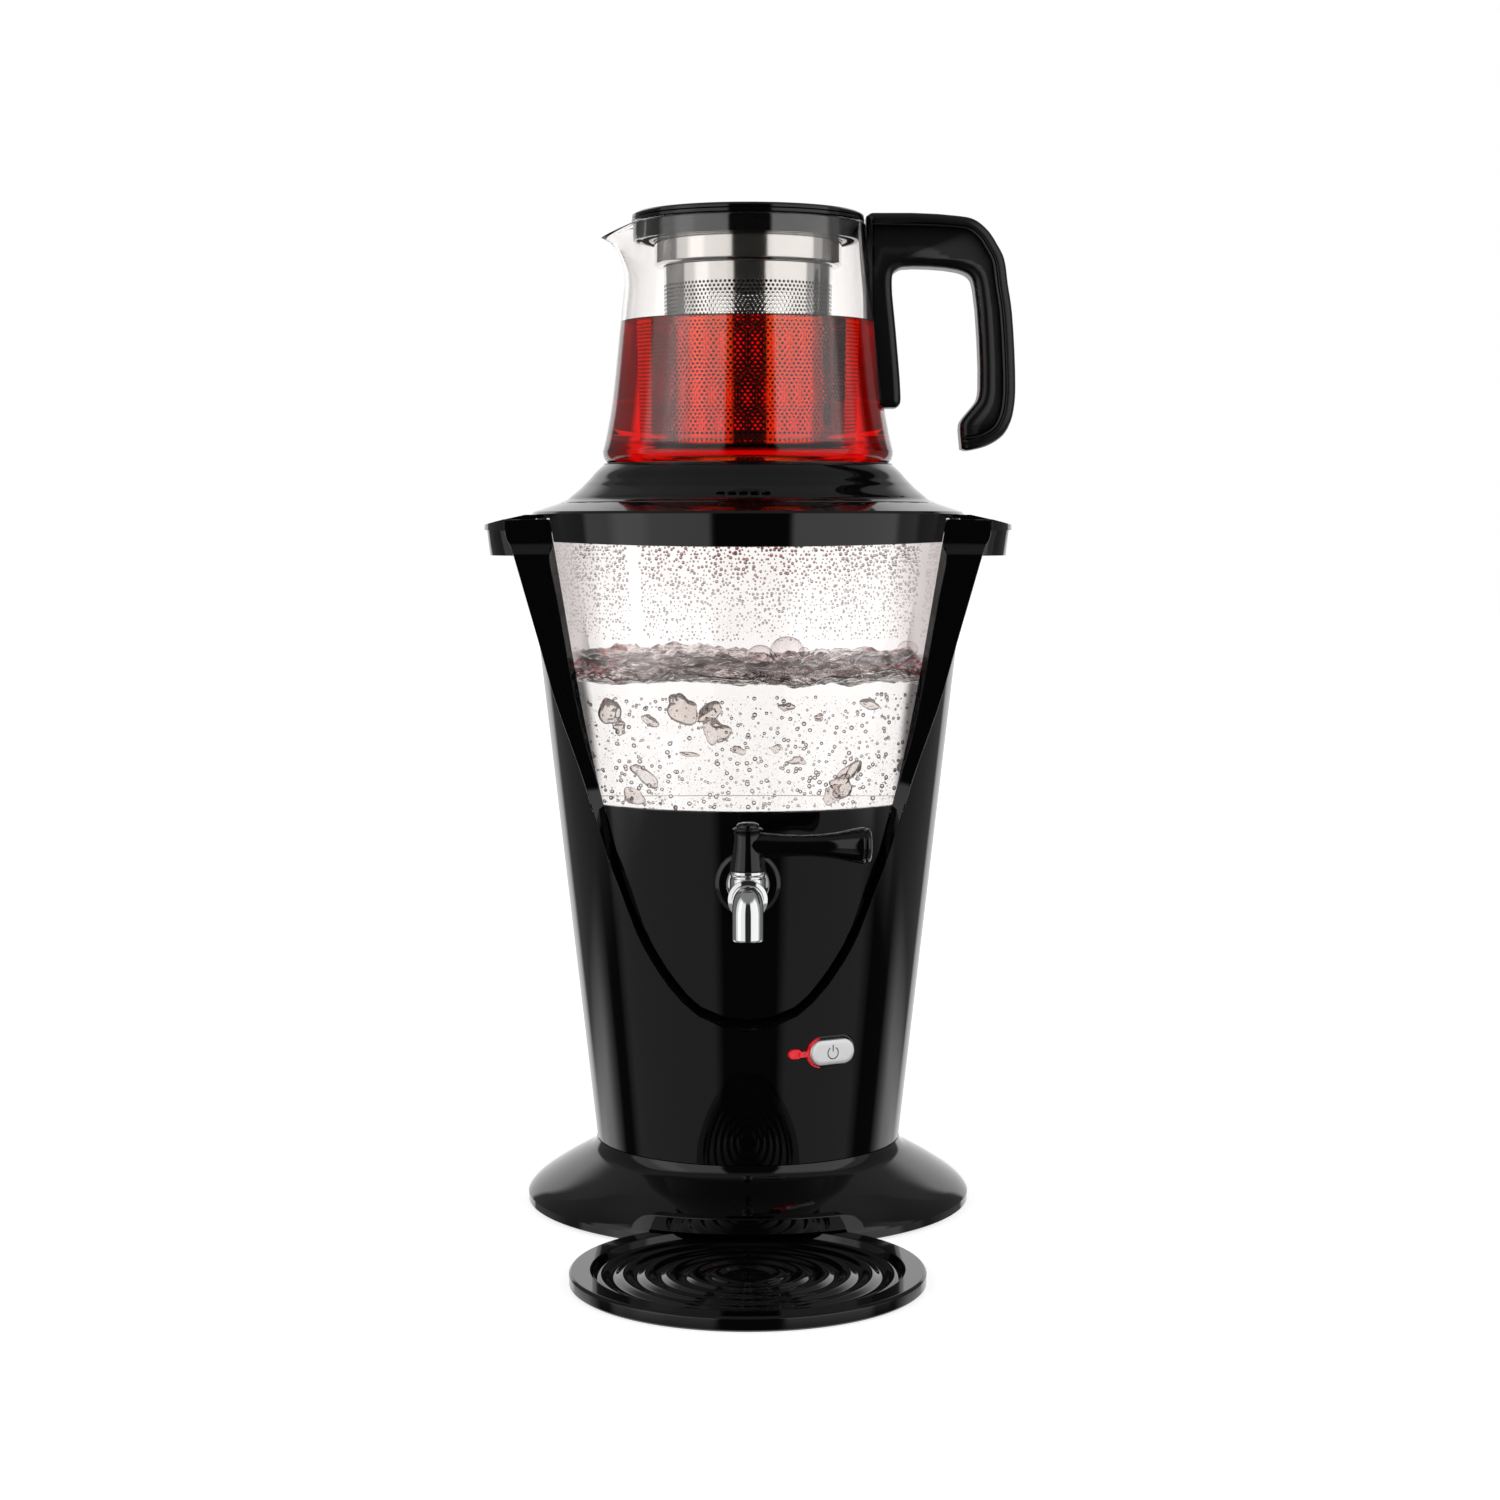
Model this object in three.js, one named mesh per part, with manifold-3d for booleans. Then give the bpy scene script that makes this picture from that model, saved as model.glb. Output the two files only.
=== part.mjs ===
// Electric samovar: a tapered housing round a glass water tank, a tap with a turning lever,
// a lift-off tank lid and a glass teapot with a steel infuser, and a loose drip tray.
// Millimetres, +Z up. The origin is on the table, on the axis of the foot, and -Y is the front.
import * as THREE from 'three';
import { mergeVertices } from 'three/addons/utils/BufferGeometryUtils.js';
import Module from 'manifold-3d';

const wasm = await Module();
wasm.setup();

// Clearances that pieces share
const FIT_GAP = 0.3;
const LOOSE_GAP = 0.6;
const CUT_OVERRUN = 5;

// Foot
const STAND_GAP = 1;
const FOOT_RADIUS = 106;
const FOOT_WALL = 2.8;
const FOOT_TOP = 30.7;
const SPIGOT_HEIGHT = 6;
const BASE_PLATE_THICKNESS = 2.5;
const RUBBER_FOOT_RADIUS = 7;
const RUBBER_FOOT_RECESS = 1.2;
const RUBBER_FOOT_INSET = 22;
const BASE_SCREW_HEAD_RADIUS = 3.6;
const BASE_SCREW_SHANK_RADIUS = 1.7;
const BASE_SCREW_LENGTH = 9;
const BASE_SCREW_INSET = 28;
const SCREW_HEAD_THICKNESS = 1.6;

// Drip tray
const TRAY_RADIUS = 76.7;
const TRAY_NEST = 25;
const TRAY_CENTRE_Y = TRAY_NEST - FOOT_RADIUS - TRAY_RADIUS;
const TRAY_HEIGHT = 6.4;
const TRAY_RIM_WIDTH = 10;
const TRAY_FLOOR = 2.6;
const TRAY_RIDGE_HEIGHT = 1.7;
const TRAY_FIRST_RIDGE = 13.9;
const TRAY_LAST_RIDGE_INSET = 3.8;
const TRAY_RIDGE_COUNT = 6;
const TRAY_EDGE = 1;
const ALCOVE_HEADROOM = 6.2;
const ALCOVE_HEIGHT = TRAY_HEIGHT + ALCOVE_HEADROOM;

// Tapered housing
const BODY_BOTTOM_RADIUS = 72.9;
const BODY_TAPER = 0.113;
const BODY_WALL = 2.6;
const BODY_BOTTOM = FOOT_TOP + FIT_GAP;

// Radius of the housing's outer face at a height; every wall parallel to it is set in from this
const bodyRadius = (z) => BODY_BOTTOM_RADIUS + (z - BODY_BOTTOM) * BODY_TAPER;

// Window cut in the housing, and the skins set into it
const CUT_SILL = 63.9;
const CUT_HEIGHT = 215.1;
const CUT_OVERHANG = 3.573;
const CUT_BOTTOM = BODY_BOTTOM + CUT_SILL;
const CUT_TOP = CUT_BOTTOM + CUT_HEIGHT;
const CUT_HALF_WIDTH = bodyRadius(CUT_TOP) + CUT_OVERHANG;
const PANEL_DEPTH = 3.6;
const PANEL_THICKNESS = 2.3;
const PANEL_HEIGHT = 100.8;
const PANEL_TOP = CUT_BOTTOM + PANEL_HEIGHT;
const TRIM_DEPTH = PANEL_DEPTH + PANEL_THICKNESS + FIT_GAP;
const TANK_DEPTH = TRIM_DEPTH + FIT_GAP;

// Frame that lines the window
const TRIM_THICKNESS = 4;
const TRIM_RISE = 16.8;
const TRIM_TOP = CUT_TOP + TRIM_RISE;
const TRIM_CREASE_WIDTH = 7;
const TRIM_CREASE_LENGTH = 38;
const TRIM_CREASE_BOTTOM = CUT_TOP - TRIM_CREASE_LENGTH;
const FRONT_EDGE_LENGTH = 103;
const FRONT_EDGE_START = CUT_TOP - FRONT_EDGE_LENGTH;
// How far forward the frame's front edge lies, low and high, as shares of the body's radius there
const frontEdgeShares = [0.5777, 0.4405];
const FRONT_EDGE_LOW = bodyRadius(FRONT_EDGE_START) * frontEdgeShares[0];
const FRONT_EDGE_HIGH = bodyRadius(CUT_TOP) * frontEdgeShares[1];

// Carrying ears at the top of the frame
const EAR_FLARE = 4.5;
const EAR_LENGTH = 12.8;
const EAR_INSET = 8;
const EAR_TIP_DROP = 2.8;
const EAR_TIP_THICKNESS = 2.2;
const EAR_ROOT_RISE = 2.1;
const EAR_JOINT_X = CUT_HALF_WIDTH + EAR_FLARE;
const EAR_REACH = EAR_JOINT_X + EAR_LENGTH;
const EAR_ROOT = CUT_HALF_WIDTH - EAR_INSET;
const EAR_TIP_TOP = TRIM_TOP - EAR_TIP_DROP;
const EAR_TIP_BOTTOM = EAR_TIP_TOP - EAR_TIP_THICKNESS;
const EAR_ROOT_TOP = TRIM_TOP + EAR_ROOT_RISE;
const SIDE_WALL = 2.6;
const SIDE_OVERLAP = 8;
const SKIRT_HEIGHT = 12;
const SKIRT_WALL = 2.4;
const SKIRT_LEAN = 2.5;

// Ring on top of the tank
const RING_EDGE_HEIGHT = 1.8;
const RING_RISE = 5.3;
const RING_WIDTH = 13.5;
const RING_SHOULDER = 3.5;
const RING_EDGE_Z = TRIM_TOP + LOOSE_GAP;
const RING_CORNER_Z = RING_EDGE_Z + RING_EDGE_HEIGHT;
const RING_SEAM_Z = RING_CORNER_Z + RING_RISE;
const RING_CORNER_RADIUS = bodyRadius(RING_CORNER_Z) - PANEL_DEPTH;
const RING_SEAM_RADIUS = RING_CORNER_RADIUS - RING_WIDTH;
const RING_OPENING = RING_SEAM_RADIUS - RING_SHOULDER;
const EAR_INNER_RADIUS = RING_CORNER_RADIUS + FIT_GAP;
const RING_PLATE = 2.4;
const RING_LIP_DEPTH = 4;
const RING_BAND_HEIGHT = 13;
const RING_BAND_BOTTOM = RING_EDGE_Z - RING_BAND_HEIGHT;
const RING_BAND_RISE = 1.9;

// Water tank
const TANK_WALL = 3;
const PANEL_LAP = 3.7;
const TANK_BOTTOM = PANEL_TOP - PANEL_LAP;
const TANK_TOP = TRIM_TOP - FIT_GAP;
const SEAL_THICKNESS = 1.9;
const SEAL_WIDTH = 4;
const HEATER_PLATE_THICKNESS = 1.5;
const HEATER_RIM_WIDTH = 14.6;
const HEATER_DISH_RADIUS = bodyRadius(TANK_BOTTOM) - TANK_DEPTH - HEATER_RIM_WIDTH;
const HEATER_DISH_DEPTH = 2;
const ELEMENT_TUBE_RADIUS = 4;
const THERMOSTAT_RADIUS = 9;
const THERMOSTAT_HEIGHT = 12;
const CHASSIS_STEP = 14;
const CHASSIS_RADIUS = HEATER_DISH_RADIUS - CHASSIS_STEP;
const ELEMENT_INSET = 16;
const ELEMENT_RADIUS = CHASSIS_RADIUS - ELEMENT_INSET;
const CHASSIS_WALL = 2.5;
const CHASSIS_FLANGE_GAP = 2.6;
const CHASSIS_FLANGE_RADIUS = bodyRadius(TANK_BOTTOM) - TANK_DEPTH - CHASSIS_FLANGE_GAP;

// Tank lid, which also carries the teapot
const LID_SEAM_GAP = 0.4;
const LID_SLOPE_WIDTH = 20.5;
const LID_RISE = 18.6;
const LID_BOTTOM_RADIUS = RING_SEAM_RADIUS - LID_SEAM_GAP;
const LID_TOP_RADIUS = LID_BOTTOM_RADIUS - LID_SLOPE_WIDTH;
const LID_TOP = RING_SEAM_Z + LID_RISE;
const LID_WALL = 2.5;
const LID_SKIRT_DROP = 8;
const LID_NECK_RADIUS = 32;
const LID_NECK_DROP = 5;
const POT_RECESS_DEPTH = 1.6;
const POT_RECESS_INSET = 2.6;
const POT_RECESS_RADIUS = LID_TOP_RADIUS - POT_RECESS_INSET;
const VENT_COUNT = 5;
const VENT_WIDTH = 4;
const VENT_HEIGHT = 1.8;
const VENT_PITCH = 5.1;
const VENT_LEVEL = 3.7;
const VENT_Z = RING_SEAM_Z + VENT_LEVEL;
const VENT_SHIFT = -2;

// Teapot
const POT_NARROWING = 13.3;
const POT_HEIGHT = 114;
const POT_BASE_RADIUS = LID_TOP_RADIUS + FIT_GAP;
const POT_RIM_RADIUS = POT_BASE_RADIUS - POT_NARROWING;
const POT_BASE_Z = LID_TOP - POT_RECESS_DEPTH + FIT_GAP;
const POT_RIM_Z = POT_BASE_Z + POT_HEIGHT;
const POT_WALL = 2.2;
const POT_FLOOR = 4;
const POT_CORNER = 7;
const SPOUT_REACH = 14.5;
const SPOUT_DROP = 5;
const SPOUT_LENGTH = 32;
const SPOUT_HALF_ANGLE = 26;
const HANDLE_THICKNESS = 21;
const HANDLE_BEVEL = 2;
const HANDLE_WIDTH = 70.7;
const HANDLE_RISE = 4.6;
const HANDLE_LIFT = 7.5;
const HANDLE_TOP = POT_RIM_Z + HANDLE_RISE;
const HANDLE_BOTTOM = POT_BASE_Z + HANDLE_LIFT;

// Infuser and teapot lid
const COLLAR_SKIRT_GAP = 1;
const COLLAR_DEPTH = 8.5;
const COLLAR_LEDGE = 8.1;
const COLLAR_FLANGE_RADIUS = POT_RIM_RADIUS - LOOSE_GAP;
const COLLAR_SKIRT_RADIUS = POT_RIM_RADIUS - POT_WALL - COLLAR_SKIRT_GAP;
const COLLAR_BOTTOM = POT_RIM_Z - COLLAR_DEPTH;
const COLLAR_THICKNESS = 1.6;
const COLLAR_WALL = 2.2;
const STRAINER_RING_HEIGHT = 20.5;
const STRAINER_SHOULDER = 4.4;
const STRAINER_NARROWING = 1.3;
const STRAINER_LIFT = 7.4;
const STRAINER_RING_RADIUS = COLLAR_SKIRT_RADIUS - COLLAR_LEDGE;
const STRAINER_RING_BOTTOM = POT_RIM_Z - STRAINER_RING_HEIGHT;
const STRAINER_TOP_RADIUS = STRAINER_RING_RADIUS - STRAINER_SHOULDER;
const STRAINER_BOTTOM_RADIUS = STRAINER_TOP_RADIUS - STRAINER_NARROWING;
const STRAINER_BOTTOM = POT_BASE_Z + STRAINER_LIFT;
const STEEL_WALL = 0.8;
const POT_LID_INSET = 0.2;
const POT_LID_THICKNESS = 2.6;
const POT_LID_PLUG_INSET = 3.3;
const POT_LID_RADIUS = COLLAR_FLANGE_RADIUS - POT_LID_INSET;
const POT_LID_BOTTOM = POT_RIM_Z + COLLAR_THICKNESS + 2 * FIT_GAP;
const POT_LID_TOP = POT_LID_BOTTOM + POT_LID_THICKNESS;
const POT_LID_PLUG_RADIUS = STRAINER_RING_RADIUS - POT_LID_PLUG_INSET;
const POT_LID_PLUG_DEPTH = 5;
const POT_LID_EDGE = 1;

// Tap
const TAP_DROP = 32.7;
const TAP_AXIS_Z = PANEL_TOP - TAP_DROP;
const ESCUTCHEON_RADIUS = 15;
const ESCUTCHEON_THICKNESS = 3.2;
const SHANK_RADIUS = 6;
const SHANK_INSIDE = 15;
const BARREL_RADIUS = 6.6;
const BARREL_FLANGE_RADIUS = 9.8;
const BARREL_FLANGE_THICKNESS = 4;
const BARREL_FILLET = 1;
const VALVE_FORWARD = 24.5;
const VALVE_RADIUS = 8;
const VALVE_RISE = 8.8;
const VALVE_DEPTH = 8.5;
const VALVE_TOP = TAP_AXIS_Z + VALVE_RISE;
const VALVE_BOTTOM = TAP_AXIS_Z - VALVE_DEPTH;
const VALVE_BORE = 4.5;
const SPOUT_FORWARD = 40.3;
const SPOUT_PIPE_RADIUS = 6.9;
const SPOUT_BORE = 4.9;
const SPOUT_OFFSET = 3;
const SPOUT_FALL = 17.4;
const SPOUT_AXIS_Z = TAP_AXIS_Z - SPOUT_OFFSET;
const SPOUT_END_Z = SPOUT_AXIS_Z - SPOUT_FALL;
const SPOUT_COLLAR_BACK = 7.1;
const STUB_RADIUS = 6;
const SPOUT_COLLAR_RADIUS = 8.8;
const SPOUT_COLLAR_THICKNESS = 2.2;
const TAP_NUT_RADIUS = 10;
const TAP_NUT_THICKNESS = 4;
const HOSE_RADIUS = 5.2;
const HOSE_BORE = 3;
const HOSE_BEND = 8;
const HUB_BASE_RADIUS = 7.9;
const HUB_HEIGHT = 21.6;
const HUB_TOP = VALVE_TOP + HUB_HEIGHT;
const LEVER_REACH = 54.7;
const LEVER_DROP = 10.5;
const LEVER_AXIS_Z = HUB_TOP - LEVER_DROP;
const LEVER_WAIST_RADIUS = 4.2;
const LEVER_ROOT_RADIUS = 5;
const LEVER_END_RADIUS = 8.1;
const PLUG_STEM_DEPTH = 8;

// Switch and indicator
const BUTTON_AZIMUTH = 29.2;
const BUTTON_DROP = 11.7;
const BUTTON_Z = CUT_BOTTOM - BUTTON_DROP;
const BUTTON_WIDTH = 24;
const BUTTON_HEIGHT = 12.4;
const BUTTON_DEPTH = 6;
const BUTTON_PROUD = 1.2;
const BUTTON_RIM = 1.4;
const RECESS_DEPTH = 1.1;
const LENS_SPACING = 18.16;
const LENS_AZIMUTH = BUTTON_AZIMUTH
  - THREE.MathUtils.radToDeg(LENS_SPACING / bodyRadius(BUTTON_Z));
const LENS_WIDTH = 6.5;
const LENS_HEIGHT = 4.3;
const LENS_DEPTH = 4;
const LENS_PROUD = 0.3;
const SWITCH_MARGIN = 1.6;
const SWITCH_DEPTH = 12;
const BUTTON_TRAVEL = 1.6;

// Mains inlet at the back
const GLAND_RISE = 14;
const GLAND_Z = BODY_BOTTOM + GLAND_RISE;
const GLAND_RADIUS = 7;
const GLAND_FLANGE_RADIUS = 9.5;
const GLAND_BORE = 3.4;
const GLAND_LENGTH = 12;
const GLAND_FLANGE_THICKNESS = 2;
const TERMINAL_WIDTH = 30;
const TERMINAL_DEPTH = 16;
const TERMINAL_HEIGHT = 12;

// How finely round shapes are cut
const ROUND = 40;
const HIDDEN_ROUND = 24;
const SMALL_ROUND = 16;
const TINY_ROUND = 8;
const CURVE_STEPS = 2;

// Finishes
const GLOSS_BLACK = { color: 0x0b0b0c, roughness: 0.08, metalness: 0 };
const SATIN_BLACK = { color: 0x161617, roughness: 0.45, metalness: 0 };
const CLEAR_GLASS = { color: 0xeaf2f2, roughness: 0.02, metalness: 0, transparent: true, opacity: 0.3 };
const CHROME = { color: 0xd8dadc, roughness: 0.06, metalness: 1 };
const STEEL = { color: 0xc4c5c6, roughness: 0.28, metalness: 1 };
const RUBBER = { color: 0x1c1c1c, roughness: 0.9, metalness: 0 };
const SILICONE = { color: 0xd9d9d6, roughness: 0.7, metalness: 0 };
const INNER_PLASTIC = { color: 0x3a3a3c, roughness: 0.6, metalness: 0 };
const BUTTON_SILVER = { color: 0xd5d6d8, roughness: 0.3, metalness: 0.2 };
const RED_LENS = { color: 0xd1122a, roughness: 0.15, metalness: 0, transparent: true, opacity: 0.8 };

const samovar = new THREE.Group();

function addMesh(name, geometry, finish, parent = samovar) {
  geometry.computeVertexNormals();
  const mesh = new THREE.Mesh(geometry, new THREE.MeshStandardMaterial(finish));
  mesh.name = name;
  parent.add(mesh);
  return mesh;
}

// A closed geometry becomes a solid for cutting and joining
function toSolid(geometry) {
  const bare = geometry.clone();
  bare.deleteAttribute('normal');
  bare.deleteAttribute('uv');
  const merged = mergeVertices(bare);
  const index = merged.index.array;
  const kept = [];
  for (let i = 0; i < index.length; i += 3) {
    const [a, b, c] = [index[i], index[i + 1], index[i + 2]];
    if (a !== b && b !== c && c !== a) {
      kept.push(a, b, c);
    }
  }
  const vertProperties = new Float32Array(merged.attributes.position.array);
  const solid = new wasm.Manifold(
    new wasm.Mesh({ numProp: 3, vertProperties, triVerts: new Uint32Array(kept) }));
  if (solid.volume() >= 0) {
    return solid;
  }
  for (let i = 0; i < kept.length; i += 3) {
    [kept[i], kept[i + 1]] = [kept[i + 1], kept[i]];
  }
  return new wasm.Manifold(
    new wasm.Mesh({ numProp: 3, vertProperties, triVerts: new Uint32Array(kept) }));
}

function toGeometry(solid) {
  const cut = solid.getMesh();
  const geometry = new THREE.BufferGeometry();
  geometry.setAttribute('position', new THREE.BufferAttribute(new Float32Array(cut.vertProperties), 3));
  geometry.setIndex(new THREE.BufferAttribute(new Uint32Array(cut.triVerts), 1));
  return geometry;
}

const addSolid = (name, solid, finish, parent = samovar) =>
  addMesh(name, toGeometry(solid), finish, parent);

// A closed outline of [radius, z] points turned about the Z axis
function turned(outline, segments = ROUND) {
  const points = outline.map(([r, z]) => new THREE.Vector2(r, z));
  if (outline[0][0] > 0) {
    points.push(points[0].clone());
  }
  const geometry = new THREE.LatheGeometry(points, segments);
  geometry.rotateX(Math.PI / 2);
  return toSolid(geometry);
}

// A straight bar turned about its own length, laid along +Z and then moved by a matrix
const rod = (radius, from, to, segments = SMALL_ROUND) =>
  turned([[0, from], [radius, from], [radius, to], [0, to]], segments);

// A cone frustum parallel to the housing, set in by a depth
function parallelCone(depth, from, to) {
  return turned([[0, from], [bodyRadius(from) - depth, from], [bodyRadius(to) - depth, to], [0, to]]);
}

// A shape in the XZ plane, pushed along Y on both sides of the axis
function acrossY(points, from, to) {
  const shape = new THREE.Shape(points.map(([x, z]) => new THREE.Vector2(x, z)));
  const geometry = new THREE.ExtrudeGeometry(shape, { depth: to - from, bevelEnabled: false });
  geometry.rotateX(Math.PI / 2);
  geometry.translate(0, to, 0);
  return toSolid(geometry);
}

// A shape in the YZ plane, pushed along X
function acrossX(points, from, to) {
  const shape = new THREE.Shape(points.map(([y, z]) => new THREE.Vector2(y, z)));
  const geometry = new THREE.ExtrudeGeometry(shape, { depth: to - from, bevelEnabled: false });
  geometry.rotateX(Math.PI / 2);
  geometry.rotateZ(Math.PI / 2);
  geometry.translate(from, 0, 0);
  return toSolid(geometry);
}

// A shape in the XY plane, pushed up
function upright(points, from, to) {
  const shape = new THREE.Shape(points.map(([x, y]) => new THREE.Vector2(x, y)));
  const geometry = new THREE.ExtrudeGeometry(shape, { depth: to - from, bevelEnabled: false });
  geometry.translate(0, 0, from);
  return toSolid(geometry);
}

// A solid laid with its own Z axis along a direction, its origin at a point
function laidAlong(solid, direction, origin) {
  const turn = new THREE.Quaternion().setFromUnitVectors(
    new THREE.Vector3(0, 0, 1), new THREE.Vector3(...direction).normalize());
  const matrix = new THREE.Matrix4().compose(
    new THREE.Vector3(...origin), turn, new THREE.Vector3(1, 1, 1));
  return solid.transform(matrix.elements);
}

const FRONTWARD = [0, -1, 0];
const mirrorY = (solid) => solid.mirror([0, 1, 0]);
const mirrorX = (solid) => solid.mirror([1, 0, 0]);

// A slice of closed sections, each a ring of points, capped at both ends
function lofted(sections) {
  const count = sections[0].length;
  const positions = sections.flat(2);
  const index = [];
  for (let s = 0; s + 1 < sections.length; s++) {
    for (let k = 0; k < count; k++) {
      const a = s * count + k;
      const b = s * count + (k + 1) % count;
      index.push(a, b, b + count, a, b + count, a + count);
    }
  }
  const last = (sections.length - 1) * count;
  for (let k = 1; k + 1 < count; k++) {
    index.push(0, k + 1, k, last, last + k, last + k + 1);
  }
  const geometry = new THREE.BufferGeometry();
  geometry.setAttribute('position', new THREE.Float32BufferAttribute(positions, 3));
  geometry.setIndex(index);
  return toSolid(geometry);
}

// Outline of the window cut: shares of its half width and of its height, from the middle of the
// bottom up one side. The inner shares are where the lining meets the tank, one for each outer one.
const cutShares = [[0, 0], [0.205, 0.03], [0.329, 0.089], [0.408, 0.143], [0.472, 0.203],
  [0.536, 0.286], [0.61, 0.38], [0.702, 0.521], [0.822, 0.69], [0.8935, 0.816], [1, 1]];
const innerShares = [[0, 0.0175], [0.2, 0.044], [0.308, 0.098], [0.38, 0.15], [0.442, 0.203],
  [0.511, 0.281], [0.567, 0.38], [0.642, 0.521], [0.714, 0.69], [0.759, 0.816], [0.822, 1]];
const OUTLINE_STEPS = (cutShares.length - 1) * CURVE_STEPS;

function outlineCurve(shares) {
  const points = shares.map(([x, z]) =>
    new THREE.Vector3(x * CUT_HALF_WIDTH, 0, CUT_BOTTOM + z * CUT_HEIGHT));
  const mirrored = points.slice(1, 3).reverse().map((p) => new THREE.Vector3(-p.x, 0, p.z));
  const curve = new THREE.CatmullRomCurve3([...mirrored, ...points], false, 'centripetal');
  const whole = mirrored.length + points.length - 1;
  const places = [];
  for (let i = 0; i <= OUTLINE_STEPS; i++) {
    const t = (mirrored.length + i / CURVE_STEPS) / whole;
    const p = curve.getPoint(Math.min(t, 1));
    places.push([i === 0 ? 0 : p.x, p.z]);
  }
  return places;
}

const outerEdge = outlineCurve(cutShares);
const innerEdge = outlineCurve(innerShares);

// Half width of an outline at a height
function halfWidthAt(edge, z) {
  const last = edge.length - 1;
  for (let i = 0; i < last; i++) {
    if (z <= edge[i + 1][1] || i === last - 1) {
      const share = (z - edge[i][1]) / (edge[i + 1][1] - edge[i][1]);
      return edge[i][0] + share * (edge[i + 1][0] - edge[i][0]);
    }
  }
  return edge[last][0];
}

// The window's outline as a closed prism through the housing, grown or shrunk sideways
function windowPrism(edge, growth, top, from, to) {
  const side = edge.filter(([, z]) => z < top).map(([x, z], i, all) => {
    const before = all[Math.max(i - 1, 0)];
    const after = all[Math.min(i + 1, all.length - 1)];
    const run = i === 0 ? [1, 0] : [after[0] - before[0], after[1] - before[1]];
    const length = Math.hypot(run[0], run[1]);
    return [i === 0 ? 0 : x + growth * run[1] / length, z - growth * run[0] / length];
  });
  side.push([halfWidthAt(edge, top) + growth, top]);
  const left = side.slice(1).reverse().map(([x, z]) => [-x, z]);
  return acrossY([...left, ...side], from, to);
}

// How far forward the lining's outer edge stands at a height of the straight part
function frontEdge(z) {
  const share = Math.max(0, (z - FRONT_EDGE_START) / (CUT_TOP - FRONT_EDGE_START));
  return FRONT_EDGE_LOW + Math.min(share, 1) * (FRONT_EDGE_HIGH - FRONT_EDGE_LOW);
}

const onCone = (x, z, depth) => Math.sqrt((bodyRadius(z) - depth) ** 2 - x * x);

// Plan of an ear: an ellipse that starts at its root
const earDepthAt = (x) =>
  FRONT_EDGE_HIGH * Math.sqrt(Math.max(0, 1 - ((x - EAR_ROOT) / (EAR_REACH - EAR_ROOT)) ** 2));

// The lining's outer edge turns outward at the top, as shares of the ear's joint with it
const flareShares = [[0.36, 0.36], [0.78, 0.62]];
const flare = flareShares.map(([across, up]) => [
  CUT_HALF_WIDTH + across * (EAR_JOINT_X - CUT_HALF_WIDTH),
  CUT_TOP + up * (EAR_TIP_BOTTOM - CUT_TOP)]);
flare.push([EAR_JOINT_X, EAR_TIP_BOTTOM - FIT_GAP]);

// One station of the lining: outer edge, crease, inner edge, and two points behind them,
// which a growth moves further back
function trimSection(outer, inner, growth) {
  const [ox, oz] = outer;
  const [ix, iz] = inner;
  const forward = Math.max(onCone(ox, oz, FIT_GAP), 0);
  const oy = oz < FRONT_EDGE_START
    ? forward
    : (ox > CUT_HALF_WIDTH ? Math.min(frontEdge(oz), earDepthAt(ox)) : frontEdge(oz));
  const iy = onCone(ix, iz, TRIM_DEPTH);
  const across = [ox - ix, oz - iz];
  const width = Math.hypot(...across);
  const rise = Math.max(0, (iz - TRIM_CREASE_BOTTOM) / (TRIM_TOP - TRIM_CREASE_BOTTOM));
  const crease = Math.max(FIT_GAP, TRIM_CREASE_WIDTH * Math.sqrt(rise)) / width;
  const cx = ix + across[0] * crease;
  const cz = iz + across[1] * crease;
  const cy = Math.max(iy + (oy - iy) * crease, rise > 0 ? oy * (1 - crease) + oy * crease : 0);
  const back = Math.min(TRIM_THICKNESS, width) / width;
  const bx = ix + across[0] * back;
  const bz = iz + across[1] * back;
  const by = Math.min(onCone(bx, bz, TRIM_DEPTH), iy) - growth;
  const sideways = ox > 0 ? growth : 0;
  return [
    [ox, oy, oz], [cx, cy, cz], [ix, iy, iz],
    [bx + sideways, by - growth, bz], [ox + sideways, oy - TRIM_THICKNESS - growth, oz]];
}

// The lining of the front window, one piece from ear to ear round the bottom
function windowTrim(growth) {
  const half = outerEdge.map((outer, i) => trimSection(outer, innerEdge[i], growth));
  const topInner = [innerEdge.at(-1)[0] + (TRIM_TOP - CUT_TOP) * SIDE_SLOPE, TRIM_TOP];
  flare.forEach((outer, i) => {
    const share = (i + 1) / (flare.length + 1);
    const inner = [innerEdge.at(-1)[0] + (topInner[0] - innerEdge.at(-1)[0]) * share,
      CUT_TOP + (TRIM_TOP - CUT_TOP) * share];
    half.push(trimSection(outer, inner, growth));
  });
  half.push(trimSection([EAR_JOINT_X, TRIM_TOP - FIT_GAP], topInner, growth));
  const right = lofted(half.map((section) => section.map(([x, y, z]) => [x, -y, z])));
  return right.add(mirrorX(right));
}

// How fast the tank's visible edge spreads with height
const SIDE_SLOPE = (innerShares.at(-1)[0] - innerShares.at(-3)[0]) * CUT_HALF_WIDTH
  / ((innerShares.at(-1)[1] - innerShares.at(-3)[1]) * CUT_HEIGHT);

// The foot's outer slope, as shares of its reach beyond the neck and of its height
const footShares = [[1, 0], [1, 0.16], [0.965, 0.255], [0.845, 0.395], [0.52, 0.61],
  [0.185, 0.805], [0.05, 0.9], [0, 1]];

function footOutline(inset) {
  const reach = FOOT_RADIUS - BODY_BOTTOM_RADIUS;
  const height = FOOT_TOP - STAND_GAP;
  return footShares.map(([out, up]) => [
    BODY_BOTTOM_RADIUS + out * reach - inset, STAND_GAP + up * height - (up > 0 ? inset : 0)]);
}

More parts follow.
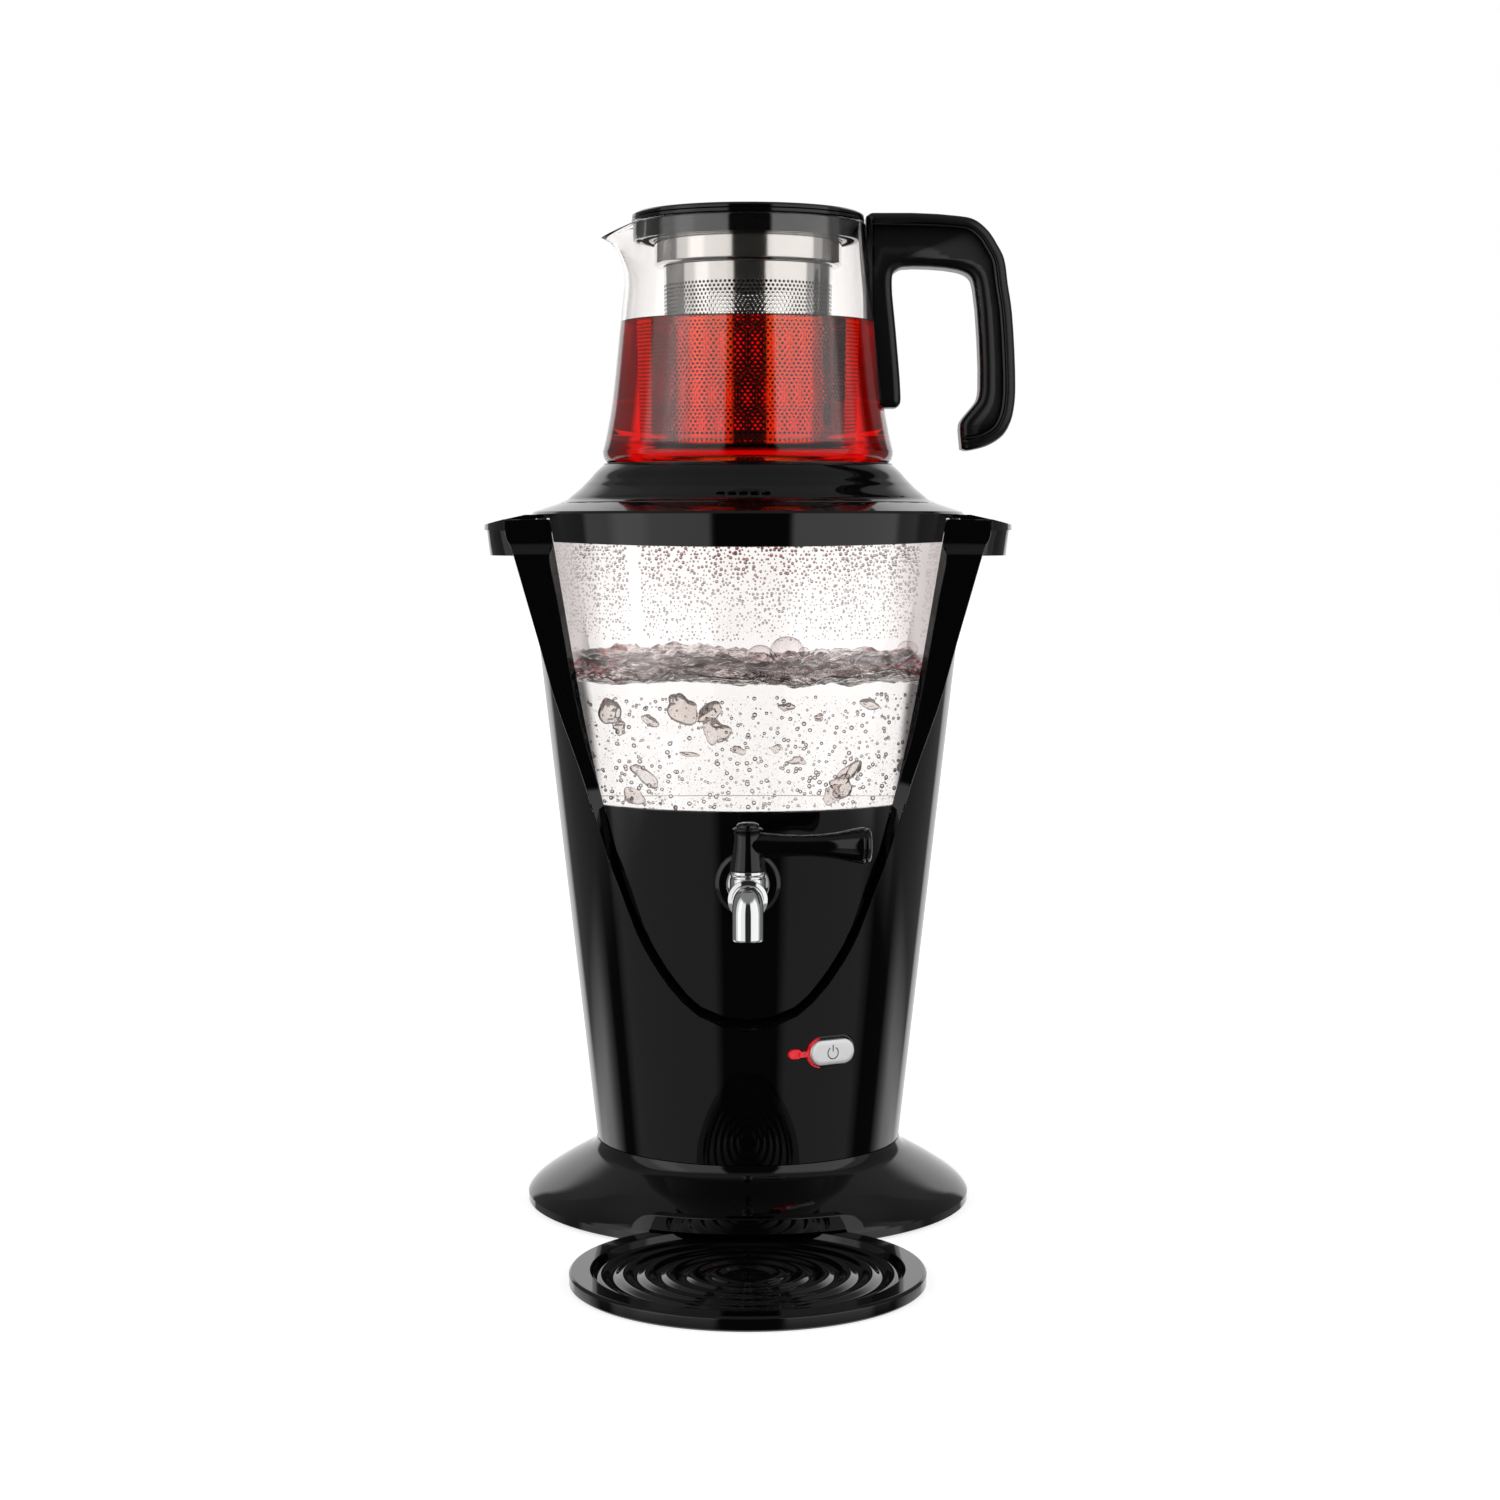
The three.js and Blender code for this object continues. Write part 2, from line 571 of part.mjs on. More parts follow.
function makeFoot() {
  const outside = turned([[0, STAND_GAP], ...footOutline(0), [0, FOOT_TOP]]);
  const inside = turned([[0, STAND_GAP - CUT_OVERRUN],
    [FOOT_RADIUS - FOOT_WALL, STAND_GAP - CUT_OVERRUN],
    ...footOutline(FOOT_WALL).slice(1), [0, FOOT_TOP - FOOT_WALL]]);
  const alcoveRadius = TRAY_RADIUS + FIT_GAP;
  const alcove = rod(alcoveRadius, -CUT_OVERRUN, ALCOVE_HEIGHT, ROUND)
    .translate([0, TRAY_CENTRE_Y, 0]);
  const alcoveWall = rod(alcoveRadius + FOOT_WALL, STAND_GAP, ALCOVE_HEIGHT + FOOT_WALL, ROUND)
    .translate([0, TRAY_CENTRE_Y, 0]).intersect(outside);
  const spigotRadius = BODY_BOTTOM_RADIUS - BODY_WALL - FIT_GAP;
  const spigot = rod(spigotRadius, FOOT_TOP - FOOT_WALL, FOOT_TOP + SPIGOT_HEIGHT, ROUND);
  const hole = rod(spigotRadius - FOOT_WALL, FOOT_TOP - FOOT_WALL - CUT_OVERRUN,
    FOOT_TOP + SPIGOT_HEIGHT + CUT_OVERRUN, ROUND);
  const bosses = [];
  for (const [x, y] of screwPlaces()) {
    bosses.push(rod(BASE_SCREW_SHANK_RADIUS + FOOT_WALL, BASE_TOP + FIT_GAP, FOOT_TOP)
      .translate([x, y, 0]).intersect(outside));
  }
  let foot = outside.subtract(inside).add(alcoveWall).add(spigot).subtract(hole);
  for (const boss of bosses) {
    foot = foot.add(boss);
  }
  for (const [x, y] of screwPlaces()) {
    foot = foot.subtract(rod(BASE_SCREW_SHANK_RADIUS + FIT_GAP, STAND_GAP,
      STAND_GAP + BASE_SCREW_LENGTH + FIT_GAP, TINY_ROUND).translate([x, y, 0]));
  }
  return foot.subtract(alcove);
}

const BASE_TOP = STAND_GAP + BASE_PLATE_THICKNESS;

// Four places on a circle, clear of the tray's alcove at the front
function circlePlaces(radius, firstDegrees) {
  const places = [];
  for (const degrees of [firstDegrees, -firstDegrees, 180 - firstDegrees, 180 + firstDegrees]) {
    const angle = THREE.MathUtils.degToRad(degrees);
    places.push([radius * Math.cos(angle), radius * Math.sin(angle)]);
  }
  return places;
}

const SCREW_ANGLE = 42;
const RUBBER_FOOT_ANGLE = 28;
const screwPlaces = () => circlePlaces(FOOT_RADIUS - BASE_SCREW_INSET, SCREW_ANGLE);
const rubberFootPlaces = () => circlePlaces(FOOT_RADIUS - RUBBER_FOOT_INSET, RUBBER_FOOT_ANGLE);

function makeBasePlate() {
  const radius = FOOT_RADIUS - FOOT_WALL - LOOSE_GAP;
  const alcove = rod(TRAY_RADIUS + FIT_GAP + FOOT_WALL + LOOSE_GAP, -CUT_OVERRUN,
    BASE_TOP + CUT_OVERRUN, ROUND).translate([0, TRAY_CENTRE_Y, 0]);
  let plate = rod(radius, STAND_GAP, BASE_TOP, ROUND).subtract(alcove);
  for (const [x, y] of rubberFootPlaces()) {
    plate = plate.subtract(rod(RUBBER_FOOT_RADIUS + FIT_GAP, STAND_GAP - CUT_OVERRUN,
      STAND_GAP + RUBBER_FOOT_RECESS + FIT_GAP).translate([x, y, 0]));
  }
  for (const [x, y] of screwPlaces()) {
    plate = plate.subtract(rod(BASE_SCREW_SHANK_RADIUS + FIT_GAP, STAND_GAP - CUT_OVERRUN,
      BASE_TOP + CUT_OVERRUN, TINY_ROUND).translate([x, y, 0]));
    plate = plate.subtract(rod(BASE_SCREW_HEAD_RADIUS + FIT_GAP, STAND_GAP - CUT_OVERRUN,
      STAND_GAP + SCREW_HEAD_THICKNESS + FIT_GAP).translate([x, y, 0]));
  }
  return plate;
}

function makeHousing() {
  const top = CUT_TOP;
  const shell = parallelCone(0, BODY_BOTTOM, top)
    .subtract(parallelCone(BODY_WALL, BODY_BOTTOM - CUT_OVERRUN, top + CUT_OVERRUN));
  const reach = bodyRadius(top) + CUT_OVERRUN;
  let housing = shell.subtract(windowPrism(outerEdge, FIT_GAP, top + CUT_OVERRUN, -reach, reach));
  housing = housing.subtract(buttonPocket(BUTTON_AZIMUTH, BUTTON_WIDTH + 2 * BUTTON_RIM,
    BUTTON_HEIGHT + 2 * BUTTON_RIM, RECESS_DEPTH));
  housing = housing.subtract(buttonPocket(BUTTON_AZIMUTH, BUTTON_WIDTH + 2 * FIT_GAP,
    BUTTON_HEIGHT + 2 * FIT_GAP, BODY_WALL + CUT_OVERRUN));
  housing = housing.subtract(buttonPocket(LENS_AZIMUTH, LENS_WIDTH + 2 * FIT_GAP,
    LENS_HEIGHT + 2 * FIT_GAP, BODY_WALL + CUT_OVERRUN));
  const glandHole = laidAlong(rod(GLAND_RADIUS + FIT_GAP, bodyRadius(GLAND_Z) - GLAND_LENGTH,
    bodyRadius(GLAND_Z) + CUT_OVERRUN), [0, 1, 0], [0, 0, GLAND_Z]);
  return housing.subtract(glandHole);
}

// A rounded slot outline, wider than high
function stadium(width, height) {
  const shape = new THREE.Shape();
  const straight = (width - height) / 2;
  shape.absarc(straight, 0, height / 2, -Math.PI / 2, Math.PI / 2, false);
  shape.absarc(-straight, 0, height / 2, Math.PI / 2, Math.PI * 3 / 2, false);
  return shape;
}

// A rounded bar square to the housing's face at an azimuth, between two radii from the axis
function radialBar(azimuth, width, height, from, to) {
  const geometry = new THREE.ExtrudeGeometry(stadium(width, height),
    { depth: to - from, bevelEnabled: false, curveSegments: TINY_ROUND });
  geometry.translate(0, 0, from);
  geometry.rotateX(Math.PI / 2);
  geometry.rotateZ(THREE.MathUtils.degToRad(azimuth));
  geometry.translate(0, 0, BUTTON_Z);
  return toSolid(geometry);
}

const buttonPocket = (azimuth, width, height, depth) =>
  radialBar(azimuth, width, height, bodyRadius(BUTTON_Z) - depth, bodyRadius(BUTTON_Z) + CUT_OVERRUN);

// A panel below the tank window, front or back
function makePanel() {
  const reach = bodyRadius(PANEL_TOP) + CUT_OVERRUN;
  const shell = parallelCone(PANEL_DEPTH, CUT_BOTTOM, PANEL_TOP)
    .subtract(parallelCone(PANEL_DEPTH + PANEL_THICKNESS, CUT_BOTTOM - CUT_OVERRUN,
      PANEL_TOP + CUT_OVERRUN));
  return shell.intersect(windowPrism(innerEdge, -FIT_GAP, PANEL_TOP + CUT_OVERRUN, -reach, 0));
}

// The wall and the ear at one side, between the two linings
function makeSideHandle() {
  const low = FRONT_EDGE_START - SIDE_OVERLAP;
  const wallOut = outerEdge.filter(([, z]) => z > low);
  const outer = [...wallOut, ...flare, [EAR_REACH, EAR_TIP_BOTTOM], [EAR_REACH, EAR_TIP_TOP],
    [EAR_INNER_RADIUS, EAR_ROOT_TOP], [EAR_INNER_RADIUS - CUT_OVERRUN, EAR_ROOT_TOP]];
  const wallIn = wallOut.map(([x, z]) => [x - SIDE_WALL, z]).reverse();
  const inner = [[EAR_INNER_RADIUS - CUT_OVERRUN, EAR_TIP_BOTTOM], [CUT_HALF_WIDTH, EAR_TIP_BOTTOM]];
  const reach = FRONT_EDGE_LOW + CUT_OVERRUN;
  const section = acrossY([...outer, ...inner, ...wallIn], -reach, reach);

  // Keep what lies behind the linings, and the tip beyond them, inside the plan of the ear
  const slotTop = TRIM_TOP + CUT_OVERRUN;
  const behind = [];
  for (const z of [low, FRONT_EDGE_START, CUT_TOP]) {
    behind.push([frontEdge(z) - TRIM_THICKNESS - FIT_GAP, z]);
  }
  const topLimit = earDepthAt(EAR_JOINT_X) - TRIM_THICKNESS - FIT_GAP;
  behind.push([topLimit, EAR_TIP_BOTTOM], [topLimit, slotTop]);
  const between = acrossX([...behind.map(([y, z]) => [-y, z]), ...behind.reverse()],
    0, EAR_JOINT_X + 2 * FIT_GAP);
  const upper = [[-reach, CUT_TOP], [reach, CUT_TOP], [reach, slotTop], [-reach, slotTop]];
  const tip = acrossX(upper, EAR_JOINT_X + FIT_GAP, EAR_REACH + CUT_OVERRUN);
  const plan = upright(earPlan(EAR_REACH, FRONT_EDGE_HIGH), CUT_TOP - CUT_OVERRUN, slotTop + CUT_OVERRUN);
  const outsidePlan = acrossX(upper, 0, EAR_REACH + 2 * CUT_OVERRUN).subtract(plan);
  const ringRoom = rod(EAR_INNER_RADIUS, CUT_TOP, slotTop, ROUND);
  let wall = section.intersect(between.add(tip)).subtract(outsidePlan).subtract(ringRoom);

  // The lower edge follows the arch in which the slanting wall leaves the round housing
  const arch = [];
  for (const [x, z] of outerEdge) {
    const across = bodyRadius(z) ** 2 - x ** 2;
    if (z > low && across > 0) {
      arch.push([Math.sqrt(across), z - SIDE_OVERLAP]);
    }
  }
  const floor = low - SIDE_OVERLAP - CUT_OVERRUN;
  const archCut = acrossX([[-reach, floor], [reach, floor], [reach, arch[0][1]], ...arch,
    ...arch.map(([y, z]) => [-y, z]).reverse(), [-reach, arch[0][1]]], 0, EAR_REACH);
  wall = wall.subtract(archCut);

  // Room for the linings in front and behind, then the grip, a lip that hangs from the ear
  const trimRoom = windowTrim(FIT_GAP);
  wall = wall.subtract(trimRoom).subtract(mirrorY(trimRoom));
  return wall.add(gripLip());
}

// Plan of an ear at a reach and a half depth, from its root outward
function earPlan(reach, depth) {
  const points = [[0, -depth], [EAR_ROOT, -depth]];
  const steps = SMALL_ROUND;
  for (let i = 1; i < steps; i++) {
    const angle = -Math.PI / 2 + Math.PI * i / steps;
    points.push([EAR_ROOT + (reach - EAR_ROOT) * Math.cos(angle), depth * Math.sin(angle)]);
  }
  points.push([EAR_ROOT, depth], [0, depth]);
  return points;
}

const GRIP_DEPTH_SHARE = 0.68;

function gripLip() {
  const depth = FRONT_EDGE_HIGH * GRIP_DEPTH_SHARE;
  const top = EAR_TIP_BOTTOM + (EAR_TIP_TOP - EAR_TIP_BOTTOM) / 2;
  const bottom = EAR_TIP_BOTTOM - SKIRT_HEIGHT;
  const slice = (inset, z) => earPlan(EAR_REACH - inset, depth - inset / 2)
    .slice(1, -1).map(([x, y]) => [x, y, z]);
  const outside = lofted([slice(SKIRT_LEAN, bottom), slice(0.4 * SKIRT_LEAN, top)]);
  const inside = lofted([slice(SKIRT_LEAN + SKIRT_WALL, bottom - CUT_OVERRUN),
    slice(0.4 * SKIRT_LEAN + SKIRT_WALL, EAR_TIP_BOTTOM)]);
  const wallLine = acrossY([
    [0, bottom - CUT_OVERRUN], [halfWidthAt(outerEdge, bottom) - SIDE_WALL / 2, bottom - CUT_OVERRUN],
    [halfWidthAt(outerEdge, bottom) - SIDE_WALL / 2, bottom],
    [CUT_HALF_WIDTH, EAR_TIP_BOTTOM], [CUT_HALF_WIDTH, top + CUT_OVERRUN], [0, top + CUT_OVERRUN]],
    -depth - CUT_OVERRUN, depth + CUT_OVERRUN);
  return outside.subtract(inside).subtract(wallLine);
}

function makeRing() {
  const outerAt = (z) => bodyRadius(z) - PANEL_DEPTH;
  const innerAt = (z) => bodyRadius(z) - PANEL_DEPTH - PANEL_THICKNESS;
  const edge = RING_CORNER_RADIUS;
  const bevel = RING_PLATE / 2;
  const plate = turned([
    [RING_OPENING, RING_SEAM_Z], [RING_SEAM_RADIUS, RING_SEAM_Z],
    [edge - bevel, RING_CORNER_Z + bevel], [edge, RING_CORNER_Z], [outerAt(RING_EDGE_Z), RING_EDGE_Z],
    [innerAt(RING_EDGE_Z), RING_EDGE_Z], [innerAt(RING_EDGE_Z), RING_CORNER_Z],
    [RING_SEAM_RADIUS, RING_SEAM_Z - RING_PLATE],
    [RING_OPENING + RING_PLATE, RING_SEAM_Z - RING_PLATE],
    [RING_OPENING + RING_PLATE, RING_SEAM_Z - RING_PLATE - RING_LIP_DEPTH],
    [RING_OPENING, RING_SEAM_Z - RING_PLATE - RING_LIP_DEPTH]]);
  const reach = edge + CUT_OVERRUN;
  const bandBottom = RING_BAND_BOTTOM - CUT_OVERRUN;
  const band = parallelCone(PANEL_DEPTH, bandBottom, RING_EDGE_Z + bevel)
    .subtract(parallelCone(PANEL_DEPTH + PANEL_THICKNESS, bandBottom - CUT_OVERRUN,
      RING_EDGE_Z + CUT_OVERRUN));
  const half = innerEdge.at(-1)[0];
  const halfTop = half + (RING_EDGE_Z - CUT_TOP) * SIDE_SLOPE;
  const lower = [];
  for (let i = -CURVE_STEPS * 2; i <= CURVE_STEPS * 2; i++) {
    const share = i / (CURVE_STEPS * 2);
    lower.push([share * (half + (RING_BAND_BOTTOM - CUT_TOP) * SIDE_SLOPE - FIT_GAP),
      RING_BAND_BOTTOM + RING_BAND_RISE * share * share]);
  }
  const keep = acrossY([...lower, [halfTop - FIT_GAP, RING_EDGE_Z + bevel],
    [-halfTop + FIT_GAP, RING_EDGE_Z + bevel]], -reach, reach);
  return plate.add(band.intersect(keep));
}

function makeTank() {
  const outerAt = (z) => bodyRadius(z) - TANK_DEPTH;
  return turned([
    [outerAt(TANK_BOTTOM), TANK_BOTTOM], [outerAt(TANK_TOP), TANK_TOP],
    [outerAt(TANK_TOP) - TANK_WALL, TANK_TOP], [outerAt(TANK_BOTTOM) - TANK_WALL, TANK_BOTTOM]]);
}

const SEAL_TOP = TANK_BOTTOM - FIT_GAP;
const SEAL_BOTTOM = SEAL_TOP - SEAL_THICKNESS;
const HEATER_TOP = SEAL_BOTTOM - FIT_GAP;
const HEATER_BOTTOM = HEATER_TOP - HEATER_PLATE_THICKNESS;
const FLANGE_TOP = HEATER_BOTTOM - FIT_GAP;

function makeTankSeal() {
  const outside = bodyRadius(TANK_BOTTOM) - TANK_DEPTH;
  return turned([[outside - SEAL_WIDTH, SEAL_BOTTOM], [outside, SEAL_BOTTOM],
    [outside, SEAL_TOP], [outside - SEAL_WIDTH, SEAL_TOP]], HIDDEN_ROUND);
}

function makeHeaterPlate() {
  const rim = bodyRadius(HEATER_BOTTOM) - TANK_DEPTH - LOOSE_GAP;
  const slope = HEATER_DISH_DEPTH * 2;
  return turned([
    [0, HEATER_BOTTOM - HEATER_DISH_DEPTH], [HEATER_DISH_RADIUS, HEATER_BOTTOM - HEATER_DISH_DEPTH],
    [HEATER_DISH_RADIUS + slope, HEATER_BOTTOM], [rim, HEATER_BOTTOM], [rim, HEATER_TOP],
    [HEATER_DISH_RADIUS + slope, HEATER_TOP], [HEATER_DISH_RADIUS, HEATER_TOP - HEATER_DISH_DEPTH],
    [0, HEATER_TOP - HEATER_DISH_DEPTH]], HIDDEN_ROUND);
}

// A sheathed element bent into an open ring under the plate, with its two ends turned down
function makeElement() {
  const z = HEATER_BOTTOM - HEATER_DISH_DEPTH - ELEMENT_TUBE_RADIUS - FIT_GAP;
  const points = [];
  const openDegrees = 22;
  const arcSteps = TINY_ROUND * 2;
  for (let i = 0; i <= arcSteps; i++) {
    const angle = THREE.MathUtils.degToRad(90 + openDegrees + (360 - 2 * openDegrees) * i / arcSteps);
    points.push([ELEMENT_RADIUS * Math.cos(angle), ELEMENT_RADIUS * Math.sin(angle), z]);
  }
  const ring = [];
  const sides = TINY_ROUND;
  for (const [x, y] of points) {
    const out = new THREE.Vector3(x, y, 0).normalize();
    const section = [];
    for (let k = 0; k < sides; k++) {
      const angle = 2 * Math.PI * k / sides;
      const r = ELEMENT_RADIUS + ELEMENT_TUBE_RADIUS * Math.cos(angle);
      section.push([out.x * r, out.y * r, z + ELEMENT_TUBE_RADIUS * Math.sin(angle)]);
    }
    ring.push(section);
  }
  let element = lofted(ring);
  for (const [x, y] of [points[0], points.at(-1)]) {
    element = element.add(rod(ELEMENT_TUBE_RADIUS, z - 3 * ELEMENT_TUBE_RADIUS,
      z + ELEMENT_TUBE_RADIUS / 2, TINY_ROUND).translate([x, y, 0]));
  }
  return element;
}

// The plastic stand inside the housing that carries the heater plate and the tank
function makeChassis() {
  const inside = CHASSIS_RADIUS - CHASSIS_WALL;
  const chassis = turned([
    [inside, BASE_TOP + FIT_GAP], [CHASSIS_RADIUS, BASE_TOP + FIT_GAP],
    [CHASSIS_RADIUS, FLANGE_TOP - HEATER_DISH_DEPTH - CHASSIS_WALL],
    [HEATER_DISH_RADIUS + 3 * CHASSIS_WALL, FLANGE_TOP - HEATER_DISH_DEPTH - CHASSIS_WALL],
    [CHASSIS_FLANGE_RADIUS, FLANGE_TOP - CHASSIS_WALL], [CHASSIS_FLANGE_RADIUS, FLANGE_TOP],
    [HEATER_DISH_RADIUS + 3 * CHASSIS_WALL, FLANGE_TOP],
    [HEATER_DISH_RADIUS, FLANGE_TOP - HEATER_DISH_DEPTH], [inside, FLANGE_TOP - HEATER_DISH_DEPTH]],
  HIDDEN_ROUND);
  const hoseRoom = rod(HOSE_RADIUS + LOOSE_GAP, TAP_AXIS_Z, FLANGE_TOP + CUT_OVERRUN)
    .translate([0, -HOSE_CENTRE, 0]);
  return chassis.subtract(hoseRoom);
}

// The lid's outer slope, as shares of its inward run and of its height
const lidShares = [[0, 0], [0.16, 0.075], [0.254, 0.165], [0.58, 0.49], [0.834, 0.8], [1, 1]];

function makeTankLid() {
  const bottom = RING_SEAM_Z + FIT_GAP;
  const run = LID_BOTTOM_RADIUS - LID_TOP_RADIUS;
  const height = LID_TOP - bottom;
  const outer = lidShares.map(([inward, up]) => [LID_BOTTOM_RADIUS - inward * run, bottom + up * height]);
  const under = lidShares.slice(1, -2).reverse().map(([inward, up]) => [
    LID_BOTTOM_RADIUS - inward * run - LID_WALL, bottom + up * height - LID_WALL / 3]);
  const floor = LID_TOP - POT_RECESS_DEPTH;
  const skirt = RING_OPENING - LOOSE_GAP;
  const lid = turned([
    ...outer, [POT_RECESS_RADIUS + POT_RECESS_DEPTH, LID_TOP], [POT_RECESS_RADIUS, floor],
    [LID_NECK_RADIUS, floor], [LID_NECK_RADIUS, floor - LID_NECK_DROP],
    [LID_NECK_RADIUS + LID_WALL, floor - LID_NECK_DROP], [LID_NECK_RADIUS + LID_WALL, floor - LID_WALL],
    [LID_TOP_RADIUS - LID_WALL, floor - LID_WALL], ...under.slice(0, -2),
    [skirt - LID_WALL, bottom + LID_WALL / 2], [skirt - LID_WALL, bottom - LID_SKIRT_DROP],
    [skirt, bottom - LID_SKIRT_DROP], [skirt, bottom]]);
  const vents = [];
  const reach = LID_BOTTOM_RADIUS + CUT_OVERRUN;
  for (let i = 0; i < VENT_COUNT; i++) {
    const x = VENT_SHIFT + (i - (VENT_COUNT - 1) / 2) * VENT_PITCH;
    const slot = new THREE.ExtrudeGeometry(stadium(VENT_WIDTH, VENT_HEIGHT),
      { depth: reach - LID_TOP_RADIUS, bevelEnabled: false, curveSegments: CURVE_STEPS });
    slot.rotateX(Math.PI / 2);
    slot.translate(x, -LID_TOP_RADIUS, VENT_Z);
    vents.push(toSolid(slot));
  }
  return vents.reduce((solid, vent) => solid.subtract(vent), lid);
}

// The teapot's wall: shares of its taper and of its height above the base corner
const potShares = [[0, 0], [0.1, 0.05], [0.325, 0.2], [0.655, 0.57], [0.97, 0.93], [1, 1]];

function potProfile(inset) {
  const low = POT_BASE_Z + POT_CORNER;
  const taper = POT_BASE_RADIUS - POT_RIM_RADIUS;
  return potShares.map(([inward, up]) => [
    POT_BASE_RADIUS - inward * taper - inset, low + up * (POT_RIM_Z - low)]);
}

const POT_FOOT_RADIUS = POT_RECESS_RADIUS - POT_CORNER / 2;
const cornerShares = [[0.35, 0.06], [0.75, 0.3], [0.95, 0.65]];

// Outer face of the glass from the middle of its base to its rim, moved out by a growth
function potOutside(growth) {
  const run = POT_BASE_RADIUS - POT_FOOT_RADIUS;
  return [[0, POT_BASE_Z], [POT_FOOT_RADIUS, POT_BASE_Z],
    ...cornerShares.map(([out, up]) => [
      POT_FOOT_RADIUS + out * run + growth, POT_BASE_Z + up * POT_CORNER]),
    ...potProfile(-growth)];
}

// The pouring lip: how far a point is pulled out, and down at the rim
function pinch(x, y, z) {
  const angle = Math.abs(Math.atan2(y, -x));
  const half = THREE.MathUtils.degToRad(SPOUT_HALF_ANGLE);
  const start = POT_RIM_Z - SPOUT_LENGTH;
  if (angle >= half || z <= start) {
    return [0, 0];
  }
  const across = Math.cos(angle / half * Math.PI / 2) ** 2;
  const up = (z - start) / SPOUT_LENGTH;
  return [SPOUT_REACH * across * up ** 2.2, SPOUT_DROP * across * up ** 4];
}

function makePotGlass() {
  const outside = potOutside(0);
  const inside = potProfile(POT_WALL).slice(1).reverse();
  inside.push([POT_FOOT_RADIUS, POT_BASE_Z + POT_FLOOR], [0, POT_BASE_Z + POT_FLOOR]);
  const extra = [];
  const addSteps = (points) => {
    points.forEach(([r, z], i) => {
      const before = points[i - 1];
      if (before && Math.min(z, before[1]) > POT_RIM_Z - SPOUT_LENGTH - POT_CORNER && i > 0) {
        const steps = Math.ceil(Math.abs(z - before[1]) / (SPOUT_LENGTH / 4));
        for (let k = 1; k < steps; k++) {
          extra.push([before[0] + (r - before[0]) * k / steps, before[1] + (z - before[1]) * k / steps]);
        }
      }
      extra.push([r, z]);
    });
  };
  addSteps([...outside, ...inside]);
  const points = extra.map(([r, z]) => new THREE.Vector2(r, z));
  const geometry = new THREE.LatheGeometry(points, ROUND);
  geometry.rotateX(Math.PI / 2);
  const place = geometry.attributes.position;
  for (let i = 0; i < place.count; i++) {
    const [x, y, z] = [place.getX(i), place.getY(i), place.getZ(i)];
    const r = Math.hypot(x, y);
    const [out, down] = pinch(x, y, z);
    if (out > 0) {
      place.setXYZ(i, x * (r + out) / r, y * (r + out) / r, z - down);
    }
  }
  return toSolid(geometry);
}

// Side outline of the teapot's handle: shares of its reach from the glass and of its height.
// Outer contour from the rim round to the end of the grip, then the finger gap and the spine.
const handleShares = [[0, 0.985], [0.04, 1], [0.60, 0.988], [0.72, 0.972], [0.812, 0.925], [0.87, 0.87],
  [0.918, 0.81], [0.945, 0.7], [0.974, 0.58], [1, 0.267], [0.992, 0.185], [0.97, 0.123],
  [0.92, 0.065], [0.822, 0.022], [0.73, 0.005], [0.672, 0], [0.64, 0.006],
  [0.63, 0.111], [0.651, 0.137], [0.72, 0.19], [0.746, 0.215], [0.76, 0.267],
  [0.72, 0.682], [0.69, 0.733], [0.603, 0.759], [0.245, 0.771], [0.205, 0.76], [0.18, 0.745],
  [0.172, 0.7], [0.20, 0.5], [0.232, 0.25], [0.23, 0.2], [0.21, 0.183], [0.16, 0.18], [0.07, 0.18],
  [0, 0.18]];

// Most that the handle's edge may be rounded, as a share of its width
const HANDLE_BEVEL_SHARE = 0.03;

function makePotHandle() {
  const root = POT_RIM_RADIUS;
  const bevel = Math.min(HANDLE_BEVEL, HANDLE_WIDTH * HANDLE_BEVEL_SHARE);
  const points = handleShares.map(([out, up]) => new THREE.Vector2(
    root + out * HANDLE_WIDTH,
    HANDLE_BOTTOM + up * (HANDLE_TOP - HANDLE_BOTTOM)));
  const geometry = new THREE.ExtrudeGeometry(new THREE.Shape(points), {
    depth: HANDLE_THICKNESS - 2 * bevel, bevelEnabled: true, bevelSegments: 2,
    bevelThickness: bevel, bevelSize: bevel, bevelOffset: -bevel });
  geometry.rotateX(Math.PI / 2);
  geometry.translate(0, HANDLE_THICKNESS / 2 - bevel, 0);
  const room = turned([...potOutside(FIT_GAP), [POT_RIM_RADIUS + FIT_GAP, POT_RIM_Z + FIT_GAP],
    [POT_RIM_RADIUS + FIT_GAP, HANDLE_TOP + CUT_OVERRUN], [0, HANDLE_TOP + CUT_OVERRUN]]);
  return toSolid(geometry).subtract(room);
}

function makeCollar() {
  const flangeBottom = POT_RIM_Z + FIT_GAP;
  const top = flangeBottom + COLLAR_THICKNESS;
  const inside = STRAINER_RING_RADIUS + FIT_GAP;
  return turned([
    [inside, COLLAR_BOTTOM], [inside + COLLAR_WALL, COLLAR_BOTTOM],
    [inside + COLLAR_WALL, flangeBottom], [COLLAR_SKIRT_RADIUS - COLLAR_WALL, flangeBottom],
    [COLLAR_SKIRT_RADIUS - COLLAR_WALL, COLLAR_BOTTOM], [COLLAR_SKIRT_RADIUS, COLLAR_BOTTOM],
    [COLLAR_SKIRT_RADIUS, flangeBottom], [COLLAR_FLANGE_RADIUS, flangeBottom],
    [COLLAR_FLANGE_RADIUS, top], [inside, top]]);
}

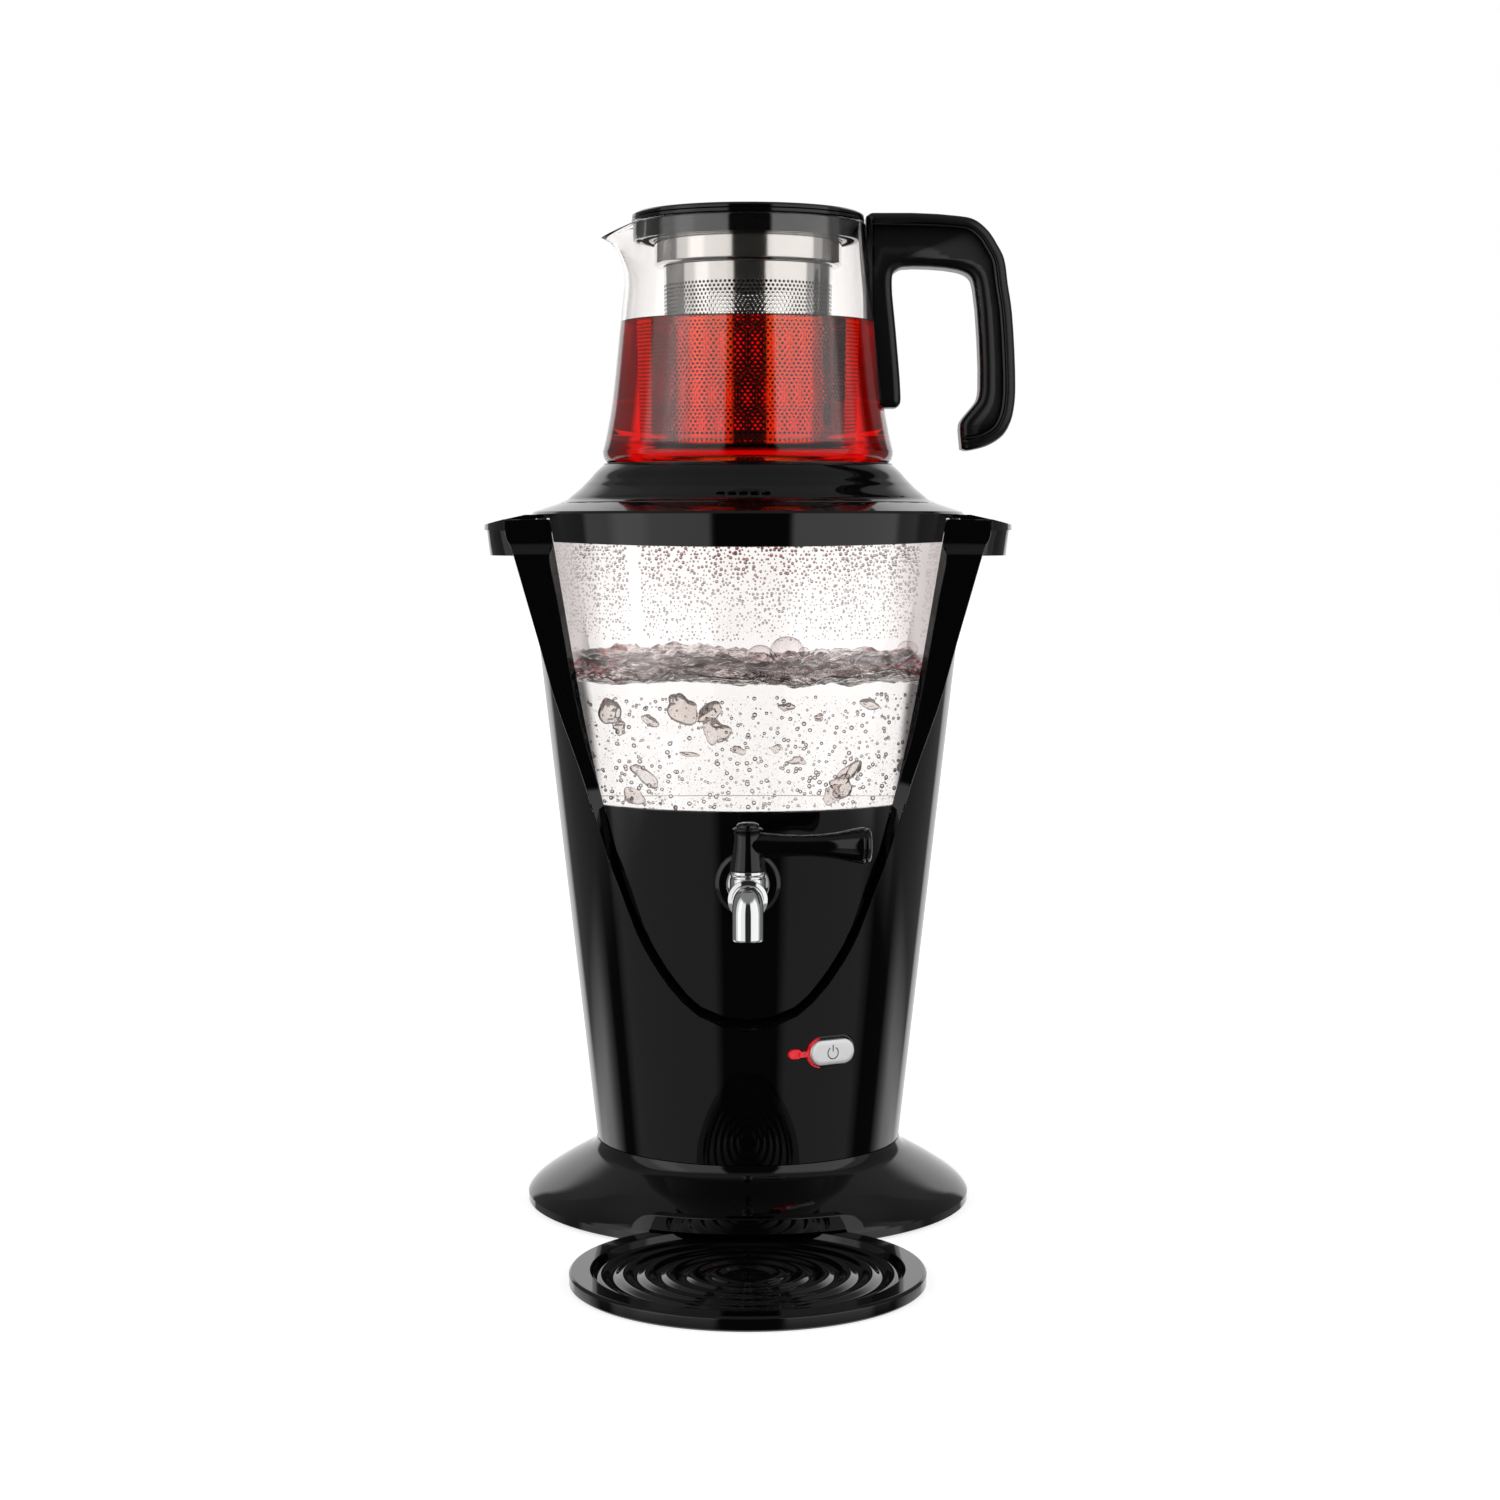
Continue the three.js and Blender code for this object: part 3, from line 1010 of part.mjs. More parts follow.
// The infuser's steel ring, held in the collar, with the shoulder that carries the cup
function makeStrainerRing() {
  const corner = STRAINER_SHOULDER / 4;
  const inside = STRAINER_TOP_RADIUS - STEEL_WALL;
  return turned([
    [inside, STRAINER_RING_BOTTOM], [STRAINER_RING_RADIUS - corner, STRAINER_RING_BOTTOM],
    [STRAINER_RING_RADIUS, STRAINER_RING_BOTTOM + corner], [STRAINER_RING_RADIUS, POT_RIM_Z],
    [STRAINER_RING_RADIUS - STEEL_WALL, POT_RIM_Z],
    [STRAINER_RING_RADIUS - STEEL_WALL, STRAINER_RING_BOTTOM + corner],
    [STRAINER_RING_RADIUS - corner - STEEL_WALL, STRAINER_RING_BOTTOM + STEEL_WALL],
    [inside, STRAINER_RING_BOTTOM + STEEL_WALL]]);
}

// The perforated steel cup under the ring
function makeStrainerCup() {
  const top = STRAINER_RING_BOTTOM - FIT_GAP;
  return turned([
    [0, STRAINER_BOTTOM], [STRAINER_BOTTOM_RADIUS, STRAINER_BOTTOM], [STRAINER_TOP_RADIUS, top],
    [STRAINER_TOP_RADIUS - STEEL_WALL, top],
    [STRAINER_BOTTOM_RADIUS - STEEL_WALL, STRAINER_BOTTOM + STEEL_WALL],
    [0, STRAINER_BOTTOM + STEEL_WALL]]);
}

function makePotLid() {
  const bottom = POT_LID_BOTTOM;
  const plug = POT_LID_PLUG_RADIUS;
  return turned([
    [0, bottom - POT_LID_EDGE], [plug - STEEL_WALL, bottom - POT_LID_EDGE],
    [plug - STEEL_WALL, bottom - POT_LID_PLUG_DEPTH], [plug + STEEL_WALL, bottom - POT_LID_PLUG_DEPTH],
    [plug + STEEL_WALL, bottom], [POT_LID_RADIUS, bottom],
    [POT_LID_RADIUS, POT_LID_TOP - POT_LID_EDGE], [POT_LID_RADIUS - POT_LID_EDGE, POT_LID_TOP],
    [0, POT_LID_TOP]]);
}

function makeDripTray() {
  const floor = TRAY_RADIUS - TRAY_RIM_WIDTH;
  const pitch = (floor - TRAY_LAST_RIDGE_INSET - TRAY_FIRST_RIDGE) / (TRAY_RIDGE_COUNT - 1);
  const outline = [[0, 0], [TRAY_RADIUS - TRAY_EDGE, 0], [TRAY_RADIUS, TRAY_EDGE],
    [TRAY_RADIUS, TRAY_HEIGHT - TRAY_EDGE], [TRAY_RADIUS - TRAY_EDGE, TRAY_HEIGHT],
    [floor, TRAY_HEIGHT], [floor - TRAY_EDGE, TRAY_FLOOR]];
  for (let i = TRAY_RIDGE_COUNT - 1; i >= 0; i--) {
    const middle = TRAY_FIRST_RIDGE + i * pitch;
    const half = pitch / 4;
    outline.push([middle + half, TRAY_FLOOR], [middle, TRAY_FLOOR + TRAY_RIDGE_HEIGHT],
      [middle - half, TRAY_FLOOR]);
  }
  outline.push([0, TRAY_FLOOR]);
  return turned(outline).translate([0, TRAY_CENTRE_Y, 0]);
}

// Where the tap's pieces stand in front of the panel
const PANEL_FACE = bodyRadius(TAP_AXIS_Z) - PANEL_DEPTH;
const PANEL_BACK = PANEL_FACE - PANEL_THICKNESS;
const VALVE_Y = PANEL_FACE + VALVE_FORWARD;
const SPOUT_Y = PANEL_FACE + SPOUT_FORWARD;
const ESCUTCHEON_FACE = PANEL_FACE + ESCUTCHEON_THICKNESS;
const HOSE_CENTRE = PANEL_BACK - SHANK_INSIDE - HOSE_BEND;

const alongFront = (outline, segments = SMALL_ROUND) =>
  laidAlong(turned(outline, segments), FRONTWARD, [0, 0, TAP_AXIS_Z]);

function makeEscutcheon() {
  const edge = ESCUTCHEON_THICKNESS / 4;
  const bore = SHANK_RADIUS + FIT_GAP;
  const start = PANEL_FACE - ESCUTCHEON_RADIUS / 2;
  const puck = alongFront([[bore, start], [ESCUTCHEON_RADIUS, start],
    [ESCUTCHEON_RADIUS, ESCUTCHEON_FACE - edge], [ESCUTCHEON_RADIUS - 2 * edge, ESCUTCHEON_FACE],
    [bore, ESCUTCHEON_FACE]], SMALL_ROUND * 2);
  return puck.subtract(parallelCone(PANEL_DEPTH - FIT_GAP, TAP_AXIS_Z - 2 * ESCUTCHEON_RADIUS,
    TAP_AXIS_Z + 2 * ESCUTCHEON_RADIUS));
}

function makeTapBody() {
  const flangeStart = ESCUTCHEON_FACE + FIT_GAP;
  const flangeEnd = flangeStart + BARREL_FLANGE_THICKNESS;
  const front = SPOUT_Y - SPOUT_COLLAR_BACK - FIT_GAP;
  const barrel = alongFront([
    [0, PANEL_BACK - SHANK_INSIDE], [SHANK_RADIUS, PANEL_BACK - SHANK_INSIDE],
    [SHANK_RADIUS, flangeStart], [BARREL_FLANGE_RADIUS, flangeStart],
    [BARREL_FLANGE_RADIUS, flangeStart + BARREL_FLANGE_THICKNESS / 3],
    [BARREL_RADIUS + BARREL_FILLET, flangeEnd], [BARREL_RADIUS, flangeEnd + BARREL_FILLET],
    [BARREL_RADIUS, VALVE_Y], [0, VALVE_Y]]);
  const round = VALVE_RADIUS / 3;
  const valve = turned([[0, VALVE_BOTTOM], [VALVE_RADIUS - round, VALVE_BOTTOM],
    [VALVE_RADIUS, VALVE_BOTTOM + round], [VALVE_RADIUS, VALVE_TOP], [0, VALVE_TOP]], SMALL_ROUND)
    .translate([0, -VALVE_Y, 0]);
  const stub = alongFront([[0, VALVE_Y], [STUB_RADIUS, VALVE_Y], [STUB_RADIUS, front], [0, front]])
    .translate([0, 0, SPOUT_AXIS_Z - TAP_AXIS_Z]);
  const bore = rod(VALVE_BORE + FIT_GAP, SPOUT_AXIS_Z - HOSE_BORE, VALVE_TOP + CUT_OVERRUN)
    .translate([0, -VALVE_Y, 0]);
  const waterIn = alongFront([[0, PANEL_BACK - SHANK_INSIDE - CUT_OVERRUN],
    [HOSE_BORE, PANEL_BACK - SHANK_INSIDE - CUT_OVERRUN], [HOSE_BORE, VALVE_Y], [0, VALVE_Y]],
  TINY_ROUND);
  const waterOut = alongFront([[0, VALVE_Y], [HOSE_BORE, VALVE_Y], [HOSE_BORE, front + CUT_OVERRUN],
    [0, front + CUT_OVERRUN]], TINY_ROUND).translate([0, 0, SPOUT_AXIS_Z - TAP_AXIS_Z]);
  return barrel.add(valve).add(stub).subtract(bore).subtract(waterIn).subtract(waterOut);
}

// The spout: a collar against the valve, a round elbow and a straight pipe down, bored through
function makeSpout() {
  const start = SPOUT_Y - SPOUT_COLLAR_BACK;
  const pipe = (radius, overrun) => {
    const across = laidAlong(rod(radius, start - overrun, SPOUT_Y), FRONTWARD, [0, 0, SPOUT_AXIS_Z]);
    const down = rod(radius, SPOUT_END_Z - overrun, SPOUT_AXIS_Z).translate([0, -SPOUT_Y, 0]);
    const ball = new THREE.SphereGeometry(radius, SMALL_ROUND, TINY_ROUND);
    ball.rotateX(Math.PI / 2);
    ball.translate(0, -SPOUT_Y, SPOUT_AXIS_Z);
    return across.add(down).add(toSolid(ball));
  };
  const collar = laidAlong(turned([[0, start], [SPOUT_COLLAR_RADIUS, start],
    [SPOUT_COLLAR_RADIUS, start + SPOUT_COLLAR_THICKNESS * 0.7],
    [SPOUT_PIPE_RADIUS, start + SPOUT_COLLAR_THICKNESS], [0, start + SPOUT_COLLAR_THICKNESS]],
  SMALL_ROUND), FRONTWARD, [0, 0, SPOUT_AXIS_Z]);
  return pipe(SPOUT_PIPE_RADIUS, 0).add(collar).subtract(pipe(SPOUT_BORE, CUT_OVERRUN));
}

// A six-sided nut behind the panel, its face cut to the panel's curve
function makeTapNut() {
  const face = PANEL_BACK + TAP_NUT_RADIUS / 4;
  const start = PANEL_BACK - FIT_GAP - TAP_NUT_THICKNESS;
  const nut = alongFront([[0, start], [TAP_NUT_RADIUS, start], [TAP_NUT_RADIUS, face], [0, face]], 6);
  const thread = alongFront([[0, start - CUT_OVERRUN], [SHANK_RADIUS + FIT_GAP, start - CUT_OVERRUN],
    [SHANK_RADIUS + FIT_GAP, face + CUT_OVERRUN], [0, face + CUT_OVERRUN]]);
  const room = parallelCone(PANEL_DEPTH + PANEL_THICKNESS + FIT_GAP, CUT_BOTTOM, PANEL_TOP);
  return nut.subtract(thread).intersect(room);
}

// Silicone hose from the heater plate's outlet down to the end of the tap's shank
function makeHose() {
  const top = HEATER_BOTTOM - HEATER_DISH_DEPTH - FIT_GAP;
  const end = PANEL_BACK - SHANK_INSIDE - FIT_GAP;
  const bendSteps = 5;
  const tube = (radius, overrun) => {
    const sections = [];
    const ringAt = (y, z, angle) => {
      const section = [];
      for (let k = 0; k < TINY_ROUND; k++) {
        const a = 2 * Math.PI * k / TINY_ROUND;
        const out = radius * Math.sin(a);
        section.push([radius * Math.cos(a), -(y + out * Math.cos(angle)), z + out * Math.sin(angle)]);
      }
      return section;
    };
    sections.push(ringAt(HOSE_CENTRE, top + overrun, 0));
    for (let i = 0; i <= bendSteps; i++) {
      const angle = Math.PI / 2 * i / bendSteps;
      sections.push(ringAt(HOSE_CENTRE + HOSE_BEND * (1 - Math.cos(angle)),
        TAP_AXIS_Z + HOSE_BEND - HOSE_BEND * Math.sin(angle), angle));
    }
    sections.push(ringAt(end + overrun, TAP_AXIS_Z, Math.PI / 2));
    return lofted(sections);
  };
  return tube(HOSE_RADIUS, 0).subtract(tube(HOSE_BORE, CUT_OVERRUN));
}

// The lever's hub and its trumpet-shaped arm
function makeLever() {
  const base = VALVE_TOP + FIT_GAP;
  const height = HUB_TOP - base;
  const hubShares = [[1, 0], [0.96, 0.1], [0.86, 0.3], [0.82, 0.5], [0.84, 0.7], [0.88, 0.8],
    [0.82, 0.83], [0.88, 0.87], [0.72, 0.93], [0.45, 0.98]];
  const hub = turned([[0, base], ...hubShares.map(([r, up]) => [r * HUB_BASE_RADIUS, base + up * height]),
    [0, HUB_TOP]], SMALL_ROUND).translate([0, -VALVE_Y, 0]);
  const spread = LEVER_END_RADIUS - LEVER_WAIST_RADIUS;
  const armShares = [[0.2, 0.2], [0.35, 0], [0.55, 0.04], [0.7, 0.22], [0.82, 0.52], [0.92, 0.86],
    [0.955, 1], [0.985, 0.8], [0.995, 0.3]];
  const arm = laidAlong(turned([[0, 0], [LEVER_ROOT_RADIUS, 0],
    ...armShares.map(([along, out]) => [LEVER_WAIST_RADIUS + out * spread, along * LEVER_REACH]),
    [0, LEVER_REACH]], SMALL_ROUND), [1, 0, 0], [0, -VALVE_Y, LEVER_AXIS_Z]);
  return hub.add(arm);
}

function makeTapPlug() {
  return rod(VALVE_BORE, VALVE_TOP - PLUG_STEM_DEPTH, VALVE_TOP, TINY_ROUND)
    .translate([0, -VALVE_Y, 0]);
}

function makeGland() {
  const wall = bodyRadius(GLAND_Z);
  const flange = turned([[GLAND_BORE, wall - GLAND_LENGTH], [GLAND_RADIUS, wall - GLAND_LENGTH],
    [GLAND_RADIUS, wall + GLAND_FLANGE_THICKNESS - FIT_GAP], [GLAND_RADIUS, wall + GLAND_FLANGE_THICKNESS],
    [GLAND_BORE, wall + GLAND_FLANGE_THICKNESS]], SMALL_ROUND);
  const plate = turned([[GLAND_BORE, wall - BODY_WALL], [GLAND_FLANGE_RADIUS, wall - BODY_WALL],
    [GLAND_FLANGE_RADIUS, wall + GLAND_FLANGE_THICKNESS],
    [GLAND_BORE, wall + GLAND_FLANGE_THICKNESS]], SMALL_ROUND);
  const laid = (solid) => laidAlong(solid, [0, 1, 0], [0, 0, GLAND_Z]);
  const outsideOnly = laid(plate).subtract(parallelCone(-FIT_GAP, BODY_BOTTOM, 2 * GLAND_Z));
  return laid(flange).add(outsideOnly);
}

function makeBlock(width, depth, height, x, y, z) {
  const geometry = new THREE.BoxGeometry(width, depth, height);
  geometry.translate(x, y, z + height / 2);
  return toSolid(geometry);
}

function makeButton() {
  const face = bodyRadius(BUTTON_Z) + BUTTON_PROUD;
  const outline = stadium(BUTTON_WIDTH - 2 * FIT_GAP, BUTTON_HEIGHT - 2 * FIT_GAP);
  const geometry = new THREE.ExtrudeGeometry(outline,
    { depth: BUTTON_DEPTH - FIT_GAP, bevelEnabled: true, bevelThickness: FIT_GAP, bevelSize: FIT_GAP,
      bevelSegments: 1, curveSegments: TINY_ROUND });
  geometry.translate(0, 0, face - BUTTON_DEPTH);
  geometry.rotateX(Math.PI / 2);
  geometry.rotateZ(THREE.MathUtils.degToRad(BUTTON_AZIMUTH));
  geometry.translate(0, 0, BUTTON_Z);
  return toSolid(geometry);
}

// The switch's case sits against the inside of the housing and leaves room for the button's travel
function makeSwitchBody() {
  const face = bodyRadius(BUTTON_Z);
  const floor = face + BUTTON_PROUD - BUTTON_DEPTH - BUTTON_TRAVEL - 2 * FIT_GAP;
  const body = radialBar(BUTTON_AZIMUTH, BUTTON_WIDTH + 2 * SWITCH_MARGIN,
    BUTTON_HEIGHT + 2 * SWITCH_MARGIN, floor - SWITCH_DEPTH, face);
  const room = radialBar(BUTTON_AZIMUTH, BUTTON_WIDTH + 2 * FIT_GAP, BUTTON_HEIGHT + 2 * FIT_GAP,
    floor, face + CUT_OVERRUN);
  return body.intersect(parallelCone(BODY_WALL + FIT_GAP, BODY_BOTTOM, 2 * BUTTON_Z)).subtract(room);
}

// Root body
addSolid('foot', makeFoot(), GLOSS_BLACK);
addSolid('base_plate', makeBasePlate(), INNER_PLASTIC);
rubberFootPlaces().forEach(([x, y], i) => {
  addSolid(`rubber_foot_${i + 1}`,
    rod(RUBBER_FOOT_RADIUS, 0, STAND_GAP + RUBBER_FOOT_RECESS).translate([x, y, 0]), RUBBER);
});
screwPlaces().forEach(([x, y], i) => {
  const head = rod(BASE_SCREW_HEAD_RADIUS, STAND_GAP, STAND_GAP + SCREW_HEAD_THICKNESS, TINY_ROUND);
  const shank = rod(BASE_SCREW_SHANK_RADIUS, STAND_GAP, STAND_GAP + BASE_SCREW_LENGTH, TINY_ROUND);
  addSolid(`base_screw_${i + 1}`, head.add(shank).translate([x, y, 0]), STEEL);
});
addSolid('housing', makeHousing(), GLOSS_BLACK);
const frontTrim = windowTrim(0);
addSolid('front_window_trim', frontTrim, GLOSS_BLACK);
addSolid('rear_window_trim', mirrorY(frontTrim), GLOSS_BLACK);
const rightHandle = makeSideHandle();
addSolid('side_handle_right', rightHandle, GLOSS_BLACK);
addSolid('side_handle_left', mirrorX(rightHandle), GLOSS_BLACK);
const panel = makePanel();
const shankHole = alongFront([[0, 0], [SHANK_RADIUS + FIT_GAP, 0],
  [SHANK_RADIUS + FIT_GAP, PANEL_FACE + CUT_OVERRUN], [0, PANEL_FACE + CUT_OVERRUN]]);
addSolid('front_panel', panel.subtract(shankHole), GLOSS_BLACK);
addSolid('rear_panel', mirrorY(panel), GLOSS_BLACK);
addSolid('upper_ring', makeRing(), GLOSS_BLACK);
addSolid('tank_glass', makeTank(), CLEAR_GLASS);
addSolid('tank_seal', makeTankSeal(), SILICONE);
addSolid('heater_plate', makeHeaterPlate(), STEEL);
addSolid('heating_element', makeElement(), STEEL);
addSolid('thermostat', rod(THERMOSTAT_RADIUS,
  HEATER_BOTTOM - HEATER_DISH_DEPTH - FIT_GAP - THERMOSTAT_HEIGHT,
  HEATER_BOTTOM - HEATER_DISH_DEPTH - FIT_GAP), SATIN_BLACK);
addSolid('inner_chassis', makeChassis(), INNER_PLASTIC);
addSolid('tap_escutcheon', makeEscutcheon(), SATIN_BLACK);
addSolid('tap_body', makeTapBody(), CHROME);
addSolid('tap_spout', makeSpout(), CHROME);
addSolid('tap_nut', makeTapNut(), STEEL);
addSolid('tap_hose', makeHose(), SILICONE);
addSolid('switch_body', makeSwitchBody(), SATIN_BLACK);
addSolid('indicator_lens', radialBar(LENS_AZIMUTH, LENS_WIDTH, LENS_HEIGHT,
  bodyRadius(BUTTON_Z) + LENS_PROUD - LENS_DEPTH, bodyRadius(BUTTON_Z) + LENS_PROUD), RED_LENS);
addSolid('cord_gland', makeGland(), SATIN_BLACK);
addSolid('terminal_block', makeBlock(TERMINAL_WIDTH, TERMINAL_DEPTH, TERMINAL_HEIGHT,
  0, CHASSIS_RADIUS / 2, BASE_TOP + FIT_GAP), INNER_PLASTIC);

// Lid of the tank
addSolid('tank_lid', makeTankLid(), GLOSS_BLACK);

// Teapot
addSolid('teapot_glass', makePotGlass(), CLEAR_GLASS);
addSolid('teapot_handle', makePotHandle(), SATIN_BLACK);

// Infuser
addSolid('infuser_collar', makeCollar(), SATIN_BLACK);
addSolid('strainer_ring', makeStrainerRing(), STEEL);
addSolid('strainer_cup', makeStrainerCup(), STEEL);
addSolid('teapot_lid', makePotLid(), GLOSS_BLACK);

// Turning lever of the tap, with the plug it turns
addSolid('tap_lever', makeLever(), SATIN_BLACK);
addSolid('tap_plug', makeTapPlug(), STEEL);

// Push button
addSolid('power_button', makeButton(), BUTTON_SILVER);

// Loose tray
addSolid('drip_tray', makeDripTray(), GLOSS_BLACK);

export default samovar;
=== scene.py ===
import math
import random

import bmesh
import bpy
from mathutils import Matrix, Vector, noise


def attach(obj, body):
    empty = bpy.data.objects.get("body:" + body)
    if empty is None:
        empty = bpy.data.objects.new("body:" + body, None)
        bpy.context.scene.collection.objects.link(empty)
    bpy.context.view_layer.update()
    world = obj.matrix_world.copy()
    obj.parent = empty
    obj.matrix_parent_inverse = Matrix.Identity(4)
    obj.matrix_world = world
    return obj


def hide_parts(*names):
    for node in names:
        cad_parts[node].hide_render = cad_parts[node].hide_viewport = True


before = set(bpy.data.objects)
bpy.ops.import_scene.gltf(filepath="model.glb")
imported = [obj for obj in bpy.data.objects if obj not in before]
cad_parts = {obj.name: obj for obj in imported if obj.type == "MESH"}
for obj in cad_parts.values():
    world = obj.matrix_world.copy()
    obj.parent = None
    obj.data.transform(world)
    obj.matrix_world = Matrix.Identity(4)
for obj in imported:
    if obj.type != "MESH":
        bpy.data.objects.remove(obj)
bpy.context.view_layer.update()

bl_info = {
    "name": "Electric samovar",
    "version": (1, 0, 0),
    "blender": (4, 5, 0),
    "location": "3D View > Sidebar > Samovar",
    "description": "Dresses the samovar's solids: moulded plastic, glass, steel, tea and boiling water",
    "category": "Object",
}

MM = 0.001

# All sizes are in millimetres unless they say otherwise
# Housing: every round wall is set in from this cone
BODY_BOTTOM = 31.0
BODY_BOTTOM_RADIUS = 72.9
BODY_TAPER = 0.113
TANK_DEPTH = 6.5
TANK_WALL = 3.0
TANK_BOTTOM = 192.0
TANK_TOP = 326.5
WATER_BOTTOM = 195.6

# Foot, the slot in it and the drip tray that goes in there
FOOT_RADIUS = 106.0
FOOT_TOP = 30.7
FOOT_EDGE = 4.8
FOOT_WALL = 2.8
FOOT_SLOPE_SHARES = ((0, 0), (0.0393, 0.0734), (0.1541, 0.2124), (0.4743, 0.4826),
                     (0.7795, 0.7027), (0.8882, 0.7838), (0.9366, 0.834), (0.9668, 0.8842),
                     (0.9879, 0.9382), (1, 1))
SLOT_RADIUS = 77.3
SLOT_TOP = 7.0
TRAY_Y = -157.7
TRAY_RADIUS = 76.7
TRAY_RIM = 10.0
TRAY_HEIGHT = 6.4
TRAY_FLOOR = 2.6

# Window frames and carrying ears
CUT_HALF_WIDTH = 108.0
CUT_BOTTOM = 94.9
CUT_TOP = 310.0
FRAME_TOP = 326.8
FRAME_DEPTH = 6.2
FRAME_EDGE_START = 207.0
FRAME_EDGE_LOW = 53.6
FRAME_EDGE_HIGH = 46.0
FRAME_ROUND = 0.4
EAR_ROOT = 100.0
EAR_REACH = 125.3
EAR_JOINT = 112.5
EAR_TIP_BOTTOM = 321.8
OUTER_SHARES = ((0, 0), (0.205, 0.03), (0.329, 0.089), (0.408, 0.143), (0.472, 0.203),
                (0.536, 0.286), (0.61, 0.38), (0.702, 0.521), (0.822, 0.69), (0.8935, 0.816), (1, 1))
INNER_SHARES = ((0, 0.0175), (0.2, 0.044), (0.308, 0.098), (0.38, 0.15), (0.442, 0.203),
                (0.511, 0.281), (0.567, 0.38), (0.642, 0.521), (0.714, 0.69), (0.759, 0.816),
                (0.822, 1))

# Tank lid
LID_BOTTOM_RADIUS = 89.1
LID_TOP_RADIUS = 68.6
LID_BOTTOM = 334.8
LID_TOP = 353.1

# Teapot
POT_BASE = 351.8
POT_BASE_RADIUS = 68.9
POT_RIM_RADIUS = 55.6
POT_RIM = 465.8
POT_WALL = 2.2
POT_FLOOR = 4.0
POT_CORNER = 7.0
POT_FOOT_RADIUS = 62.5
LIP_REACH = 14.5
LIP_DROP = 6.5
LIP_LENGTH = 32.0
LIP_HALF_ANGLE = math.radians(26.0)
HANDLE_LOW = 359.3
HANDLE_TOP = 470.4
HANDLE_REACH = 126.29
HANDLE_HALF_WIDTH = 10.5
HANDLE_SHARES = (
    (0, 0.985), (0.04, 1), (0.60, 0.988), (0.72, 0.972), (0.812, 0.925), (0.87, 0.87),
    (0.918, 0.81), (0.945, 0.7), (0.974, 0.58), (1, 0.267), (0.992, 0.185), (0.97, 0.123),
    (0.92, 0.065), (0.822, 0.022), (0.73, 0.005), (0.672, 0), (0.64, 0.006), (0.63, 0.111),
    (0.651, 0.137), (0.72, 0.19), (0.746, 0.215), (0.76, 0.267), (0.72, 0.682), (0.69, 0.733),
    (0.603, 0.759), (0.245, 0.771), (0.205, 0.76), (0.18, 0.745), (0.172, 0.7), (0.20, 0.5),
    (0.232, 0.25), (0.23, 0.2), (0.21, 0.183), (0.16, 0.18), (0.07, 0.18), (0, 0.18))

# Infuser and teapot lid
COLLAR_BOTTOM = 457.3
COLLAR_TOP = 467.7
RING_BOTTOM = 445.3
CUP_TOP = 445.0
CUP_BOTTOM_RADIUS = 38.5
CUP_FLARE = 1.4
CUP_WALL = 0.6
POT_LID_RADIUS = 54.8
POT_LID_TOP = 470.6

# Tap, measured forward from the housing's axis
TAP_Z = 163.0
PANEL_FACE = 84.22
VALVE_Y = 108.72
SPOUT_Y = 124.52
SPOUT_Z = 160.0
SPOUT_BACK = SPOUT_Y - 7.1
LEVER_BOTTOM = 172.1
LEVER_TOP = 193.4
LEVER_ARM_Z = 182.9
LEVER_REACH = 54.7

# Push button, at an angle in degrees from the front
BUTTON_AZIMUTH = 29.2
BUTTON_Z = 83.2
BUTTON_WIDTH = 24.0
BUTTON_HEIGHT = 12.4


def body_radius(z):
    """Radius of the housing's outer face at a height."""
    return BODY_BOTTOM_RADIUS + (z - BODY_BOTTOM) * BODY_TAPER


def tank_radius(z):
    """Outer radius of the glass tank at a height."""
    return body_radius(z) - TANK_DEPTH


def inside_tank(z):
    """Inner radius of the glass tank at a height."""
    return tank_radius(z) - TANK_WALL


# Settings


class SamovarSizes(bpy.types.PropertyGroup):
    """Sizes of the pieces that only the render has."""

    water_level: bpy.props.FloatProperty(
        name="Water level", description="Height of the boiling surface over the table",
        default=0.2615, min=0.2, max=0.31, unit="LENGTH")
    wave_height: bpy.props.FloatProperty(
        name="Wave height", description="Half the height of the boiling water's waves",
        default=0.0052, min=0.0, max=0.01, unit="LENGTH")
    churn_depth: bpy.props.FloatProperty(
        name="Churned layer", description="Depth of the churned water under the surface",
        default=0.006, min=0.001, max=0.03, unit="LENGTH")
    tea_level: bpy.props.FloatProperty(
        name="Tea level", description="Height of the tea in the teapot over the table",
        default=0.419, min=0.36, max=0.44, unit="LENGTH")
    bead_count: bpy.props.IntProperty(
        name="Beads", description="Condensation beads inside the front of the tank",
        default=2700, min=0, max=6000)
    bubble_count: bpy.props.IntProperty(
        name="Bubbles", description="Small bubbles that rise in the water",
        default=3600, min=0, max=6000)
    hole_pitch: bpy.props.FloatProperty(
        name="Hole pitch", description="Distance between the strainer's holes",
        default=0.0021, min=0.001, max=0.005, unit="LENGTH")
    edge_round: bpy.props.FloatProperty(
        name="Edge rounding", description="Rounding of the moulded edges",
        default=0.0006, min=0.0001, max=0.002, unit="LENGTH")


class SamovarColours(bpy.types.PropertyGroup):
    """Colours of the samovar's finishes."""

    gloss_black: bpy.props.StringProperty(
        name="Gloss black", description="Housing, ring, lids, foot and tray", default="#070708")
    satin_black: bpy.props.StringProperty(
        name="Satin black", description="Teapot handle", default="#0e0e0f")
    steel: bpy.props.StringProperty(
        name="Steel", description="Infuser and heater plate", default="#dad8d4")
    button: bpy.props.StringProperty(
        name="Button", description="Painted push button", default="#f6f6f7")
    lamp_red: bpy.props.StringProperty(
        name="Lamp red", description="Indicator beside the button", default="#e3122b")
    tea_strength: bpy.props.FloatProperty(
        name="Tea strength", description="How strongly the tea absorbs, per metre",
        default=110.0, min=0.0, max=500.0)


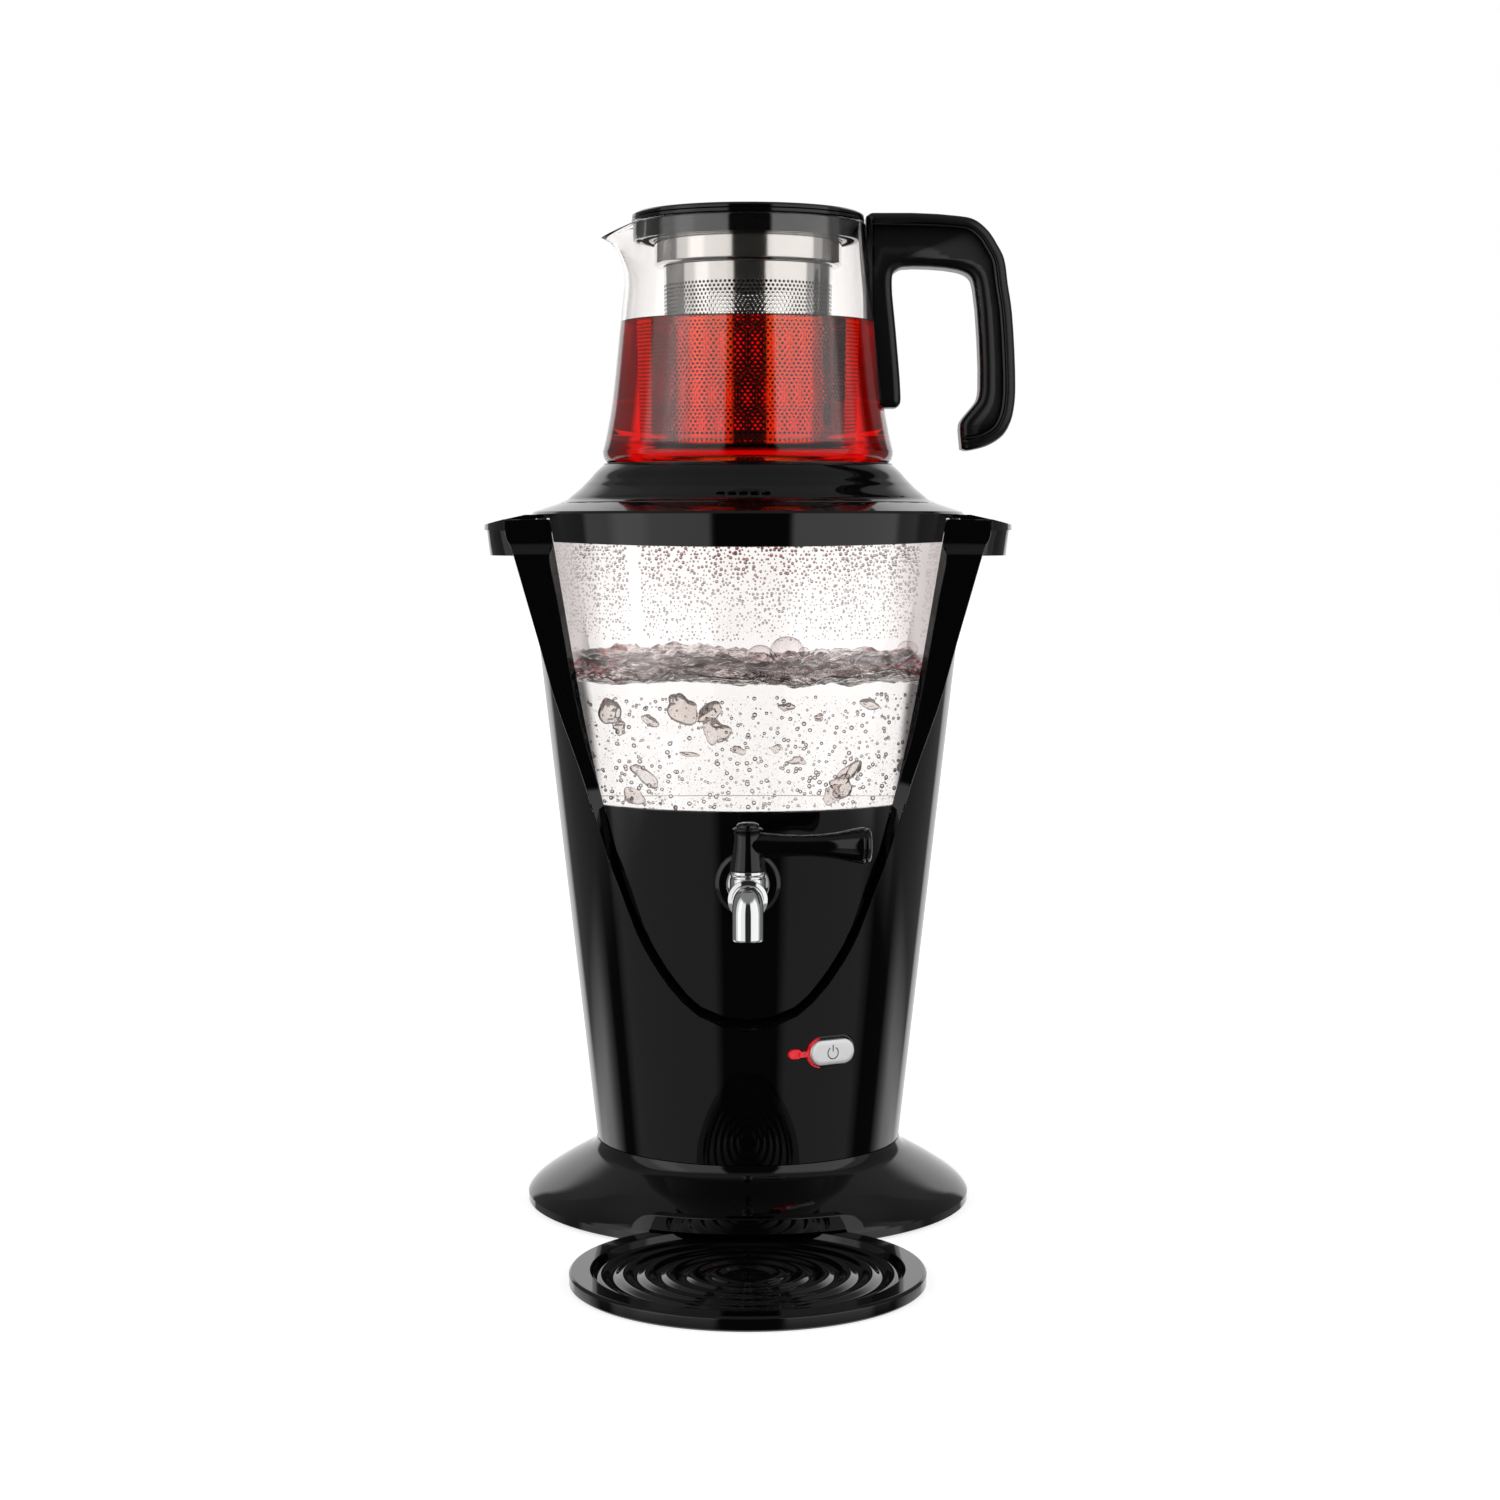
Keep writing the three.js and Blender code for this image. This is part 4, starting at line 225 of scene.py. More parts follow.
class SamovarLight(bpy.types.PropertyGroup):
    """Studio round the samovar."""

    backdrop: bpy.props.FloatProperty(
        name="Backdrop", description="Brightness of the white backdrop behind", default=1.0,
        min=0.0, max=3.0)
    softbox: bpy.props.FloatProperty(
        name="Softboxes", description="Brightness of the two large softboxes beside the camera",
        default=1.3, min=0.0, max=5.0)
    dark: bpy.props.FloatProperty(
        name="Dark studio", description="Brightness of the unlit studio between them",
        default=0.02, min=0.0, max=1.0)
    ceiling: bpy.props.FloatProperty(
        name="Ceiling", description="Brightness of the ceiling", default=0.22, min=0.0, max=2.0)


# Nodes and finishes


def linear(text):
    """sRGB hex text as linear red, green, blue and one."""
    channels = [int(text[i:i + 2], 16) / 255 for i in (1, 3, 5)]
    return tuple(
        c / 12.92 if c <= 0.04045 else ((c + 0.055) / 1.055) ** 2.4 for c in channels) + (1.0,)


def add_node(tree, kind, settings=None, links=None):
    """Add a node, set its properties and sockets by name, and link its inputs."""
    node = tree.nodes.new(kind)
    for key, value in (settings or {}).items():
        if isinstance(key, str) and hasattr(node, key):
            setattr(node, key, value)
        else:
            node.inputs[key].default_value = value
    for key, source in (links or {}).items():
        tree.links.new(source, node.inputs[key])
    return node


def set_or_link(tree, socket, value):
    """Give a socket a number or another node's output."""
    if isinstance(value, (int, float)):
        socket.default_value = value
    else:
        tree.links.new(value, socket)


def calculate(tree, operation, *values):
    """A math node's result; each value is a number or another node's output."""
    node = add_node(tree, "ShaderNodeMath", {"operation": operation})
    for socket, value in zip(node.inputs, values):
        set_or_link(tree, socket, value)
    return node.outputs[0]


def blend_numbers(tree, share, first, second):
    """From the first number to the second by a share; either may be a node's output."""
    both = add_node(tree, "ShaderNodeMix", {"data_type": "FLOAT"}, {0: share})
    set_or_link(tree, both.inputs[2], first)
    set_or_link(tree, both.inputs[3], second)
    return both.outputs[0]


def ring_of_light(tree, turn, stops):
    """Brightness round the studio from pairs of an angle in degrees and a strength."""
    ramp = add_node(tree, "ShaderNodeValToRGB", {}, {0: turn})
    most = max(strength for _, strength in stops)
    marks = ramp.color_ramp.elements
    while len(marks) < len(stops):
        marks.new(0.5)
    for mark, (angle, strength) in zip(marks, stops):
        mark.position = (angle + 180) / 360
        mark.color = (strength / most, strength / most, strength / most, 1.0)
    return calculate(tree, "MULTIPLY", ramp.outputs["Color"], most)


def new_finish(name):
    """A material with an empty tree and its output node."""
    material = bpy.data.materials.new(name)
    material.use_nodes = True
    tree = material.node_tree
    tree.nodes.clear()
    return material, tree, add_node(tree, "ShaderNodeOutputMaterial")


def place_in_mm(tree):
    """The point on the object, in millimetres of the part's own frame."""
    where = add_node(tree, "ShaderNodeTexCoord")
    return add_node(tree, "ShaderNodeVectorMath", {"operation": "SCALE", "Scale": 1000.0},
                    {0: where.outputs["Object"]}).outputs[0]


def moulded_skin(tree, bsdf, grain_mm, depth_mm, roughness, spread):
    """Uneven gloss and a fine relief, both at a grain size in millimetres."""
    point = place_in_mm(tree)
    grain = add_node(tree, "ShaderNodeTexNoise", {"Scale": 1.0 / grain_mm, "Detail": 3.0},
                     {"Vector": point})
    cloud = add_node(tree, "ShaderNodeTexNoise", {"Scale": 1.0 / (12 * grain_mm), "Detail": 2.0},
                     {"Vector": point})
    gloss = add_node(tree, "ShaderNodeMapRange",
                     {"To Min": roughness - spread, "To Max": roughness + spread},
                     {"Value": cloud.outputs["Fac"]})
    relief = add_node(tree, "ShaderNodeBump", {"Strength": 1.0, "Distance": depth_mm * MM},
                      {"Height": grain.outputs["Fac"]})
    tree.links.new(gloss.outputs["Result"], bsdf.inputs["Roughness"])
    tree.links.new(relief.outputs["Normal"], bsdf.inputs["Normal"])


def gloss_moulded_abs(colour):
    """ABS from a polished mould: deep black with a mirror gloss and a barely uneven skin."""
    material, tree, output = new_finish("Gloss moulded ABS")
    bsdf = add_node(tree, "ShaderNodeBsdfPrincipled",
                    {"Base Color": linear(colour), "IOR": 1.53, "Specular IOR Level": 0.5})
    moulded_skin(tree, bsdf, 6.0, 0.002, 0.05, 0.015)
    tree.links.new(bsdf.outputs[0], output.inputs["Surface"])
    return material


def fine_grained_polypropylene(colour):
    """Polypropylene from a spark-eroded mould: a soft sheen that spreads each highlight."""
    material, tree, output = new_finish("Fine-grained polypropylene")
    bsdf = add_node(tree, "ShaderNodeBsdfPrincipled", {"Base Color": linear(colour), "IOR": 1.49})
    # The real grain is near 0.2 mm; drawn at 0.5 mm so that it shows
    moulded_skin(tree, bsdf, 0.5, 0.006, 0.3, 0.04)
    tree.links.new(bsdf.outputs[0], output.inputs["Surface"])
    return material


def blown_borosilicate_glass():
    """Blown borosilicate: clear and colourless, with a faint unevenness from blowing."""
    material, tree, output = new_finish("Blown borosilicate glass")
    bsdf = add_node(tree, "ShaderNodeBsdfPrincipled",
                    {"Base Color": linear("#fffdfc"), "Roughness": 0.0, "IOR": 1.47,
                     "Transmission Weight": 1.0, "Specular IOR Level": 0.22})
    wave = add_node(tree, "ShaderNodeTexNoise", {"Scale": 1.0 / 28.0, "Detail": 0.0},
                    {"Vector": place_in_mm(tree)})
    relief = add_node(tree, "ShaderNodeBump", {"Strength": 0.4, "Distance": 0.1 * MM},
                      {"Height": wave.outputs["Fac"]})
    tree.links.new(relief.outputs["Normal"], bsdf.inputs["Normal"])
    tree.links.new(bsdf.outputs[0], output.inputs["Surface"])
    return material


def clear_liquid(name, ior, tint):
    """Still water and the air in it: clear, seen by the light that it bends, with patches of a painted
    shade in the given tint.
    """
    material, tree, output = new_finish(name)
    bsdf = add_node(tree, "ShaderNodeBsdfPrincipled",
                    {"Roughness": 0.0, "IOR": ior, "Transmission Weight": 1.0})
    cloud = add_node(tree, "ShaderNodeTexNoise", {"Scale": 1.0 / 30.0, "Detail": 1.0},
                     {"Vector": place_in_mm(tree)})
    tone = add_node(tree, "ShaderNodeMix", {"data_type": "RGBA"}, {0: cloud.outputs["Fac"]})
    tone.inputs[6].default_value = linear(tint)
    tone.inputs[7].default_value = linear("#ffffff")
    tree.links.new(tone.outputs[2], bsdf.inputs["Base Color"])
    tree.links.new(bsdf.outputs[0], output.inputs["Surface"])
    return material


def churned_water():
    """Boiling water full of fine air: dark brown painted shade in its folds, and the tea's rose light
    painted towards the sides.
    """
    material, tree, output = new_finish("Churned boiling water, painted shade")
    point = place_in_mm(tree)
    axes = add_node(tree, "ShaderNodeSeparateXYZ", {}, {0: point})
    side = add_node(tree, "ShaderNodeMapRange", {"From Min": 55.0, "From Max": 80.0},
                    {"Value": calculate(tree, "ABSOLUTE", axes.outputs[0])})
    # Painted shade in the middle, turning to the tea's painted rose light towards the sides
    body = add_node(tree, "ShaderNodeMix", {"data_type": "RGBA"}, {0: side.outputs["Result"]})
    body.inputs[6].default_value = linear("#7a615d")
    body.inputs[7].default_value = linear("#cf4d55")
    # Folds are longer than high
    flat = add_node(tree, "ShaderNodeVectorMath",
                    {"operation": "MULTIPLY", 1: (0.16, 0.16, 0.42)}, {0: point})
    patch = add_node(tree, "ShaderNodeTexNoise", {"Scale": 1.0, "Detail": 4.0},
                     {"Vector": flat.outputs[0]})
    clear = add_node(tree, "ShaderNodeMapRange", {"From Min": 0.43, "From Max": 0.53},
                     {"Value": patch.outputs["Fac"]})
    tone = add_node(tree, "ShaderNodeMix", {"data_type": "RGBA"},
                    {0: clear.outputs["Result"], 6: body.outputs[2]})
    tone.inputs[7].default_value = linear("#fbf1ef")
    bsdf = add_node(tree, "ShaderNodeBsdfPrincipled",
                    {"Roughness": 0.0, "IOR": 1.33, "Transmission Weight": 1.0},
                    {"Base Color": tone.outputs[2]})
    ripple = add_node(tree, "ShaderNodeTexNoise", {"Scale": 1.4, "Detail": 3.0},
                      {"Vector": flat.outputs[0]})
    relief = add_node(tree, "ShaderNodeBump", {"Strength": 1.0, "Distance": 1.0 * MM},
                      {"Height": ripple.outputs["Fac"]})
    tree.links.new(relief.outputs["Normal"], bsdf.inputs["Normal"])
    tree.links.new(bsdf.outputs[0], output.inputs["Surface"])
    return material


def mist_on_glass():
    """Steam that has settled as droplets too fine to see: a thin white veil drawn as a painted glow,
    light that it emits in place of the backlight it would scatter.
    """
    material, tree, output = new_finish("Mist on glass, painted glow")
    point = place_in_mm(tree)
    axes = add_node(tree, "ShaderNodeSeparateXYZ", {}, {0: point})
    side = add_node(tree, "ShaderNodeMapRange",
                    {"From Min": 74.0, "From Max": 84.0, "To Min": 0.0, "To Max": 0.9},
                    {"Value": calculate(tree, "ABSOLUTE", axes.outputs[0])})
    cloud = add_node(tree, "ShaderNodeTexNoise", {"Scale": 1.0 / 16.0, "Detail": 3.0},
                     {"Vector": point})
    veil = add_node(tree, "ShaderNodeMapRange",
                    {"From Min": 0.4, "From Max": 0.75, "To Min": 0.02, "To Max": 0.14},
                    {"Value": cloud.outputs["Fac"]})
    cover = calculate(tree, "ADD", side.outputs["Result"], veil.outputs["Result"])
    # Painted glow: the veil emits light by itself, most towards the tank's sides
    glow = add_node(tree, "ShaderNodeEmission", {"Color": linear("#f1eaea"), "Strength": 0.9})
    clear = add_node(tree, "ShaderNodeBsdfTransparent")
    both = add_node(tree, "ShaderNodeMixShader")
    tree.links.new(cover, both.inputs[0])
    tree.links.new(clear.outputs[0], both.inputs[1])
    tree.links.new(glow.outputs[0], both.inputs[2])
    tree.links.new(both.outputs[0], output.inputs["Surface"])
    return material


def condensed_drops():
    """Drops that stand high on the glass: dark rims round a bright spot, with a painted grey shade that
    turns to the tea's painted rosy light high in the middle.
    """
    material, tree, output = new_finish("Condensed water")
    axes = add_node(tree, "ShaderNodeSeparateXYZ", {}, {0: place_in_mm(tree)})
    # Painted light: grey shade on the drops, rosy with the tea's light under the teapot
    inner = add_node(tree, "ShaderNodeMapRange", {"From Min": 60.0, "From Max": 30.0},
                     {"Value": calculate(tree, "ABSOLUTE", axes.outputs[0])})
    upper = add_node(tree, "ShaderNodeMapRange", {"From Min": 292.0, "From Max": 314.0},
                     {"Value": axes.outputs[2]})
    tone = add_node(tree, "ShaderNodeMix", {"data_type": "RGBA"},
                    {0: calculate(tree, "MULTIPLY", inner.outputs["Result"],
                                  upper.outputs["Result"])})
    tone.inputs[6].default_value = linear("#e6dedd")
    tone.inputs[7].default_value = linear("#cf8f8f")
    bsdf = add_node(tree, "ShaderNodeBsdfPrincipled",
                    {"Roughness": 0.0, "IOR": 1.33, "Transmission Weight": 1.0},
                    {"Base Color": tone.outputs[2]})
    tree.links.new(bsdf.outputs[0], output.inputs["Surface"])
    return material


def brewed_tea(strength):
    """Brewed black tea: clear at its surface, orange where thin and deep red where thick."""
    material, tree, output = new_finish("Brewed black tea")
    surface = add_node(tree, "ShaderNodeBsdfPrincipled",
                       {"Base Color": linear("#ffffff"), "Roughness": 0.0, "IOR": 1.33,
                        "Transmission Weight": 1.0, "Specular IOR Level": 0.1})
    inside = add_node(tree, "ShaderNodeVolumeAbsorption",
                      {"Color": (0.98, 0.42, 0.0, 1.0), "Density": strength})
    tree.links.new(surface.outputs[0], output.inputs["Surface"])
    tree.links.new(inside.outputs[0], output.inputs["Volume"])
    return material


def turned_steel(colour):
    """Stainless steel with fine lines round it: crisp bands of light with soft edges."""
    material, tree, output = new_finish("Turned stainless steel")
    # Turning lines are near 0.1 mm apart; drawn at 0.5 mm so that they show
    stretched = add_node(tree, "ShaderNodeVectorMath",
                         {"operation": "MULTIPLY", 1: (0.02, 0.02, 2.0)}, {0: place_in_mm(tree)})
    lines = add_node(tree, "ShaderNodeTexNoise", {"Scale": 1.0, "Detail": 3.0},
                     {"Vector": stretched.outputs[0]})
    gloss = add_node(tree, "ShaderNodeMapRange", {"To Min": 0.05, "To Max": 0.11},
                     {"Value": lines.outputs["Fac"]})
    relief = add_node(tree, "ShaderNodeBump", {"Strength": 0.3, "Distance": 0.002 * MM},
                      {"Height": lines.outputs["Fac"]})
    bsdf = add_node(tree, "ShaderNodeBsdfPrincipled",
                    {"Base Color": linear(colour), "Metallic": 1.0},
                    {"Roughness": gloss.outputs["Result"], "Normal": relief.outputs["Normal"]})
    tree.links.new(bsdf.outputs[0], output.inputs["Surface"])
    return material


def polished_chrome():
    """Chrome-plated brass: a mirror with hard black and white bands."""
    material, tree, output = new_finish("Chrome-plated brass")
    bsdf = add_node(tree, "ShaderNodeBsdfPrincipled",
                    {"Base Color": linear("#eceded"), "Metallic": 1.0})
    moulded_skin(tree, bsdf, 6.0, 0.001, 0.04, 0.01)
    tree.links.new(bsdf.outputs[0], output.inputs["Surface"])
    return material


def painted_button(colour):
    """ABS with a pearl silver paint: nearly white, with a soft gloss."""
    material, tree, output = new_finish("Silver-painted ABS")
    bsdf = add_node(tree, "ShaderNodeBsdfPrincipled",
                    {"Base Color": linear(colour), "Metallic": 0.6, "Coat Weight": 0.4,
                     "Coat Roughness": 0.1})
    moulded_skin(tree, bsdf, 0.4, 0.003, 0.32, 0.05)
    tree.links.new(bsdf.outputs[0], output.inputs["Surface"])
    return material


def lit_red_acrylic(colour):
    """Red acrylic in front of a small lamp: clear red that glows by itself."""
    material, tree, output = new_finish("Moulded red acrylic, lit")
    glow = add_node(tree, "ShaderNodeTexNoise", {"Scale": 0.5, "Detail": 1.0},
                    {"Vector": place_in_mm(tree)})
    strength = add_node(tree, "ShaderNodeMapRange", {"To Min": 0.1, "To Max": 0.6},
                        {"Value": glow.outputs["Fac"]})
    bsdf = add_node(tree, "ShaderNodeBsdfPrincipled",
                    {"Base Color": linear(colour), "Roughness": 0.08, "IOR": 1.49,
                     "Transmission Weight": 0.3, "Emission Color": linear(colour)},
                    {"Emission Strength": strength.outputs["Result"]})
    tree.links.new(bsdf.outputs[0], output.inputs["Surface"])
    return material


def plain_finish(name, colour, grain_mm, depth_mm, roughness, spread, **more):
    """Moulded or rolled material with an even colour and a fine skin."""
    material, tree, output = new_finish(name)
    bsdf = add_node(tree, "ShaderNodeBsdfPrincipled", {"Base Color": linear(colour), **more})
    moulded_skin(tree, bsdf, grain_mm, depth_mm, roughness, spread)
    tree.links.new(bsdf.outputs[0], output.inputs["Surface"])
    return material


# Finishes made so far, by slot name
FINISHES = {}


def finish(name):
    """One finish by its slot name, made when it is first asked for."""
    if name not in FINISHES:
        colours = bpy.context.scene.samovar_colours
        makers = {
            "gloss_black": lambda: gloss_moulded_abs(colours.gloss_black),
            "satin_black": lambda: fine_grained_polypropylene(colours.satin_black),
            "clear_glass": blown_borosilicate_glass,
            "chrome": polished_chrome,
            # Steel inside the cup, darkened as painted shade, so that the far wall shows dark through
            # the holes
            "shaded_inner_steel": lambda: plain_finish(
                "Stainless steel inside, painted shade", "#2b2a29", 0.6, 0.004, 0.46, 0.06,
                **{"Metallic": 1.0}),
            "steel": lambda: turned_steel(colours.steel),
            # Moulded rubber: matt and slightly dusty
            "rubber": lambda: plain_finish("Moulded rubber", "#1b1b1b", 0.8, 0.02, 0.8, 0.08),
            # Moulded silicone: milky white and matt
            "silicone": lambda: plain_finish(
                "Moulded silicone", "#d9d9d6", 1.0, 0.01, 0.6, 0.08, IOR=1.41),
            # Glass-filled nylon: dark grey and dry-looking
            "inner_plastic": lambda: plain_finish(
                "Glass-filled nylon", "#38383a", 0.7, 0.02, 0.55, 0.1),
            "button_silver": lambda: painted_button(colours.button),
            "red_lens": lambda: lit_red_acrylic(colours.lamp_red),
            # Boiling water: colourless, seen only where its surface bends the light
            "water": lambda: clear_liquid("Boiling water", 1.33, "#ffffff"),
            "churned": churned_water,
            "mist": mist_on_glass,
            # Air in water, at air's index over water's: small bubbles with dark rims and a faint
            # painted pink shade
            "bubble": lambda: clear_liquid("Air in water", 0.76, "#f2ecea"),
            # Steam in water with a softer step, so that large bubbles show a pale middle, and patches
            # of a painted brown-grey shade
            "torn_bubble": lambda: clear_liquid("Steam in water", 0.915, "#cbb8ad"),
            "bead": condensed_drops,
            # Film of a surface bubble: a faint outline and hardly any colour, only a faint painted pink
            # shade
            "film": lambda: clear_liquid("Film of water", 1.33, "#f3e9e8"),
            "tea": lambda: brewed_tea(colours.tea_strength),
            # Printed ink on the button: dark grey and matt
            "ink": lambda: plain_finish("Pad-printed ink", "#6b6b70", 0.4, 0.002, 0.5, 0.05),
        }
        FINISHES[name] = makers[name]()
    return FINISHES[name]


# Shapes, in millimetres


def smooth_line(points, steps):
    """A centripetal curve through the points, with steps between each two."""
    def extend(a, b):
        return tuple(2 * q - p for p, q in zip(b, a))

    ends = [extend(points[0], points[1]), *points, extend(points[-1], points[-2])]
    line = []
    for a, b, c, d in zip(ends, ends[1:], ends[2:], ends[3:]):
        times = [0.0]
        for p, q in ((a, b), (b, c), (c, d)):
            times.append(times[-1] + max(math.dist(p, q), 1e-6) ** 0.5)
        t0, t1, t2, t3 = times

        def between(p, q, start, stop, t):
            share = (t - start) / (stop - start)
            return tuple(m + (n - m) * share for m, n in zip(p, q))

        for i in range(steps):
            t = t1 + (t2 - t1) * i / steps
            ab, bc, cd = (between(a, b, t0, t1, t), between(b, c, t1, t2, t),
                          between(c, d, t2, t3, t))
            abc, bcd = between(ab, bc, t0, t2, t), between(bc, cd, t1, t3, t)
            line.append(between(abc, bcd, t1, t2, t))
    line.append(tuple(points[-1]))
    return line


def smooth_outline(points, steps, corner=math.radians(48)):
    """Curves through the points of an outline, with its sharp corners kept as corners."""
    parts, part = [], [points[0]]
    for before, here, after in zip(points, points[1:], points[2:]):
        part.append(here)
        back, on = Vector(here) - Vector(before), Vector(after) - Vector(here)
        if back.angle(on) > corner:
            parts.append(part)
            part = [here]
    part.append(points[-1])
    parts.append(part)
    line = []
    for part in parts:
        line += smooth_line(part, steps)[:-1] if len(part) > 2 else part[:-1]
    return [*line, tuple(points[-1])]


def rounded(points, radius, steps=3, closed=True):
    """The outline with each corner sharper than 20 degrees rounded."""
    result = []
    count = len(points)
    for i, here in enumerate(points):
        before, after = points[i - 1], points[(i + 1) % count]
        at = Vector(here)
        back, on = Vector(before) - at, Vector(after) - at
        end = not closed and i in (0, count - 1)
        if end or back.length < 1e-6 or on.length < 1e-6 or abs(here[0]) < 1e-6:
            result.append(tuple(here))
            continue
        turn = math.pi - back.angle(on)
        if turn < math.radians(20):
            result.append(tuple(here))
            continue
        reach = min(radius * math.tan(turn / 2), 0.45 * back.length, 0.45 * on.length)
        start, stop = at + back.normalized() * reach, at + on.normalized() * reach
        for k in range(steps + 1):
            t = k / steps
            point = start * (1 - t) ** 2 + at * 2 * t * (1 - t) + stop * t * t
            result.append(tuple(point))
    return result


def lathe(outline, segments=128, closed=True):
    """Turn an outline of radius and height about Z."""
    vertices, rings = [], []
    for radius, height in outline:
        if abs(radius) < 1e-6:
            rings.append([len(vertices)])
            vertices.append((0.0, 0.0, height))
            continue
        rings.append(list(range(len(vertices), len(vertices) + segments)))
        for k in range(segments):
            angle = math.tau * (k + 0.5) / segments
            vertices.append((radius * math.cos(angle), radius * math.sin(angle), height))
    faces = []
    pairs = list(zip(rings, rings[1:]))
    if closed:
        pairs.append((rings[-1], rings[0]))
    for low, high in pairs:
        for k in range(segments):
            n = (k + 1) % segments
            corners = [low[k % len(low)], low[n % len(low)], high[n % len(high)], high[k % len(high)]]
            corners = list(dict.fromkeys(corners))
            if len(corners) > 2:
                faces.append(corners)
    return vertices, faces


def moved(shape, matrix):
    """The shape through a matrix whose shifts are in millimetres."""
    vertices, faces = shape
    return [tuple(matrix @ Vector(v)) for v in vertices], faces


def joined(shapes):
    """Several shapes as one."""
    vertices, faces = [], []
    for more_vertices, more_faces in shapes:
        start = len(vertices)
        vertices.extend(more_vertices)
        faces.extend([[start + i for i in face] for face in more_faces])
    return vertices, faces


def ring_faces(starts, count):
    """Faces between rings of points, each ring given by the place of its first point."""
    return [[low + k, low + (k + 1) % count, high + (k + 1) % count, high + k]
            for low, high in zip(starts, starts[1:]) for k in range(count)]


def swept(sections):
    """A closed body through its cross sections."""
    count = len(sections[0])
    vertices = [point for section in sections for point in section]
    faces = [list(range(count)), [len(vertices) - 1 - k for k in range(count)]]
    return vertices, faces + ring_faces(range(0, len(vertices), count), count)


def pole_faces(rings, count):
    """Faces over a first point, rings of points and a last point."""
    last = 1 + rings * count
    faces = [[0, 1 + (k + 1) % count, 1 + k] for k in range(count)]
    faces += ring_faces(range(1, last, count), count)
    faces += [[last - count + k, last - count + (k + 1) % count, last] for k in range(count)]
    return faces


def prism(outline, low, high):
    """An outline of X and Y raised between two heights."""
    count = len(outline)
    vertices = [(x, y, low) for x, y in outline] + [(x, y, high) for x, y in outline]
    faces = [list(range(count))[::-1], list(range(count, 2 * count))]
    return vertices, faces + ring_faces((0, count), count)


def stadium(width, height, steps=16):
    """Outline of a slot with round ends."""
    radius = height / 2
    reach = width / 2 - radius
    return [((reach if math.cos(a) > 0 else -reach) + radius * math.cos(a), radius * math.sin(a))
            for a in (math.tau * (k + 0.5) / (4 * steps) for k in range(4 * steps))]


def join_and_turn_outward(mesh):
    """Merge the points that meet and turn every face outward."""
    form = bmesh.new()
    form.from_mesh(mesh)
    bmesh.ops.remove_doubles(form, verts=form.verts, dist=1e-6)
    bmesh.ops.recalc_face_normals(form, faces=form.faces)
    form.to_mesh(mesh)
    form.free()


def to_mesh(name, shape):
    """A mesh in metres from a shape in millimetres, with its faces turned outward."""
    mesh = bpy.data.meshes.new(name)
    vertices, faces = shape
    mesh.from_pydata([(x * MM, y * MM, z * MM) for x, y, z in vertices], [], faces)
    join_and_turn_outward(mesh)
    return mesh


def soften(mesh, width, sharp=math.radians(38)):
    """Merge flat faces and round the sharp edges of a solid copied from the part."""
    form = bmesh.new()
    form.from_mesh(mesh)
    bmesh.ops.remove_doubles(form, verts=form.verts, dist=1e-5)
    bmesh.ops.dissolve_limit(form, angle_limit=math.radians(0.4), verts=form.verts,
                             edges=form.edges)
    edges = [e for e in form.edges if len(e.link_faces) == 2 and e.calc_face_angle() > sharp]
    bmesh.ops.bevel(form, geom=edges, offset=width, offset_type="OFFSET", segments=2,
                    profile=0.5, affect="EDGES", clamp_overlap=True)
    bmesh.ops.recalc_face_normals(form, faces=form.faces)
    form.to_mesh(mesh)
    form.free()


def turned_normals(mesh, limit=math.radians(18)):
    """Shade faces that lie on a round wall about Z as that wall, and the rest by angle."""
    mesh.update()
    on_wall, slope = [], []
    for face in mesh.polygons:
        out = Vector((face.center.x, face.center.y, 0.0))
        if out.length > 1e-6:
            out.normalize()
        along = face.normal.dot(out)
        sideways = face.normal.dot(Vector((-out.y, out.x, 0.0)))
        on_wall.append(abs(sideways) < 0.12)
        slope.append(Vector((along, face.normal.z)).normalized())
    around = [[] for _ in mesh.vertices]
    for face in mesh.polygons:
        for v in face.vertices:
            around[v].append(face.index)
    close = math.cos(limit)
    normals = [None] * len(mesh.loops)
    faces = mesh.polygons
    for face in faces:
        for loop_index in face.loop_indices:
            vertex = mesh.loops[loop_index].vertex_index
            if on_wall[face.index]:
                mean = Vector((0.0, 0.0))
                for other in around[vertex]:
                    if on_wall[other] and slope[other].dot(slope[face.index]) > close:
                        mean += slope[other] * faces[other].area
                mean.normalize()
                out = Vector((mesh.vertices[vertex].co.x, mesh.vertices[vertex].co.y, 0.0))
                out.normalize()
                normal = Vector((out.x * mean.x, out.y * mean.x, mean.y))
            else:
                normal = Vector((0.0, 0.0, 0.0))
                for other in around[vertex]:
                    if faces[other].normal.dot(face.normal) > close:
                        normal += faces[other].normal * faces[other].area
            normals[loop_index] = normal.normalized()
    mesh.normals_split_custom_set(normals)


def place(name, mesh, finish_name, body, stands_for=(), turned=False, sharp=34.0):
    """Put a finished mesh in the scene, riding on its body and standing for its solids."""
    mesh.polygons.foreach_set("use_smooth", [True] * len(mesh.polygons))
    mesh.materials.clear()
    mesh.materials.append(finish(finish_name))
    piece = bpy.data.objects.new(name, mesh)
    bpy.context.scene.collection.objects.link(piece)
    if turned:
        turned_normals(mesh)
    else:
        mesh.set_sharp_from_angle(angle=math.radians(sharp))
        weigh = piece.modifiers.new("Weighted normals", "WEIGHTED_NORMAL")
        weigh.keep_sharp = True
    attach(piece, body)
    if stands_for:
        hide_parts(*stands_for)
    return piece


def solid_copy(node, width):
    """A copy of a solid's mesh with its sharp edges rounded."""
    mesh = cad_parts[node].data.copy()
    soften(mesh, width)
    return mesh


